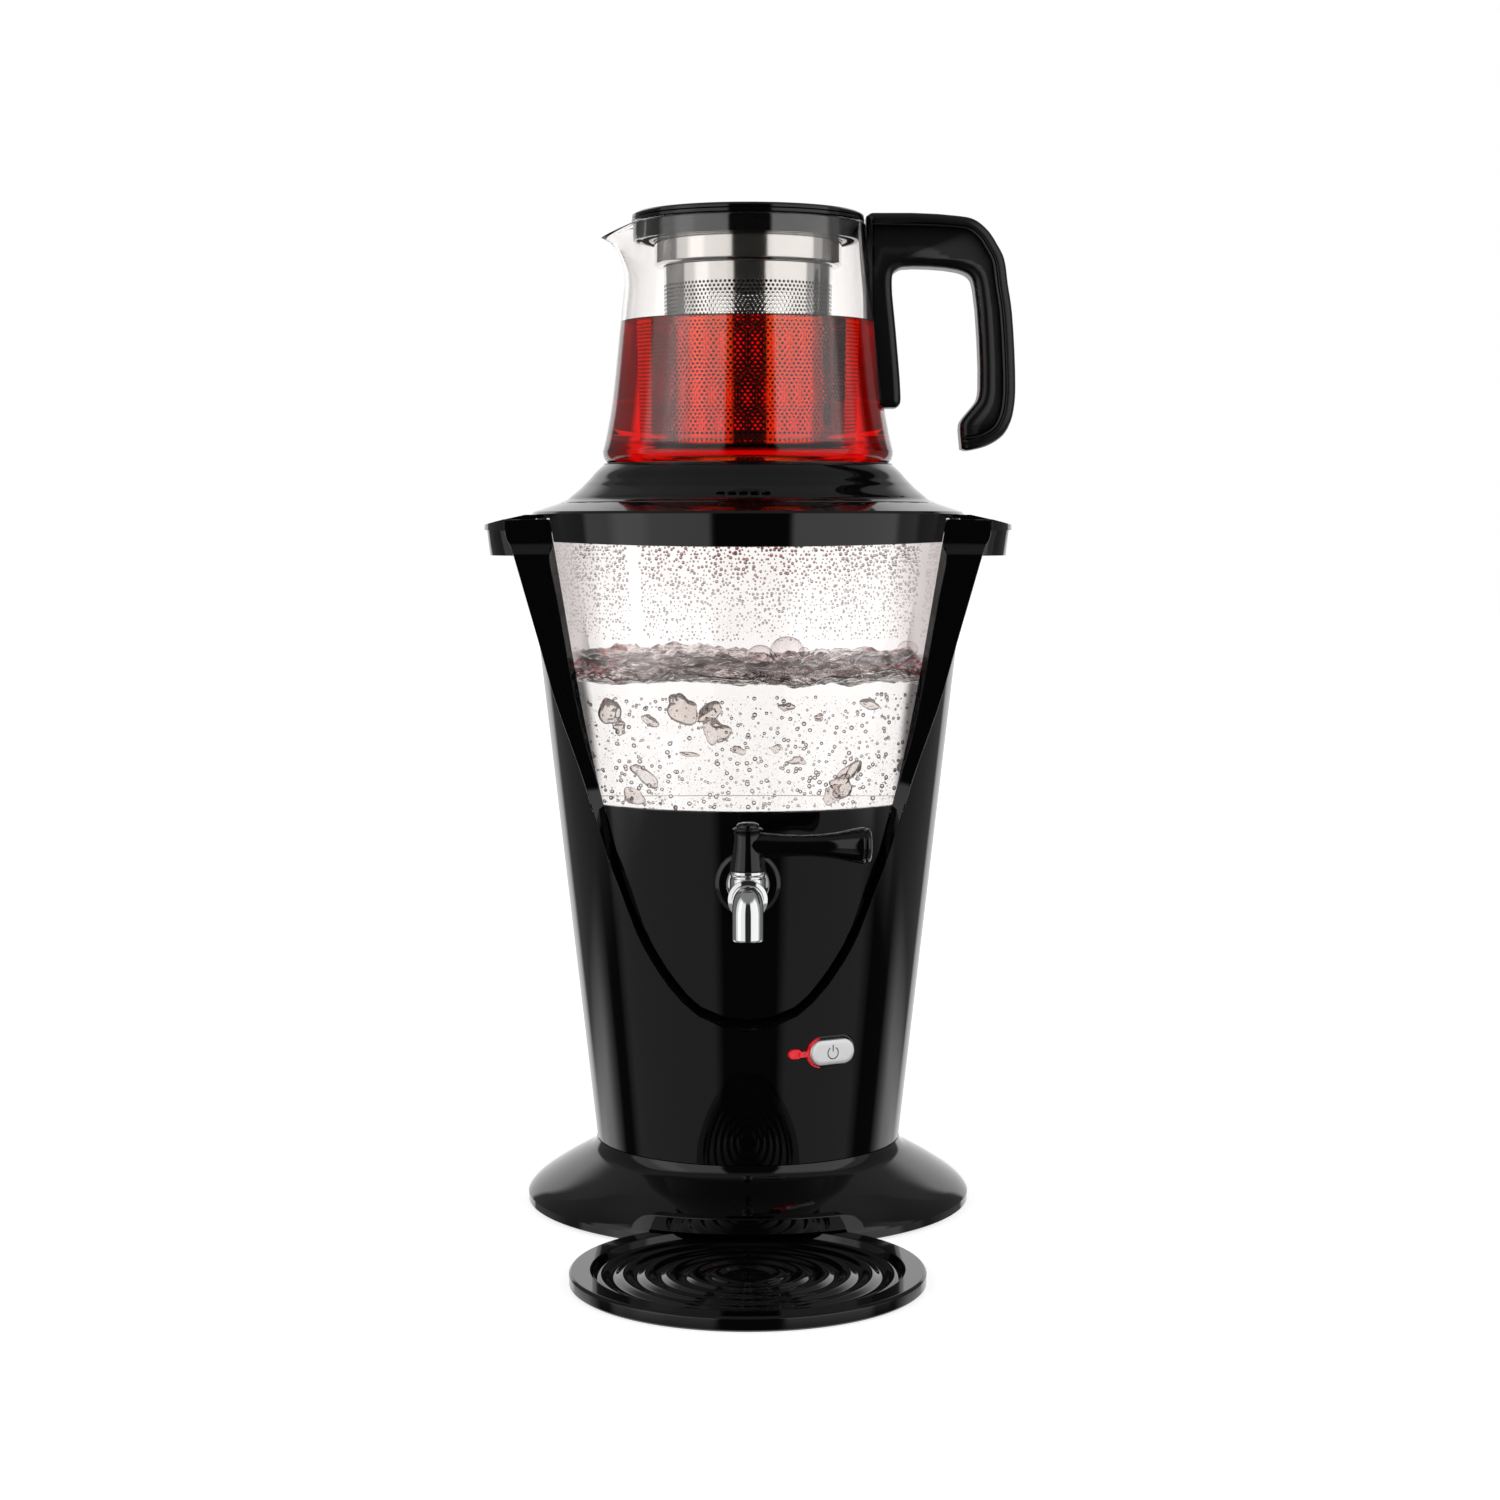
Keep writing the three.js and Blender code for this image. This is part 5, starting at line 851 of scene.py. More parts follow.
def combined(mesh, cutter, operation="DIFFERENCE"):
    """The mesh with another taken from it, joined to it or kept in common."""
    holder = bpy.data.objects.new("holder", mesh)
    tool = bpy.data.objects.new("tool", cutter)
    for item in (holder, tool):
        bpy.context.scene.collection.objects.link(item)
    change = holder.modifiers.new("Cut", "BOOLEAN")
    change.operation = operation
    change.solver = "EXACT"
    change.object = tool
    graph = bpy.context.evaluated_depsgraph_get()
    result = bpy.data.meshes.new_from_object(holder.evaluated_get(graph))
    for item in (holder, tool):
        bpy.data.objects.remove(item)
    return result


def toward_front(radius_and_reach, height, segments=64):
    """Turn an outline of radius and forward reach about a line that runs to the front."""
    shape = lathe(radius_and_reach, segments)
    turn = Matrix.Translation((0, 0, height)) @ Matrix.Rotation(math.radians(90), 4, "X")
    return moved(shape, turn)


# Pieces


def add_camera(context):
    """Camera in front of the samovar, slightly over its middle and tilted down."""
    lens = bpy.data.cameras.new("Camera")
    lens.lens = 67.34
    lens.sensor_width = 36.0
    lens.clip_end = 50.0
    camera = bpy.data.objects.new("Camera", lens)
    camera.location = (0.00096, -1.341, 0.3228)
    tilt = 0.079
    camera.rotation_euler = (math.radians(90) - tilt, 0.0, 0.0)
    context.scene.collection.objects.link(camera)
    context.scene.camera = camera


def studio_by_direction(tree, light):
    """Brightness of the studio in each direction: backdrop, softboxes, dark gaps and ceiling."""
    where = add_node(tree, "ShaderNodeTexCoord")
    axes = add_node(tree, "ShaderNodeSeparateXYZ", {}, {0: where.outputs["Generated"]})
    x, y, z = axes.outputs
    turn = calculate(tree, "ARCTAN2", x, calculate(tree, "MULTIPLY", y, -1.0))
    turn = calculate(tree, "ADD", calculate(tree, "DIVIDE", turn, math.tau), 0.5)
    # Round the studio from behind over the left, the front and the right, in degrees
    white, box, dark = light.backdrop, light.softbox, light.dark
    dim, table_box = 0.16, 0.23 * light.softbox
    level = ring_of_light(tree, turn, (
        (-180, white), (-150, white), (-147, dim), (-98, dim), (-94, 0.55 * box),
        (-80, 0.6 * box), (-72, box), (-58, box), (-52, 0.75 * box), (-21, 0.7 * box),
        (-18, dark), (22, dark), (25, 0.8 * box), (84, 0.85 * box), (88, 0.3 * box),
        (100, 0.3 * box), (104, dim), (147, dim), (150, white), (180, white)))
    table = ring_of_light(tree, turn, (
        (-180, white), (-124, white), (-108, dark), (-98, dark), (-90, table_box),
        (-24, table_box), (-17, dark), (20, dark), (27, table_box), (80, table_box),
        (90, dark), (108, dark), (124, white), (180, white)))
    rise = add_node(tree, "ShaderNodeMapRange", {"From Min": -0.285, "From Max": -0.235},
                    {"Value": z})
    # The backdrop ends lower than the softboxes do
    beside = calculate(tree, "COMPARE", turn, 0.5, 0.39)
    above_back, above_boxes = (
        add_node(tree, "ShaderNodeMapRange",
                 {"interpolation_type": "SMOOTHSTEP", "From Min": start, "From Max": end},
                 {"Value": z}).outputs["Result"]
        for start, end in ((0.38, 0.6), (0.68, 0.85)))
    over = blend_numbers(tree, beside, above_back, above_boxes)
    low = blend_numbers(tree, rise.outputs["Result"], table, level)
    return blend_numbers(tree, over, low, light.ceiling)


def add_surround(context):
    """White backdrop, two softboxes beside the camera and a dark studio between them."""
    world = bpy.data.worlds.new("Studio")
    context.scene.world = world
    world.use_nodes = True
    tree = world.node_tree
    tree.nodes.clear()
    room = studio_by_direction(tree, context.scene.samovar_light)
    path = add_node(tree, "ShaderNodeLightPath")
    # Thin panes keep back about an eighth of the light behind them, so it shines more there
    through = calculate(tree, "MULTIPLY_ADD", path.outputs["Is Transmission Ray"], 0.14, 1.0)
    seen = blend_numbers(tree, path.outputs["Is Camera Ray"],
                         calculate(tree, "MULTIPLY", room, through), 1.0)
    glow = add_node(tree, "ShaderNodeBackground", {"Color": linear("#ffffff")},
                    {"Strength": seen})
    output = add_node(tree, "ShaderNodeOutputWorld")
    tree.links.new(glow.outputs[0], output.inputs["Surface"])


def pale_painted_floor():
    """Matt pale paint: it keeps the shadow, and the gloss sees the studio through it."""
    material, tree, output = new_finish("Pale painted floor")
    bsdf = add_node(tree, "ShaderNodeBsdfPrincipled", {"Base Color": (0.82, 0.82, 0.82, 1.0)})
    moulded_skin(tree, bsdf, 4.0, 0.02, 0.8, 0.03)
    path = add_node(tree, "ShaderNodeLightPath")
    plain = calculate(tree, "MAXIMUM", path.outputs["Is Camera Ray"],
                      path.outputs["Is Transmission Ray"])
    glow = add_node(tree, "ShaderNodeEmission", {"Color": linear("#ffffff")},
                    {"Strength": calculate(tree, "MULTIPLY", plain, 0.76)})
    both = add_node(tree, "ShaderNodeAddShader", {}, {0: bsdf.outputs[0], 1: glow.outputs[0]})
    clear = add_node(tree, "ShaderNodeBsdfTransparent")
    mirror = add_node(tree, "ShaderNodeMixShader", {}, {
        0: path.outputs["Is Glossy Ray"], 1: both.outputs[0], 2: clear.outputs[0]})
    tree.links.new(mirror.outputs[0], output.inputs["Surface"])
    return material


def add_floor(context):
    """Wide floor just under the samovar's feet."""
    half, depth = 9000.0, -0.2
    corners = [(-half, -half, depth), (half, -half, depth), (half, half, depth),
               (-half, half, depth)]
    mesh = to_mesh("Floor", (corners, [[0, 1, 2, 3]]))
    mesh.materials.append(pale_painted_floor())
    floor = bpy.data.objects.new("Floor", mesh)
    context.scene.collection.objects.link(floor)


def foot_hood():
    """Flat-topped hood over the tray's slot, with a bead along its edge."""
    reach, root, bead = 105.3, 95.0, 0.55
    top_middle, top_end = 14.2, 4.4
    flat_half, fall_width, end_half, end_drop = 41.5, 12.0, 45.0, 4.0
    half_turn, steps = 32, 128
    sections = []
    for i in range(steps + 1):
        turn = math.radians(half_turn * (2 * i / steps - 1))
        x = abs(reach * math.sin(turn))
        fall = max(0.0, x - flat_half) / fall_width
        top = top_end + (top_middle - top_end) * math.sqrt(max(0.0, 1.0 - fall * fall))
        bottom = SLOT_TOP - end_drop * min(max((x - end_half) / 0.6, 0.0), 1.0)
        top = max(top, bottom + 0.8)
        section = [(root, min(bottom, SLOT_TOP - 0.1)), (reach - 0.2, bottom), (reach, bottom + 0.2)]
        section += [(reach - bead + bead * math.cos(a), top - bead + bead * math.sin(a))
                    for a in (math.pi * k / 7 - 0.4 for k in range(8))]
        section += [(reach - 1.4, top - 0.45), (root, top - 0.75)]
        sections.append([(r * math.sin(turn), -r * math.cos(turn), z) for r, z in section])
    return swept(sections)


def make_foot():
    """Foot: a crisp rim, a flared slope, a hollow neck and the hooded slot for the tray."""
    low, edge, neck = 1.0, 0.4, 68.0
    run, rise = FOOT_RADIUS - BODY_BOTTOM_RADIUS, FOOT_TOP - FOOT_EDGE
    slope = smooth_line([(FOOT_RADIUS - a * run, FOOT_EDGE + b * rise)
                         for a, b in FOOT_SLOPE_SHARES], 5)
    inside = [(r - FOOT_WALL, z - FOOT_WALL) for r, z in slope[4:-8:3]][::-1]
    outline = [(FOOT_RADIUS - FOOT_WALL, low), (FOOT_RADIUS - edge, low), (FOOT_RADIUS, low + edge),
               *slope, (neck, FOOT_TOP), *inside]
    mesh = to_mesh("Foot_shell", lathe(outline, 200))
    at_tray = Matrix.Translation((0.0, TRAY_Y, 0.0))
    slot = [(0.0, -low), (SLOT_RADIUS, -low), (SLOT_RADIUS, SLOT_TOP), (0.0, SLOT_TOP)]
    mesh = combined(mesh, to_mesh("slot", moved(lathe(slot, 200), at_tray)))
    place("Foot_shell", mesh, "gloss_black", "base", ["foot"], turned=True)
    mesh = to_mesh("Foot_hood", foot_hood())
    place("Foot_hood", mesh, "gloss_black", "base", sharp=40.0)
    make_slot_lining(low, at_tray)


def make_slot_lining(low, at_tray):
    """Inner wall and roof of the tray's slot, kept to what lies inside the foot."""
    wall, roof, gap, inner = 2.3, 2.0, 0.2, 30.0
    under, over = SLOT_TOP + gap, SLOT_TOP + gap + roof
    section = [(SLOT_RADIUS, low), (SLOT_RADIUS + wall, low), (SLOT_RADIUS + wall, over),
               (inner, over), (inner, under), (SLOT_RADIUS, under)]
    mesh = to_mesh("Foot_slot_lining", moved(lathe(section, 160), at_tray))
    reach, height, slant = 97.0, 12.0, 3.0
    keep = [(0.0, 0.0), (reach, 0.0), (reach, height - slant), (reach - slant, height),
            (0.0, height)]
    mesh = combined(mesh, to_mesh("keep", lathe(keep, 160)), "INTERSECT")
    place("Foot_slot_lining", mesh, "gloss_black", "base")


def make_base(context):
    """Foot, housing and the two smooth panels, from their solids with rounded edges."""
    width = context.scene.samovar_sizes.edge_round
    make_foot()
    for name, node in (("Tapered_housing", "housing"),
                       ("Front_panel_skin", "front_panel"), ("Rear_panel_skin", "rear_panel"),
                       ("Tank_ring", "upper_ring")):
        place(name, solid_copy(node, width), "gloss_black", "base", [node], turned=True)


def window_edge(shares):
    """One side of a window outline from the middle of its bottom up."""
    points = [(x * CUT_HALF_WIDTH, CUT_BOTTOM + z * (CUT_TOP - CUT_BOTTOM)) for x, z in shares]
    mirrored = [(-x, z) for x, z in points[2:0:-1]]
    return smooth_line([*mirrored, *points], 2)[2 * len(mirrored):]


def on_cone(x, z, depth):
    """How far forward a point at X and Z lies, at a depth under the housing's outer face."""
    return math.sqrt(max((body_radius(z) - depth) ** 2 - x * x, 0.0))


def frame_section(outer, inner):
    """Outer edge, crease, inner edge and two points behind them, at one place of the frame."""
    (ox, oz), (ix, iz) = outer, inner
    sunk, slope_share, most_share, thickness = 0.3, 0.68, 0.8, 4.0
    share = min(max((oz - FRAME_EDGE_START) / (CUT_TOP - FRAME_EDGE_START), 0.0), 1.0)
    front = FRAME_EDGE_LOW + share * (FRAME_EDGE_HIGH - FRAME_EDGE_LOW)
    oy = on_cone(ox, oz, sunk) if oz < FRAME_EDGE_START else front
    if ox > CUT_HALF_WIDTH:
        out = (ox - EAR_ROOT) / (EAR_REACH - EAR_ROOT)
        oy = min(front, FRAME_EDGE_HIGH * math.sqrt(max(0.0, 1 - out * out)))
    iy = on_cone(ix, iz, FRAME_DEPTH)
    width = math.hypot(ox - ix, oz - iz)
    crease = min(max(sunk, slope_share * (oy - iy)), most_share * width) / width
    cy = max(oy, iy) if oz > FRAME_EDGE_START else max(iy + (oy - iy) * crease, iy)
    back = min(thickness, width) / width
    bx, bz = ix + (ox - ix) * back, iz + (oz - iz) * back
    by = min(on_cone(bx, bz, FRAME_DEPTH), iy)
    return [(ox, oy, oz), (ix + (ox - ix) * crease, cy, iz + (oz - iz) * crease), (ix, iy, iz),
            (bx, by, bz), (ox, oy - thickness, oz)]


def window_frame():
    """The whole U from ear to ear, facing the front."""
    outer, inner = window_edge(OUTER_SHARES), window_edge(INNER_SHARES)
    (from_x, from_z), (to_x, to_z) = INNER_SHARES[-3], INNER_SHARES[-1]
    slope = (to_x - from_x) * CUT_HALF_WIDTH / ((to_z - from_z) * (CUT_TOP - CUT_BOTTOM))
    last = inner[-1][0]
    flare = [(CUT_HALF_WIDTH + a * (EAR_JOINT - CUT_HALF_WIDTH),
              CUT_TOP + b * (EAR_TIP_BOTTOM - CUT_TOP)) for a, b in ((0.36, 0.36), (0.78, 0.62))]
    flare += [(EAR_JOINT, EAR_TIP_BOTTOM - 0.3), (EAR_JOINT, FRAME_TOP - 0.3)]
    for i, point in enumerate(flare):
        share = (i + 1) / len(flare)
        outer.append(point)
        inner.append((last + (FRAME_TOP - CUT_TOP) * slope * share,
                      CUT_TOP + (FRAME_TOP - CUT_TOP) * share))
    half = [frame_section(o, i) for o, i in zip(outer, inner)]
    rails = [smooth_line([section[k] for section in half], 4) for k in range(len(half[0]))]
    right = [[(x, -y, z) for x, y, z in section] for section in zip(*rails)]
    left = [[(-x, y, z) for x, y, z in section] for section in right[:0:-1]]
    return swept(left + right)


def make_window_frames(context):
    """The U-shaped frames round the windows and the two carrying ears."""
    width = context.scene.samovar_sizes.edge_round
    vertices, faces = window_frame()
    for name, node, side in (("Front_window_frame", "front_window_trim", 1.0),
                             ("Rear_window_frame", "rear_window_trim", -1.0)):
        mesh = to_mesh(name, ([(x, side * y, z) for x, y, z in vertices], faces))
        soften(mesh, FRAME_ROUND * MM)
        place(name, mesh, "gloss_black", "base", [node])
    for name, node in (("Right_ear", "side_handle_right"), ("Left_ear", "side_handle_left")):
        place(name, solid_copy(node, width), "gloss_black", "base", [node])


def make_tank():
    """The glass tank, open at both ends."""
    outline = rounded([
        (tank_radius(TANK_BOTTOM), TANK_BOTTOM), (tank_radius(TANK_TOP), TANK_TOP),
        (inside_tank(TANK_TOP), TANK_TOP), (inside_tank(TANK_BOTTOM), TANK_BOTTOM)], 1.0)
    place("Glass_tank", to_mesh("Glass_tank", lathe(outline, 160)), "clear_glass", "base",
          ["tank_glass"])


def waves(x, y, seed, fine):
    """Height of a broken surface: fine folds on a long swell."""
    folds = noise.fractal(Vector((x / fine, y / fine, seed)), 0.75, 2.1, 4)
    swell = noise.noise(Vector((x / 42.0, y / 42.0, seed + 4.6)))
    return 0.85 * folds + 0.9 * swell


def make_water(context):
    """Clear water with a flat bottom, and the churned layer with the broken surface on it."""
    sizes = context.scene.samovar_sizes
    level, wave = sizes.water_level / MM, sizes.wave_height / MM
    churn = sizes.churn_depth / MM
    segments, rings = 160, 60

    def circle(radius, height_at):
        """A ring of points, each at the height that its place has."""
        points = [(radius * math.cos(math.tau * k / segments),
                   radius * math.sin(math.tau * k / segments)) for k in range(segments)]
        return [(x, y, height_at(x, y)) for x, y in points]

    def sheet(height_at):
        """Rings of points from just inside the glass to the middle."""
        edge = inside_tank(level) + 0.15
        return [circle(edge * i / rings, height_at) for i in range(rings, 0, -1)]

    def flat(height, share=1.0):
        """A level ring just inside the glass, or a smaller one."""
        return circle((inside_tank(height) + 0.2) * share, lambda x, y: height)

    def surface(x, y):
        return level + wave * waves(x, y, 3.1, 15.0)

    def underside(x, y):
        return level - churn + 0.65 * wave * waves(x, y, 12.4, 13.0)

    still = swept([flat(WATER_BOTTOM, 0.5), flat(WATER_BOTTOM), flat(WATER_BOTTOM + 20.0),
                   flat(level - churn - 12.0), *sheet(lambda x, y: underside(x, y) + 0.3)])
    place("Boiling_water", to_mesh("Boiling_water", still), "water", "base",
          sharp=60.0)
    froth = swept([*sheet(underside)[::-1], *sheet(surface)])
    place("Churned_surface", to_mesh("Churned_surface", froth), "churned", "base",
          sharp=70.0)
    # A sheet just inside the glass that carries the mist's painted glow
    mist = [(inside_tank(z) - 0.06, z) for z in (level - 3.0, 290.0, TANK_TOP - 6.0)]
    shape = lathe(mist, 96, closed=False)
    place("Mist_sheet_painted_glow", to_mesh("Mist_sheet_painted_glow", shape), "mist", "base")


def ball(centre, radius, rows=6, columns=10, squash=1.0, rough=0.0, seed=0.0):
    """A small sphere or lump."""
    unit = [(0.0, 0.0, -1.0)]
    for i in range(1, rows):
        polar = math.pi * i / rows
        for k in range(columns):
            angle = math.tau * k / columns
            unit.append((math.sin(polar) * math.cos(angle), math.sin(polar) * math.sin(angle),
                         -math.cos(polar)))
    unit.append((0.0, 0.0, 1.0))
    vertices = []
    for x, y, z in unit:
        grow = 1.0
        if rough:
            grow += rough * noise.noise(Vector((x, y, z)) * 0.85 + Vector((seed, seed, seed)))
        vertices.append((centre[0] + radius * grow * x, centre[1] + radius * grow * y,
                         centre[2] + radius * grow * squash * z))
    return vertices, pole_faces(rows - 1, columns)


def dome(size, columns):
    """A drop that stands on the plane Z = 0, slightly sunk in it."""
    sunk, height, rows = 0.1, 0.9 * size, 3
    vertices = [(0.0, 0.0, -sunk)]
    for i in range(rows):
        polar = math.pi / 2 * i / rows
        for k in range(columns):
            angle = math.tau * k / columns
            vertices.append((size * math.cos(polar) * math.cos(angle),
                             size * math.cos(polar) * math.sin(angle),
                             height * math.sin(polar) - (sunk if i == 0 else 0.0)))
    vertices.append((0.0, 0.0, height))
    return vertices, pole_faces(rows, columns)


def make_bubbles(context):
    """Small rising bubbles, larger torn ones and the thin domes on the surface."""
    sizes = context.scene.samovar_sizes
    chance = random.Random(11)
    level = sizes.water_level / MM
    bottom, top = WATER_BOTTOM + 0.8, level - 14.0
    small = []
    for _ in range(sizes.bubble_count):
        z = bottom + (top - bottom) * chance.random() ** 1.25
        spread = math.radians(70.0) * (2 * chance.random() - 1)
        depth = 1.6 + 26.0 * chance.random() ** 2
        radius = inside_tank(z) - depth
        size = 0.15 + 1.0 * chance.random() ** 8
        fine = (5, 8) if size < 0.45 else (10, 16)
        small.append(ball((radius * math.sin(spread), -radius * math.cos(spread), z), size,
                          *fine))
    place("Rising_bubbles", to_mesh("Rising_bubbles", joined(small)), "bubble", "base",
          sharp=80.0)
    # Torn bubbles: place across and up, size, squash and lean in degrees
    torn = []
    for x, z, size, squash, lean in (
            (-60, 240, 5.4, 1.1, 8), (-56, 232, 3.6, 0.8, -20), (-43, 236, 4.4, 0.42, 30),
            (-28, 243, 7.4, 0.75, 38), (-17, 240, 6.0, 0.6, -34), (-14, 231, 5.0, 1.15, 10),
            (-46, 211, 6.6, 0.5, 35), (-50, 200.6, 4.6, 0.8, 0), (-26, 221, 3.4, 0.32, 10),
            (45, 213, 6.8, 0.5, -40), (40, 206, 5.2, 0.95, 12), (36, 202, 3.6, 1.2, 20),
            (22, 218, 3.6, 0.55, 8), (67, 213, 3.2, 1.0, 0), (17, 243, 3.2, 0.6, -20),
            (53, 243, 4.0, 0.7, 15), (13, 224, 2.4, 0.9, 0), (-4, 223, 2.8, 0.75, 0),
            (-68, 218, 2.2, 0.8, 0), (31, 238, 2.4, 0.7, 0)):
        radius = inside_tank(z) - 8.0
        y = -math.sqrt(max(radius * radius - x * x, 1.0))
        lump = ball((0.0, 0.0, 0.0), size, 24, 36, squash, 0.75, x * 0.7 + z)
        turn = Matrix.Translation((x, y, z)) @ Matrix.Rotation(math.radians(lean), 4, "Y")
        torn.append(moved(lump, turn))
    place("Torn_bubbles", to_mesh("Torn_bubbles", joined(torn)), "torn_bubble", "base",
          sharp=80.0)
    # Thin domes on the surface: place across, size and lift
    domes = []
    for x, size, lift in ((17.5, 7.8, 3.4), (5.5, 6.4, 1.4), (73.0, 4.6, 4.0), (-50.0, 4.2, 2.0),
                          (-4.0, 3.0, 2.4), (33.0, 3.6, 3.0), (44.0, 2.8, 2.2), (25.0, 2.6, 5.0)):
        radius = inside_tank(level) - size - 0.8
        y = -math.sqrt(max(radius * radius - x * x, 1.0))
        centre, film, squash = (x, y, level + lift + 0.35 * size), 0.12, 0.86
        vertices, faces = ball(centre, size, 20, 32, squash)
        inner, _ = ball(centre, size - film, 20, 32, squash)
        domes.append((vertices, faces))
        domes.append((inner, [face[::-1] for face in faces]))
    mesh = bpy.data.meshes.new("Surface_bubbles")
    vertices, faces = joined(domes)
    mesh.from_pydata([(x * MM, y * MM, z * MM) for x, y, z in vertices], [], faces)
    place("Surface_bubbles", mesh, "film", "base", sharp=80.0)


def make_beads(context):
    """Condensation inside the tank over the water: beads in loose rows that have run together."""
    sizes = context.scene.samovar_sizes
    chance = random.Random(5)
    low = sizes.water_level / MM + 11.0
    high = 317.0
    arc = math.radians(132.0)
    runs, run_half_width = (-32.5, 57.0), 1.9
    shapes = []
    spacing = math.sqrt(2.32 * (high - low) * 94.0 / max(sizes.bead_count, 1))
    scatter = 0.62 * spacing
    rows = int((high - low) / (spacing * 0.87))
    for row in range(rows):
        z_row = low + (high - low) * (row + 0.5) / rows
        radius = inside_tank(z_row)
        across = int(arc * radius / spacing)
        for column in range(across):
            angle = arc * ((column + 0.5 * (row % 2)) / across - 0.5)
            angle += scatter / radius * (chance.random() - 0.5)
            z = z_row + scatter * (chance.random() - 0.5)
            upward = (z - low) / (high - low)
            # Clear runs where drops have slid down, and fewer beads near the water
            if any(abs(math.degrees(angle) - run) < run_half_width for run in runs):
                continue
            if chance.random() < 0.1 + 0.25 * (1 - upward) ** 2:
                continue
            size = (0.34 + 0.5 * chance.random() ** 1.8) * (0.66 + 0.5 * upward)
            turn = (Matrix.Translation((inside_tank(z) * math.sin(angle),
                                        -inside_tank(z) * math.cos(angle), z))
                    @ Matrix.Rotation(angle, 4, "Z") @ Matrix.Rotation(math.radians(-90), 4, "X"))
            shapes.append(moved(dome(size, 8), turn))
    place("Condensation_beads", to_mesh("Condensation_beads", joined(shapes)), "bead", "base",
          sharp=80.0)


def make_tank_lid():
    """Lid of the tank with its five steam vents and the recess that seats the teapot."""
    shares = [(0, 0), (0.16, 0.075), (0.254, 0.165), (0.49, 0.385), (0.58, 0.49), (0.673, 0.595),
              (0.834, 0.8), (1, 0.965), (1, 1)]
    run, height = LID_BOTTOM_RADIUS - LID_TOP_RADIUS, LID_TOP - LID_BOTTOM
    outer = [(LID_BOTTOM_RADIUS - a * run, LID_BOTTOM + b * height) for a, b in shares]
    outer = smooth_line(outer[:-1], 4) + [outer[-1]]
    under = [(r - 2.5, z - 0.8) for r, z in outer[6:-7:4]][::-1]
    floor, floor_wall = LID_TOP - 1.6, 2.5
    hole, skirt, skirt_wall, skirt_bottom = 32.0, 85.4, 2.5, 326.8
    outline = rounded([*outer, (67.6, LID_TOP), (66.0, floor)], 0.5, closed=False)
    outline += [(hole, floor), (hole, floor - 2 * floor_wall), (hole + 2.5, floor - 2 * floor_wall),
                (hole + 2.5, floor - floor_wall), (66.1, floor - floor_wall), *under,
                (skirt - skirt_wall, LID_BOTTOM + 1.2), (skirt - skirt_wall, skirt_bottom),
                (skirt, skirt_bottom), (skirt, LID_BOTTOM)]
    mesh = to_mesh("Tank_lid_shell", lathe(outline, 192))
    vent_count, vent_pitch, vent_middle, vent_z = 5, 5.1, -2.0, 338.2
    vents = []
    for i in range(vent_count):
        x = vent_middle + (i - (vent_count - 1) / 2) * vent_pitch
        turn = (Matrix.Translation((x, -LID_TOP_RADIUS, vent_z))
                @ Matrix.Rotation(math.radians(90), 4, "X"))
        vents.append(moved(prism(stadium(4.0, 1.8, 6), 0.0, 25.0), turn))
    mesh = combined(mesh, to_mesh("vents", joined(vents)))
    place("Tank_lid_shell", mesh, "gloss_black", "tank_lid", ["tank_lid"], turned=True)


def pot_wall(inset, steps=5):
    """The teapot's wall from over the base corner to the rim."""
    shares = [(0, 0), (0.1, 0.05), (0.325, 0.2), (0.655, 0.57), (0.97, 0.93), (1, 1)]
    low = POT_BASE + POT_CORNER
    taper = POT_BASE_RADIUS - POT_RIM_RADIUS
    return smooth_line([(POT_BASE_RADIUS - a * taper - inset, low + b * (POT_RIM - low))
                        for a, b in shares], steps)


def pulled_lip(shape):
    """Pull the rim out and down into the pouring lip on the left."""
    vertices, faces = shape
    result = []
    for x, y, z in vertices:
        angle = abs(math.atan2(y, -x))
        start = POT_RIM - LIP_LENGTH
        if angle < LIP_HALF_ANGLE and z > start:
            across = math.cos(angle / LIP_HALF_ANGLE * math.pi / 2) ** 2
            up = (z - start) / LIP_LENGTH
            x -= LIP_REACH * across * up ** 2.2
            z -= LIP_DROP * across * up ** 4
        result.append((x, y, z))
    return result, faces


def make_teapot():
    """Blown glass jug with a pulled pouring lip and a thick base."""
    run, half_wall = POT_BASE_RADIUS - POT_FOOT_RADIUS, POT_WALL / 2
    corner = [(POT_FOOT_RADIUS + a * run, POT_BASE + b * POT_CORNER)
              for a, b in ((0, 0), (0.35, 0.06), (0.75, 0.3), (0.95, 0.65))]
    foot = smooth_line([*corner, pot_wall(0.0)[0]], 4)[:-1]
    rim = [(POT_RIM_RADIUS - half_wall + half_wall * math.cos(a),
            POT_RIM - half_wall + half_wall * math.sin(a))
           for a in (math.pi * k / 8 for k in range(9))]
    under_rim = POT_RIM - half_wall - 0.1
    outside = [p for p in pot_wall(0.0, 8) if p[1] < under_rim]
    floor, dent = POT_BASE + POT_FLOOR, 1.2
    inside = [p for p in pot_wall(POT_WALL, 8) if floor + 6.0 < p[1] < under_rim]
    outline = [(0.0, POT_BASE + dent), (POT_FOOT_RADIUS - 9.0, POT_BASE + dent),
               (POT_FOOT_RADIUS - 6.0, POT_BASE), *foot, *outside, *rim, *inside[::-1],
               (inside[0][0] - 0.3, floor + 4.0), (inside[0][0] - 2.2, floor + 1.2),
               (inside[0][0] - 6.0, floor), (0.0, floor)]
    mesh = to_mesh("Teapot_jug", pulled_lip(lathe(outline, 200)))
    place("Teapot_jug", mesh, "clear_glass", "teapot", ["teapot_glass"], sharp=60.0)


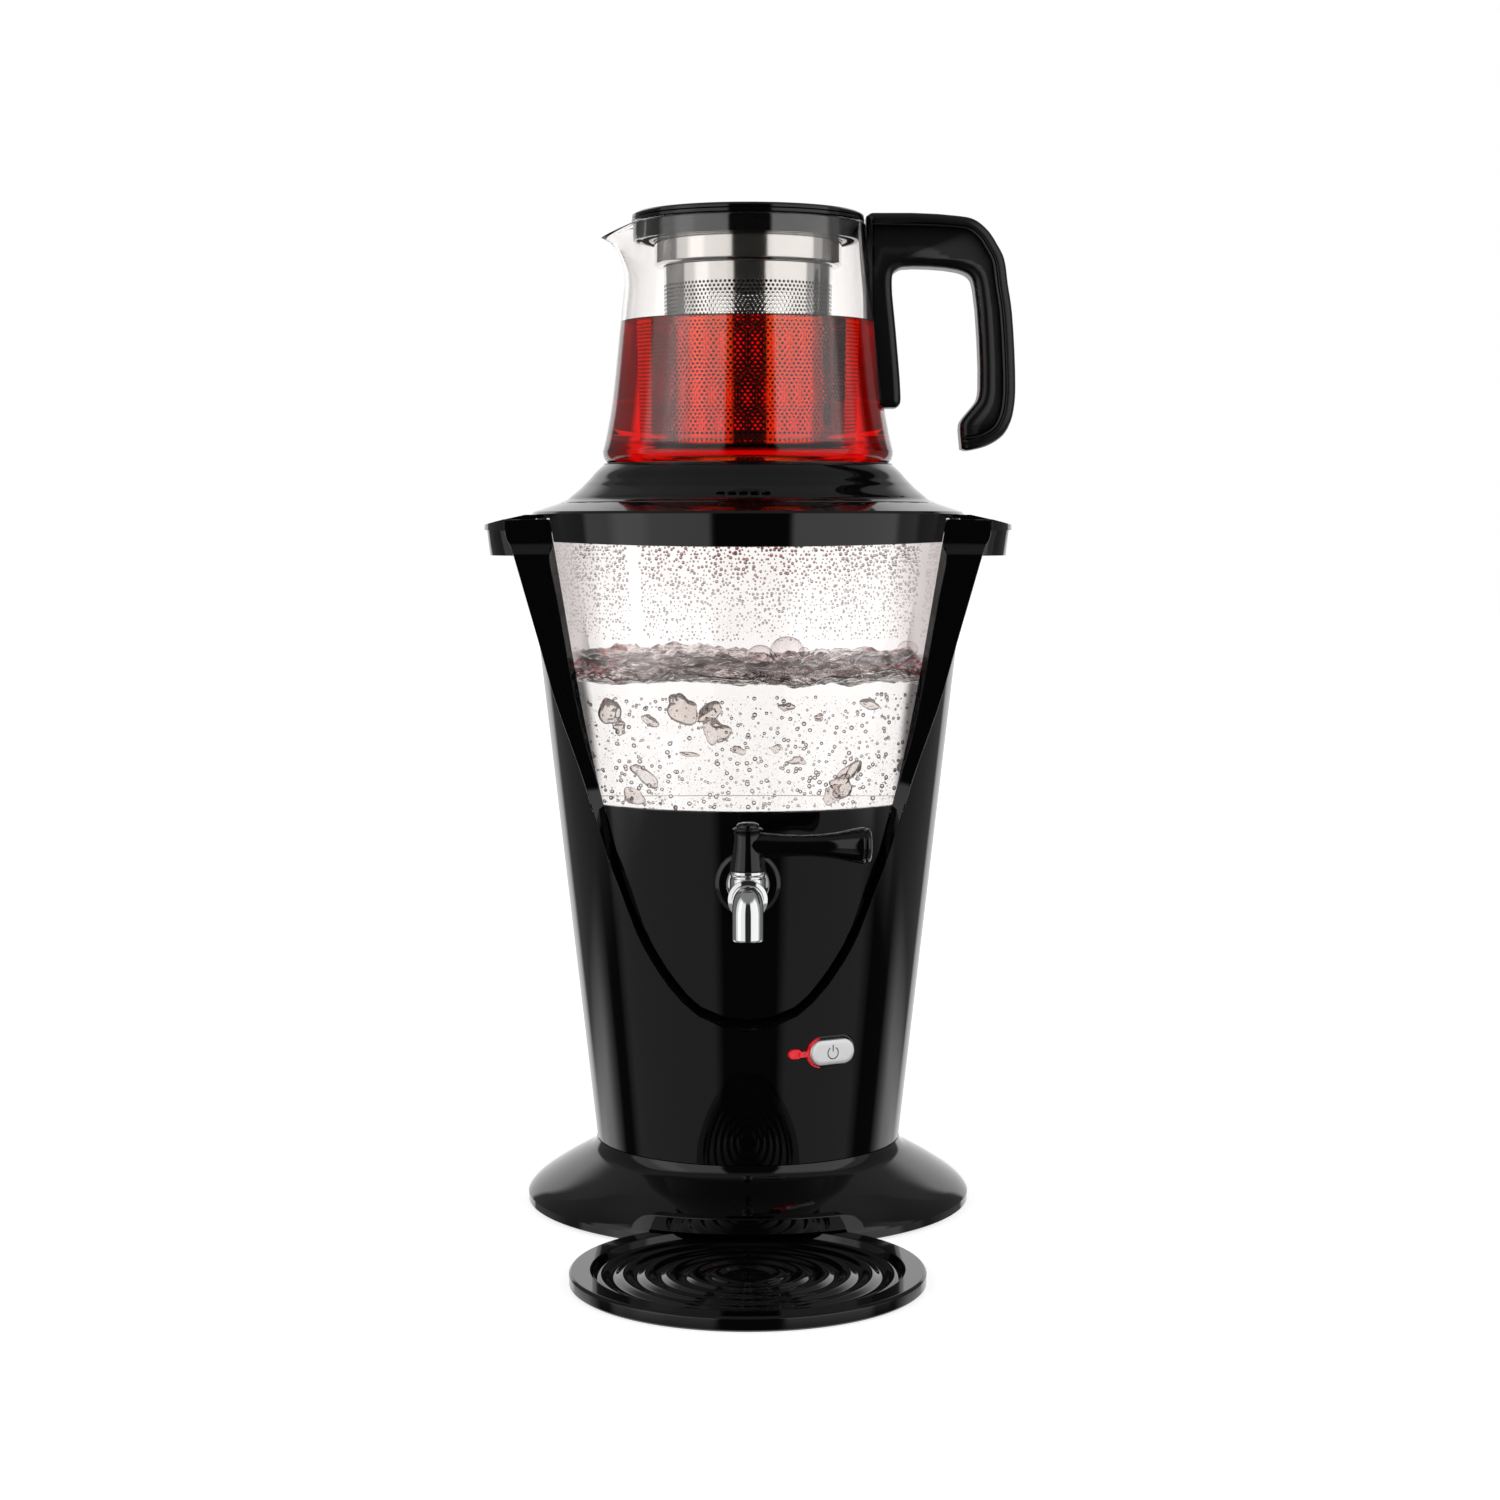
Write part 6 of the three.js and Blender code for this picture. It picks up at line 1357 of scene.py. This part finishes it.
def make_tea(context):
    """Tea up to its level, with a small rise where it wets the glass."""
    level = context.scene.samovar_sizes.tea_level / MM
    floor, overlap = POT_BASE + POT_FLOOR, 0.1
    wall = [p for p in pot_wall(POT_WALL - 0.15, 8) if floor + 6.0 < p[1] < level - 0.5]
    first, last = wall[0][0], wall[-1][0]
    outline = [(0.0, floor - overlap), (first - 6.0, floor - overlap),
               (first - 2.2, floor + 1.2 - overlap), (first - 0.3, floor + 4.0), *wall,
               (last - 0.1, level + 0.7), (last - 0.7, level + 0.2), (last - 2.0, level),
               (0.0, level)]
    place("Tea", to_mesh("Tea", lathe(outline, 128)), "tea", "teapot",
          sharp=60.0)


def handle_groove(points, face):
    """Thin round bar along the handle's outer edge, to cut the parting groove with."""
    line = smooth_line(points, 4)
    inset, half, around = 5.6, 0.5, 6
    sections = []
    for i, (x, z) in enumerate(line):
        before, after = line[max(i - 1, 0)], line[min(i + 1, len(line) - 1)]
        along = (Vector(after) - Vector(before)).normalized()
        side = Vector((along.y, -along.x))
        section = []
        for k in range(around):
            angle = math.tau * (k + 0.5) / around
            out = inset + half * math.cos(angle)
            section.append((x + side.x * out, face + half * math.sin(angle), z + side.y * out))
        sections.append(section)
    return swept(sections)


def raised_outline(context, outline, half_width, edge):
    """A mesh in metres: an outline of X and Z with a thickness along Y and rounded edges."""
    shape = bpy.data.curves.new("outline", "CURVE")
    shape.dimensions = "2D"
    shape.fill_mode = "BOTH"
    shape.extrude = (half_width - edge) * MM
    shape.bevel_depth = edge * MM
    shape.bevel_resolution = 6
    shape.offset = -edge * MM
    spline = shape.splines.new("POLY")
    spline.points.add(len(outline) - 1)
    for point, (x, z) in zip(spline.points, outline):
        point.co = (x * MM, z * MM, 0.0, 1.0)
    spline.use_cyclic_u = True
    holder = bpy.data.objects.new("outline", shape)
    context.scene.collection.objects.link(holder)
    graph = context.evaluated_depsgraph_get()
    mesh = bpy.data.meshes.new_from_object(holder.evaluated_get(graph))
    bpy.data.objects.remove(holder)
    mesh.transform(Matrix.Rotation(math.radians(90), 4, "X"))
    join_and_turn_outward(mesh)
    return mesh


def make_pot_handle(context):
    """Open D-shaped handle with generously rounded edges, fitted against the glass."""
    points = [(POT_RIM_RADIUS + a * (HANDLE_REACH - POT_RIM_RADIUS),
               HANDLE_LOW + b * (HANDLE_TOP - HANDLE_LOW)) for a, b in HANDLE_SHARES]
    # The curve may not swing past the handle's own height and reach
    curved = [(min(x, HANDLE_REACH), min(z, HANDLE_TOP)) for x, z in smooth_outline(points, 4)]
    outline = rounded(curved, 4.5, 6, closed=False)
    mesh = raised_outline(context, outline, HANDLE_HALF_WIDTH, 3.8)
    gap, over = 0.3, HANDLE_TOP + 10.0
    room = [(r + gap, z) for r, z in pot_wall(0.0, 4)]
    room = [(0.0, POT_BASE), (POT_BASE_RADIUS + gap, POT_BASE), *room,
            (POT_RIM_RADIUS + gap, over), (0.0, over)]
    mesh = combined(mesh, to_mesh("room", lathe(room, 200)))
    for face in (-HANDLE_HALF_WIDTH, HANDLE_HALF_WIDTH):
        mesh = combined(mesh, to_mesh("groove", handle_groove(points[1:16], face)))
    place("Teapot_handle_grip", mesh, "satin_black", "teapot", ["teapot_handle"], sharp=50.0)


def make_infuser(context):
    """Black collar, steel ring and punched steel cup."""
    bore, inner, groove_in, groove_out, rim = 44.6, 46.8, 50.2, 52.4, 55.0
    under = COLLAR_TOP - 1.6
    collar = rounded([(bore, COLLAR_BOTTOM), (inner, COLLAR_BOTTOM), (inner, under),
                      (groove_in, under), (groove_in, COLLAR_BOTTOM), (groove_out, COLLAR_BOTTOM),
                      (groove_out, under), (rim, under), (rim, COLLAR_TOP), (bore, COLLAR_TOP)], 0.4)
    place("Infuser_collar_ring", to_mesh("Infuser_collar_ring", lathe(collar, 160)),
          "gloss_black", "infuser", ["infuser_collar"], turned=True)
    radius, wall, inner_edge, corner = 44.3, 0.8, 39.1, 1.1
    top = under - 0.3
    ring = rounded([(inner_edge, RING_BOTTOM), (radius - corner, RING_BOTTOM),
                    (radius, RING_BOTTOM + 1.3), (radius, top), (radius - wall, top),
                    (radius - wall, RING_BOTTOM + 1.7), (radius - 1.5, RING_BOTTOM + wall),
                    (inner_edge, RING_BOTTOM + wall)], 1.2, 4)
    place("Infuser_steel_ring", to_mesh("Infuser_steel_ring", lathe(ring, 160)), "steel",
          "infuser", ["strainer_ring"], turned=True)
    outside, inside = punched_cup(context)
    place("Infuser_punched_cup", to_mesh("Infuser_punched_cup", outside), "steel",
          "infuser", ["strainer_cup"], sharp=25.0)
    # The cup's inside sheet is steel darkened as painted shade
    place("Infuser_cup_inside", to_mesh("Infuser_cup_inside", inside), "shaded_inner_steel",
          "infuser", sharp=25.0)


def punched_cup(context):
    """Thin steel cup in two sheets: round holes in its wall, a row of slots and a floor."""
    # The real holes are near 1.6 mm apart; drawn a little coarser so that they show
    pitch = context.scene.samovar_sizes.hole_pitch / MM
    columns = round(math.tau * 39.3 / pitch)
    step, hole_radius = pitch * 0.87, 0.325 * pitch
    bottom = POT_BASE + POT_FLOOR + 1.0
    low, high = bottom + 7.0, CUP_TOP - 7.4
    rows = int((high - low) / step)
    slot_z, slot_half_height, slot_plate = low - 3.2, 1.4, 1.9
    sheets = {0.0: ([], []), CUP_WALL: ([], [])}

    def point(turn, z, inset, sheet):
        flare = (z - bottom) / (CUP_TOP - bottom) * CUP_FLARE
        radius = CUP_BOTTOM_RADIUS + flare - inset
        angle = math.tau * turn / columns
        sheets[sheet][0].append((radius * math.cos(angle), radius * math.sin(angle), z))
        return len(sheets[sheet][0]) - 1

    def cell(middle, z, half_height, across, up):
        """A plate with a hole in it: six sides round twelve, and the hole's own wall."""
        border = [(-0.5, -1), (0, -1), (0.5, -1), (0.5, 1), (0, 1), (-0.5, 1)]
        turns = [math.tau * (k / 12 - 0.375) for k in range(12)]
        rim = [(middle + across / pitch * math.cos(t), z + up * math.sin(t)) for t in turns]
        for inset in (0.0, CUP_WALL):
            faces = sheets[inset][1]
            sides = [point(middle + a, z + b * half_height, inset, inset) for a, b in border]
            hole = [point(turn, height, inset, inset) for turn, height in rim]
            for i in range(6):
                plate = [sides[i], sides[(i + 1) % 6], hole[(2 * i + 2) % 12], hole[2 * i + 1],
                         hole[2 * i]]
                faces.append(plate if inset == 0.0 else plate[::-1])
            if inset == 0.0:
                deep = [point(turn, height, CUP_WALL, inset) for turn, height in rim]
                for k in range(12):
                    n = (k + 1) % 12
                    faces.append([hole[n], hole[k], deep[k], deep[n]])

    def band(levels):
        """A plain stretch of the wall, outside and inside."""
        for inset in (0.0, CUP_WALL):
            for a, b in zip(levels, levels[1:]):
                for k in range(2 * columns):
                    face = [point(k / 2, a, inset, inset), point((k + 1) / 2, a, inset, inset),
                            point((k + 1) / 2, b, inset, inset), point(k / 2, b, inset, inset)]
                    sheets[inset][1].append(face if inset == 0.0 else face[::-1])

    for row in range(rows):
        z = low + step * (row + 0.5)
        for column in range(columns):
            cell(column + 0.5 * (row % 2), z, step / 2, hole_radius, hole_radius)
    for column in range(columns):
        cell(column, slot_z, slot_plate, 0.3 * pitch, slot_half_height)
    corner = bottom + 0.8
    band([corner, slot_z - slot_plate])
    band([slot_z + slot_plate, low])
    band([low + step * rows, CUP_TOP - 4.0, CUP_TOP])
    outer = CUP_BOTTOM_RADIUS + 0.01
    floor = lathe([(0.0, bottom), (outer - 1.11, bottom), (outer - 0.31, bottom + 0.3),
                   (outer, corner), (outer - CUP_WALL, corner), (outer - 1.31, bottom + CUP_WALL),
                   (0.0, bottom + CUP_WALL)], 2 * columns)
    return joined([sheets[0.0], floor]), sheets[CUP_WALL]


def make_pot_lid():
    """Flat teapot lid with a crowned top and the plug that fits the infuser."""
    plug, plug_wall, plug_bottom, under = 41.8, 1.6, 463.0, 468.0
    crown, crown_edge, side_top = 49.0, 0.3, 469.4
    outline = rounded([(0.0, under - 1.0), (plug - plug_wall, under - 1.0),
                       (plug - plug_wall, plug_bottom), (plug, plug_bottom), (plug, under),
                       (POT_LID_RADIUS, under), (POT_LID_RADIUS, side_top),
                       (POT_LID_RADIUS - 1.4, POT_LID_TOP - crown_edge), (crown, POT_LID_TOP),
                       (0.0, POT_LID_TOP)], 0.45, 3)
    place("Teapot_lid_disc", to_mesh("Teapot_lid_disc", lathe(outline, 160)), "gloss_black",
          "teapot_lid", ["teapot_lid"], turned=True)


def make_tap():
    """Chrome tap body and spout, on a gloss black rosette."""
    bore, radius, back, front = 6.3, 15.0, 82.6, 87.4
    rosette = rounded([(bore, back), (radius, back), (radius, front - 1.4), (radius - 1.8, front),
                       (bore, front)], 1.2, 4)
    mesh = to_mesh("Tap_rosette", toward_front(rosette, TAP_Z, 96))
    place("Tap_rosette", mesh, "gloss_black", "base", ["tap_escutcheon"], sharp=40.0)
    flange, root, pipe, neck = PANEL_FACE + 3.5, 66.9, 6.0, 6.6
    barrel = rounded([(0.0, root), (pipe, root), (pipe, flange), (9.8, flange),
                      (9.8, flange + 1.4), (8.9, flange + 2.8), (7.4, flange + 4.0),
                      (neck, flange + 5.4), (neck, VALVE_Y), (0.0, VALVE_Y)], 0.8, 3)
    valve_radius, waist, low, high = 8.0, 7.5, 154.5, 171.8
    valve = rounded([(0.0, low), (5.4, low), (valve_radius, low + 2.7), (valve_radius, high - 3.6),
                     (waist, high - 3.0), (waist, high - 2.2), (valve_radius, high - 1.6),
                     (valve_radius, high), (0.0, high)], 0.8, 3)
    front = SPOUT_BACK - 0.3
    stub = rounded([(0.0, VALVE_Y), (pipe, VALVE_Y), (pipe, front), (0.0, front)], 0.4)
    at_valve = Matrix.Translation((0.0, -VALVE_Y, 0.0))
    mesh = to_mesh("body", toward_front(barrel, TAP_Z))
    mesh = combined(mesh, to_mesh("valve", moved(lathe(valve, 64), at_valve)), "UNION")
    mesh = combined(mesh, to_mesh("stub", toward_front(stub, SPOUT_Z)), "UNION")
    place("Tap_body_shell", mesh, "chrome", "base", ["tap_body"], sharp=30.0)
    place("Tap_spout_pipe", spout_mesh(), "chrome", "base", ["tap_spout"], sharp=50.0)


def spout_mesh():
    """Bent pipe with a collar at its back end and an open mouth."""
    radius, bore, bend, mouth = 6.9, 4.9, 6.9, 142.6
    path = [(SPOUT_BACK, SPOUT_Z), (SPOUT_BACK + 0.2, SPOUT_Z)]
    for k in range(13):
        angle = math.pi / 2 * k / 12
        path.append((SPOUT_Y - bend + bend * math.sin(angle), SPOUT_Z - bend + bend * math.cos(angle)))
    path += [(SPOUT_Y, mouth + rise) for rise in (5.4, 1.0, 0.3, 0.0)]
    outside = [radius] * (len(path) - 2) + [radius - 0.2, radius - 0.6]
    inside = [bore] * (len(path) - 1) + [bore + 0.5]
    count, vertices = 64, []
    up = Vector((1.0, 0.0, 0.0))
    for radii in (outside, inside):
        for i, (y, z) in enumerate(path):
            before, after = path[max(i - 1, 0)], path[min(i + 1, len(path) - 1)]
            along = Vector((0.0, before[0] - after[0], after[1] - before[1])).normalized()
            side = along.cross(up)
            for k in range(count):
                angle = math.tau * k / count
                offset = (up * math.cos(angle) + side * math.sin(angle)) * radii[i]
                vertices.append((offset.x, -y + offset.y, z + offset.z))
    rows = [count * i for i in range(2 * len(path))]
    loop = [*rows[:len(path)], *rows[:len(path) - 1:-1], rows[0]]
    mesh = to_mesh("spout", (vertices, ring_faces(loop, count)))
    collar, collar_bore, end = 8.8, 6.0, SPOUT_BACK + 2.2
    outline = rounded([(collar_bore, SPOUT_BACK), (collar, SPOUT_BACK), (collar, end - 0.7),
                       (7.0, end), (collar_bore, end)], 0.5, 3)
    return combined(mesh, to_mesh("collar", toward_front(outline, SPOUT_Z)), "UNION")


def make_lever():
    """Lever: a waisted hub with a flared arm to the right, blended where they meet."""
    hub_radius, arm_root = 7.9, 5.9
    hub_shares = [(1, 0), (0.98, 0.08), (0.9, 0.25), (0.81, 0.45), (0.775, 0.6), (0.785, 0.72),
                  (0.80, 0.775), (0.74, 0.795), (0.80, 0.815), (0.87, 0.835), (0.87, 0.86),
                  (0.80, 0.88), (0.70, 0.89), (0.68, 0.905), (0.64, 0.94), (0.52, 0.975),
                  (0.28, 0.995)]
    hub = [(r * hub_radius, LEVER_BOTTOM + up * (LEVER_TOP - LEVER_BOTTOM))
           for r, up in hub_shares]
    hub = [(0.0, LEVER_BOTTOM), *smooth_line(hub[:7], 4), hub[7], *smooth_line(hub[8:12], 3),
           hub[12], *smooth_line(hub[13:], 4), (0.0, LEVER_TOP)]
    # Along the arm as shares of its reach, and the radius there
    arm_places = [(0.12, 5.9), (0.2, 5.4), (0.33, 4.9), (0.45, 4.75), (0.58, 5.0), (0.7, 5.8),
                  (0.8, 6.9), (0.88, 7.8), (0.925, 8.1), (0.942, 7.95), (0.948, 7.5),
                  (0.956, 7.6), (0.975, 7.5), (0.99, 7.0), (1.0, 5.8)]
    arm = [(out, along * LEVER_REACH) for along, out in arm_places]
    arm = [(0.0, 0.0), (arm_root, 0.0), *smooth_line(arm[:10], 4), arm[10],
           *smooth_line(arm[11:], 3), (0.0, LEVER_REACH)]
    to_the_right = (Matrix.Translation((0.0, -VALVE_Y, LEVER_ARM_Z))
                    @ Matrix.Rotation(math.radians(90), 4, "Y"))
    at_valve = Matrix.Translation((0.0, -VALVE_Y, 0.0))
    mesh = to_mesh("hub", moved(lathe(hub, 64), at_valve))
    mesh = combined(mesh, to_mesh("arm", moved(lathe(arm, 64), to_the_right)), "UNION")
    place("Tap_lever_grip", mesh, "gloss_black", "tap_lever", ["tap_lever"], sharp=40.0)


def at_button(shape):
    """Stand a shape drawn in X and Y, facing +Z, on the housing where the button is."""
    turn = (Matrix.Rotation(math.radians(BUTTON_AZIMUTH), 4, "Z")
            @ Matrix.Translation((0.0, 0.0, BUTTON_Z)) @ Matrix.Rotation(math.radians(90), 4, "X"))
    return moved(shape, turn)


def make_light_guide():
    """Clear red guide that carries the lamp's light from the lens round the button's left end."""
    face = body_radius(BUTTON_Z) - 0.2
    gap, width, depth, left_of = 1.5, 1.3, 1.4, -4.0
    outer = stadium(BUTTON_WIDTH + gap, BUTTON_HEIGHT + gap, 12)
    inner = stadium(BUTTON_WIDTH + gap - width, BUTTON_HEIGHT + gap - width, 12)
    pieces, count = [], len(outer)
    for k in range(count):
        n = (k + 1) % count
        if (outer[k][0] + outer[n][0]) / 2 < left_of:
            pieces.append(prism([outer[k], outer[n], inner[n], inner[k]], face - depth, face))
    bridge_left, bridge_right, half = -16.6, -12.6, 1.25
    pieces.append(prism([(bridge_left, -half), (bridge_right, -half), (bridge_right, half),
                         (bridge_left, half)], face - 1.2, face + 0.15))
    mesh = to_mesh("Red_light_guide", at_button(joined(pieces)))
    place("Red_light_guide", mesh, "red_lens", "base")


def power_sign(face):
    """Generic power sign, printed on the cap: an open ring and a bar."""
    front, back = face + 0.13, face - 0.3
    radius, inner_share, lift, gap, steps = 3.0, 0.82, -0.3, 64, 28
    ring = []
    for k in range(steps + 1):
        angle = math.radians(90 + gap / 2 + (360 - gap) * k / steps)
        ring.append((radius * math.cos(angle), radius * math.sin(angle) + lift))
    inner = [(x * inner_share, (y - lift) * inner_share + lift) for x, y in ring]
    sign = [prism([ring[k], ring[k + 1], inner[k + 1], inner[k]], back, front)
            for k in range(steps)]
    half, low, high = 0.27, 0.4, 3.4
    sign.append(prism([(-half, low), (half, low), (half, high), (-half, high)], back, front))
    return joined(sign)


def make_button():
    """Push button with its printed power sign, and the red lens beside it."""
    face, gap = body_radius(BUTTON_Z) + 1.2, 0.6
    # Inset and depth of each row from the cap's back round its edge to its face
    rings = [(0.0, 6.0), (0.0, 0.7), (0.25, 0.25), (0.7, 0.0), (2.2, -0.08)]
    sections = []
    for inset, depth in rings:
        width, height = BUTTON_WIDTH - gap - 2 * inset, BUTTON_HEIGHT - gap - 2 * inset
        sections.append([(x, y, face - depth) for x, y in stadium(width, height, 10)])
    mesh = to_mesh("Power_button_cap", at_button(swept(sections)))
    place("Power_button_cap", mesh, "button_silver", "power_button", ["power_button"], sharp=50.0)
    mesh = to_mesh("Power_sign", at_button(power_sign(face)))
    place("Power_sign", mesh, "ink", "power_button")
    make_light_guide()
    lens = solid_copy("indicator_lens", 0.3 * MM)
    place("Indicator_lens_cap", lens, "red_lens", "base", ["indicator_lens"])


def make_tray():
    """Round drip tray: a broad flat rim, a sloping inner edge and six raised rings."""
    edge, ring_count, first_ring, ring_pitch, ring_height = 1.0, 6, 13.9, 9.8, 1.7
    rim = TRAY_RADIUS - TRAY_RIM
    outline = [(0.0, 0.0), (TRAY_RADIUS - edge, 0.0), (TRAY_RADIUS, edge),
               (TRAY_RADIUS, TRAY_HEIGHT - edge), (TRAY_RADIUS - edge, TRAY_HEIGHT),
               (rim + 0.6, TRAY_HEIGHT), (rim - 1.2, TRAY_FLOOR)]
    for i in reversed(range(ring_count)):
        middle = first_ring + i * ring_pitch
        for k in range(12):
            t = -1 + k / 6
            outline.append((middle - t * ring_pitch / 2,
                            TRAY_FLOOR + ring_height * (0.5 + 0.5 * math.cos(t * math.pi))))
    outline += [(first_ring - ring_pitch / 2, TRAY_FLOOR), (0.0, TRAY_FLOOR)]
    outline = rounded(outline, 0.7, 3)
    shape = moved(lathe(outline, 192), Matrix.Translation((0.0, TRAY_Y, 0.0)))
    place("Drip_tray_dish", to_mesh("Drip_tray_dish", shape), "gloss_black", "drip_tray",
          ["drip_tray"], sharp=40.0)


# Operators


class SAMOVAR_OT_stage(bpy.types.Operator):
    """Camera, studio light and floor"""

    bl_idname = "samovar.stage"
    bl_label = "Stage"

    def execute(self, context):
        add_camera(context)
        add_surround(context)
        add_floor(context)
        return {"FINISHED"}


class SAMOVAR_OT_base(bpy.types.Operator):
    """Foot, housing, panels and ring"""

    bl_idname = "samovar.base"
    bl_label = "Housing and foot"

    def execute(self, context):
        make_base(context)
        return {"FINISHED"}


class SAMOVAR_OT_window_frames(bpy.types.Operator):
    """Window frames and carrying ears"""

    bl_idname = "samovar.window_frames"
    bl_label = "Window frames and ears"

    def execute(self, context):
        make_window_frames(context)
        return {"FINISHED"}


class SAMOVAR_OT_tank(bpy.types.Operator):
    """Glass tank"""

    bl_idname = "samovar.tank"
    bl_label = "Glass tank"

    def execute(self, context):
        make_tank()
        return {"FINISHED"}


class SAMOVAR_OT_water(bpy.types.Operator):
    """Boiling water, its bubbles and the condensation over it"""

    bl_idname = "samovar.water"
    bl_label = "Boiling water"

    def execute(self, context):
        make_water(context)
        make_bubbles(context)
        make_beads(context)
        return {"FINISHED"}


class SAMOVAR_OT_tank_lid(bpy.types.Operator):
    """Tank lid with its vents"""

    bl_idname = "samovar.tank_lid"
    bl_label = "Tank lid"

    def execute(self, context):
        make_tank_lid()
        return {"FINISHED"}


class SAMOVAR_OT_teapot(bpy.types.Operator):
    """Glass teapot, its tea and its handle"""

    bl_idname = "samovar.teapot"
    bl_label = "Teapot"

    def execute(self, context):
        make_teapot()
        make_tea(context)
        make_pot_handle(context)
        return {"FINISHED"}


class SAMOVAR_OT_infuser(bpy.types.Operator):
    """Infuser collar, ring and cup"""

    bl_idname = "samovar.infuser"
    bl_label = "Infuser"

    def execute(self, context):
        make_infuser(context)
        return {"FINISHED"}


class SAMOVAR_OT_pot_lid(bpy.types.Operator):
    """Teapot lid"""

    bl_idname = "samovar.pot_lid"
    bl_label = "Teapot lid"

    def execute(self, context):
        make_pot_lid()
        return {"FINISHED"}


class SAMOVAR_OT_tap(bpy.types.Operator):
    """Tap body, spout, rosette and lever"""

    bl_idname = "samovar.tap"
    bl_label = "Tap and lever"

    def execute(self, context):
        make_tap()
        make_lever()
        return {"FINISHED"}


class SAMOVAR_OT_button(bpy.types.Operator):
    """Power button and red lens"""

    bl_idname = "samovar.button"
    bl_label = "Button and lens"

    def execute(self, context):
        make_button()
        return {"FINISHED"}


class SAMOVAR_OT_tray(bpy.types.Operator):
    """Drip tray"""

    bl_idname = "samovar.tray"
    bl_label = "Drip tray"

    def execute(self, context):
        make_tray()
        return {"FINISHED"}


# Solids that no finer piece stands for, with the finish that each one gets
INNER_PIECES = (
    (["base_plate", "inner_chassis", "switch_body", "terminal_block"], "inner_plastic"),
    ([f"rubber_foot_{i}" for i in range(1, 5)] + ["cord_gland"], "rubber"),
    ([f"base_screw_{i}" for i in range(1, 5)] + ["heater_plate", "heating_element", "tap_nut",
                                                "tap_plug"], "steel"),
    (["tank_seal", "tap_hose"], "silicone"),
    (["thermostat"], "satin_black"),
)


class SAMOVAR_OT_inner_pieces(bpy.types.Operator):
    """Finishes of the solids that are shown as they are"""

    bl_idname = "samovar.inner_pieces"
    bl_label = "Inner pieces"

    def execute(self, context):
        for nodes, slot in INNER_PIECES:
            for node in nodes:
                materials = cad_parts[node].data.materials
                if not materials:
                    materials.append(finish(slot))
                for i in range(len(materials)):
                    materials[i] = finish(slot)
        return {"FINISHED"}


# The operators in the order in which main calls them
STEPS = ("stage", "base", "window_frames", "tank", "water", "tank_lid", "teapot", "infuser",
         "pot_lid", "tap", "button", "tray", "inner_pieces")


class SAMOVAR_PT_panel(bpy.types.Panel):
    """Settings of the samovar, and one button for each group of pieces"""

    bl_idname = "SAMOVAR_PT_panel"
    bl_label = "Samovar"
    bl_space_type = "VIEW_3D"
    bl_region_type = "UI"
    bl_category = "Samovar"

    def draw(self, context):
        layout = self.layout
        for group in (context.scene.samovar_sizes, context.scene.samovar_colours,
                      context.scene.samovar_light):
            box = layout.box()
            for key in group.__annotations__:
                box.prop(group, key)
        for step in STEPS:
            layout.operator(f"samovar.{step}")


CLASSES = (
    SamovarSizes, SamovarColours, SamovarLight, SAMOVAR_OT_stage, SAMOVAR_OT_base,
    SAMOVAR_OT_window_frames, SAMOVAR_OT_tank, SAMOVAR_OT_water, SAMOVAR_OT_tank_lid,
    SAMOVAR_OT_teapot, SAMOVAR_OT_infuser, SAMOVAR_OT_pot_lid, SAMOVAR_OT_tap,
    SAMOVAR_OT_button, SAMOVAR_OT_tray, SAMOVAR_OT_inner_pieces, SAMOVAR_PT_panel,
)


def register():
    """Register the classes and give the scene their settings."""
    for item in CLASSES:
        bpy.utils.register_class(item)
    bpy.types.Scene.samovar_sizes = bpy.props.PointerProperty(type=SamovarSizes)
    bpy.types.Scene.samovar_colours = bpy.props.PointerProperty(type=SamovarColours)
    bpy.types.Scene.samovar_light = bpy.props.PointerProperty(type=SamovarLight)


def unregister():
    """Take the settings and the classes away again."""
    del bpy.types.Scene.samovar_light
    del bpy.types.Scene.samovar_colours
    del bpy.types.Scene.samovar_sizes
    for item in reversed(CLASSES):
        bpy.utils.unregister_class(item)


def main():
    """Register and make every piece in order."""
    register()
    bpy.context.scene.view_settings.view_transform = "Standard"
    for step in STEPS:
        getattr(bpy.ops.samovar, step)()


if __name__ == "__main__":
    main()
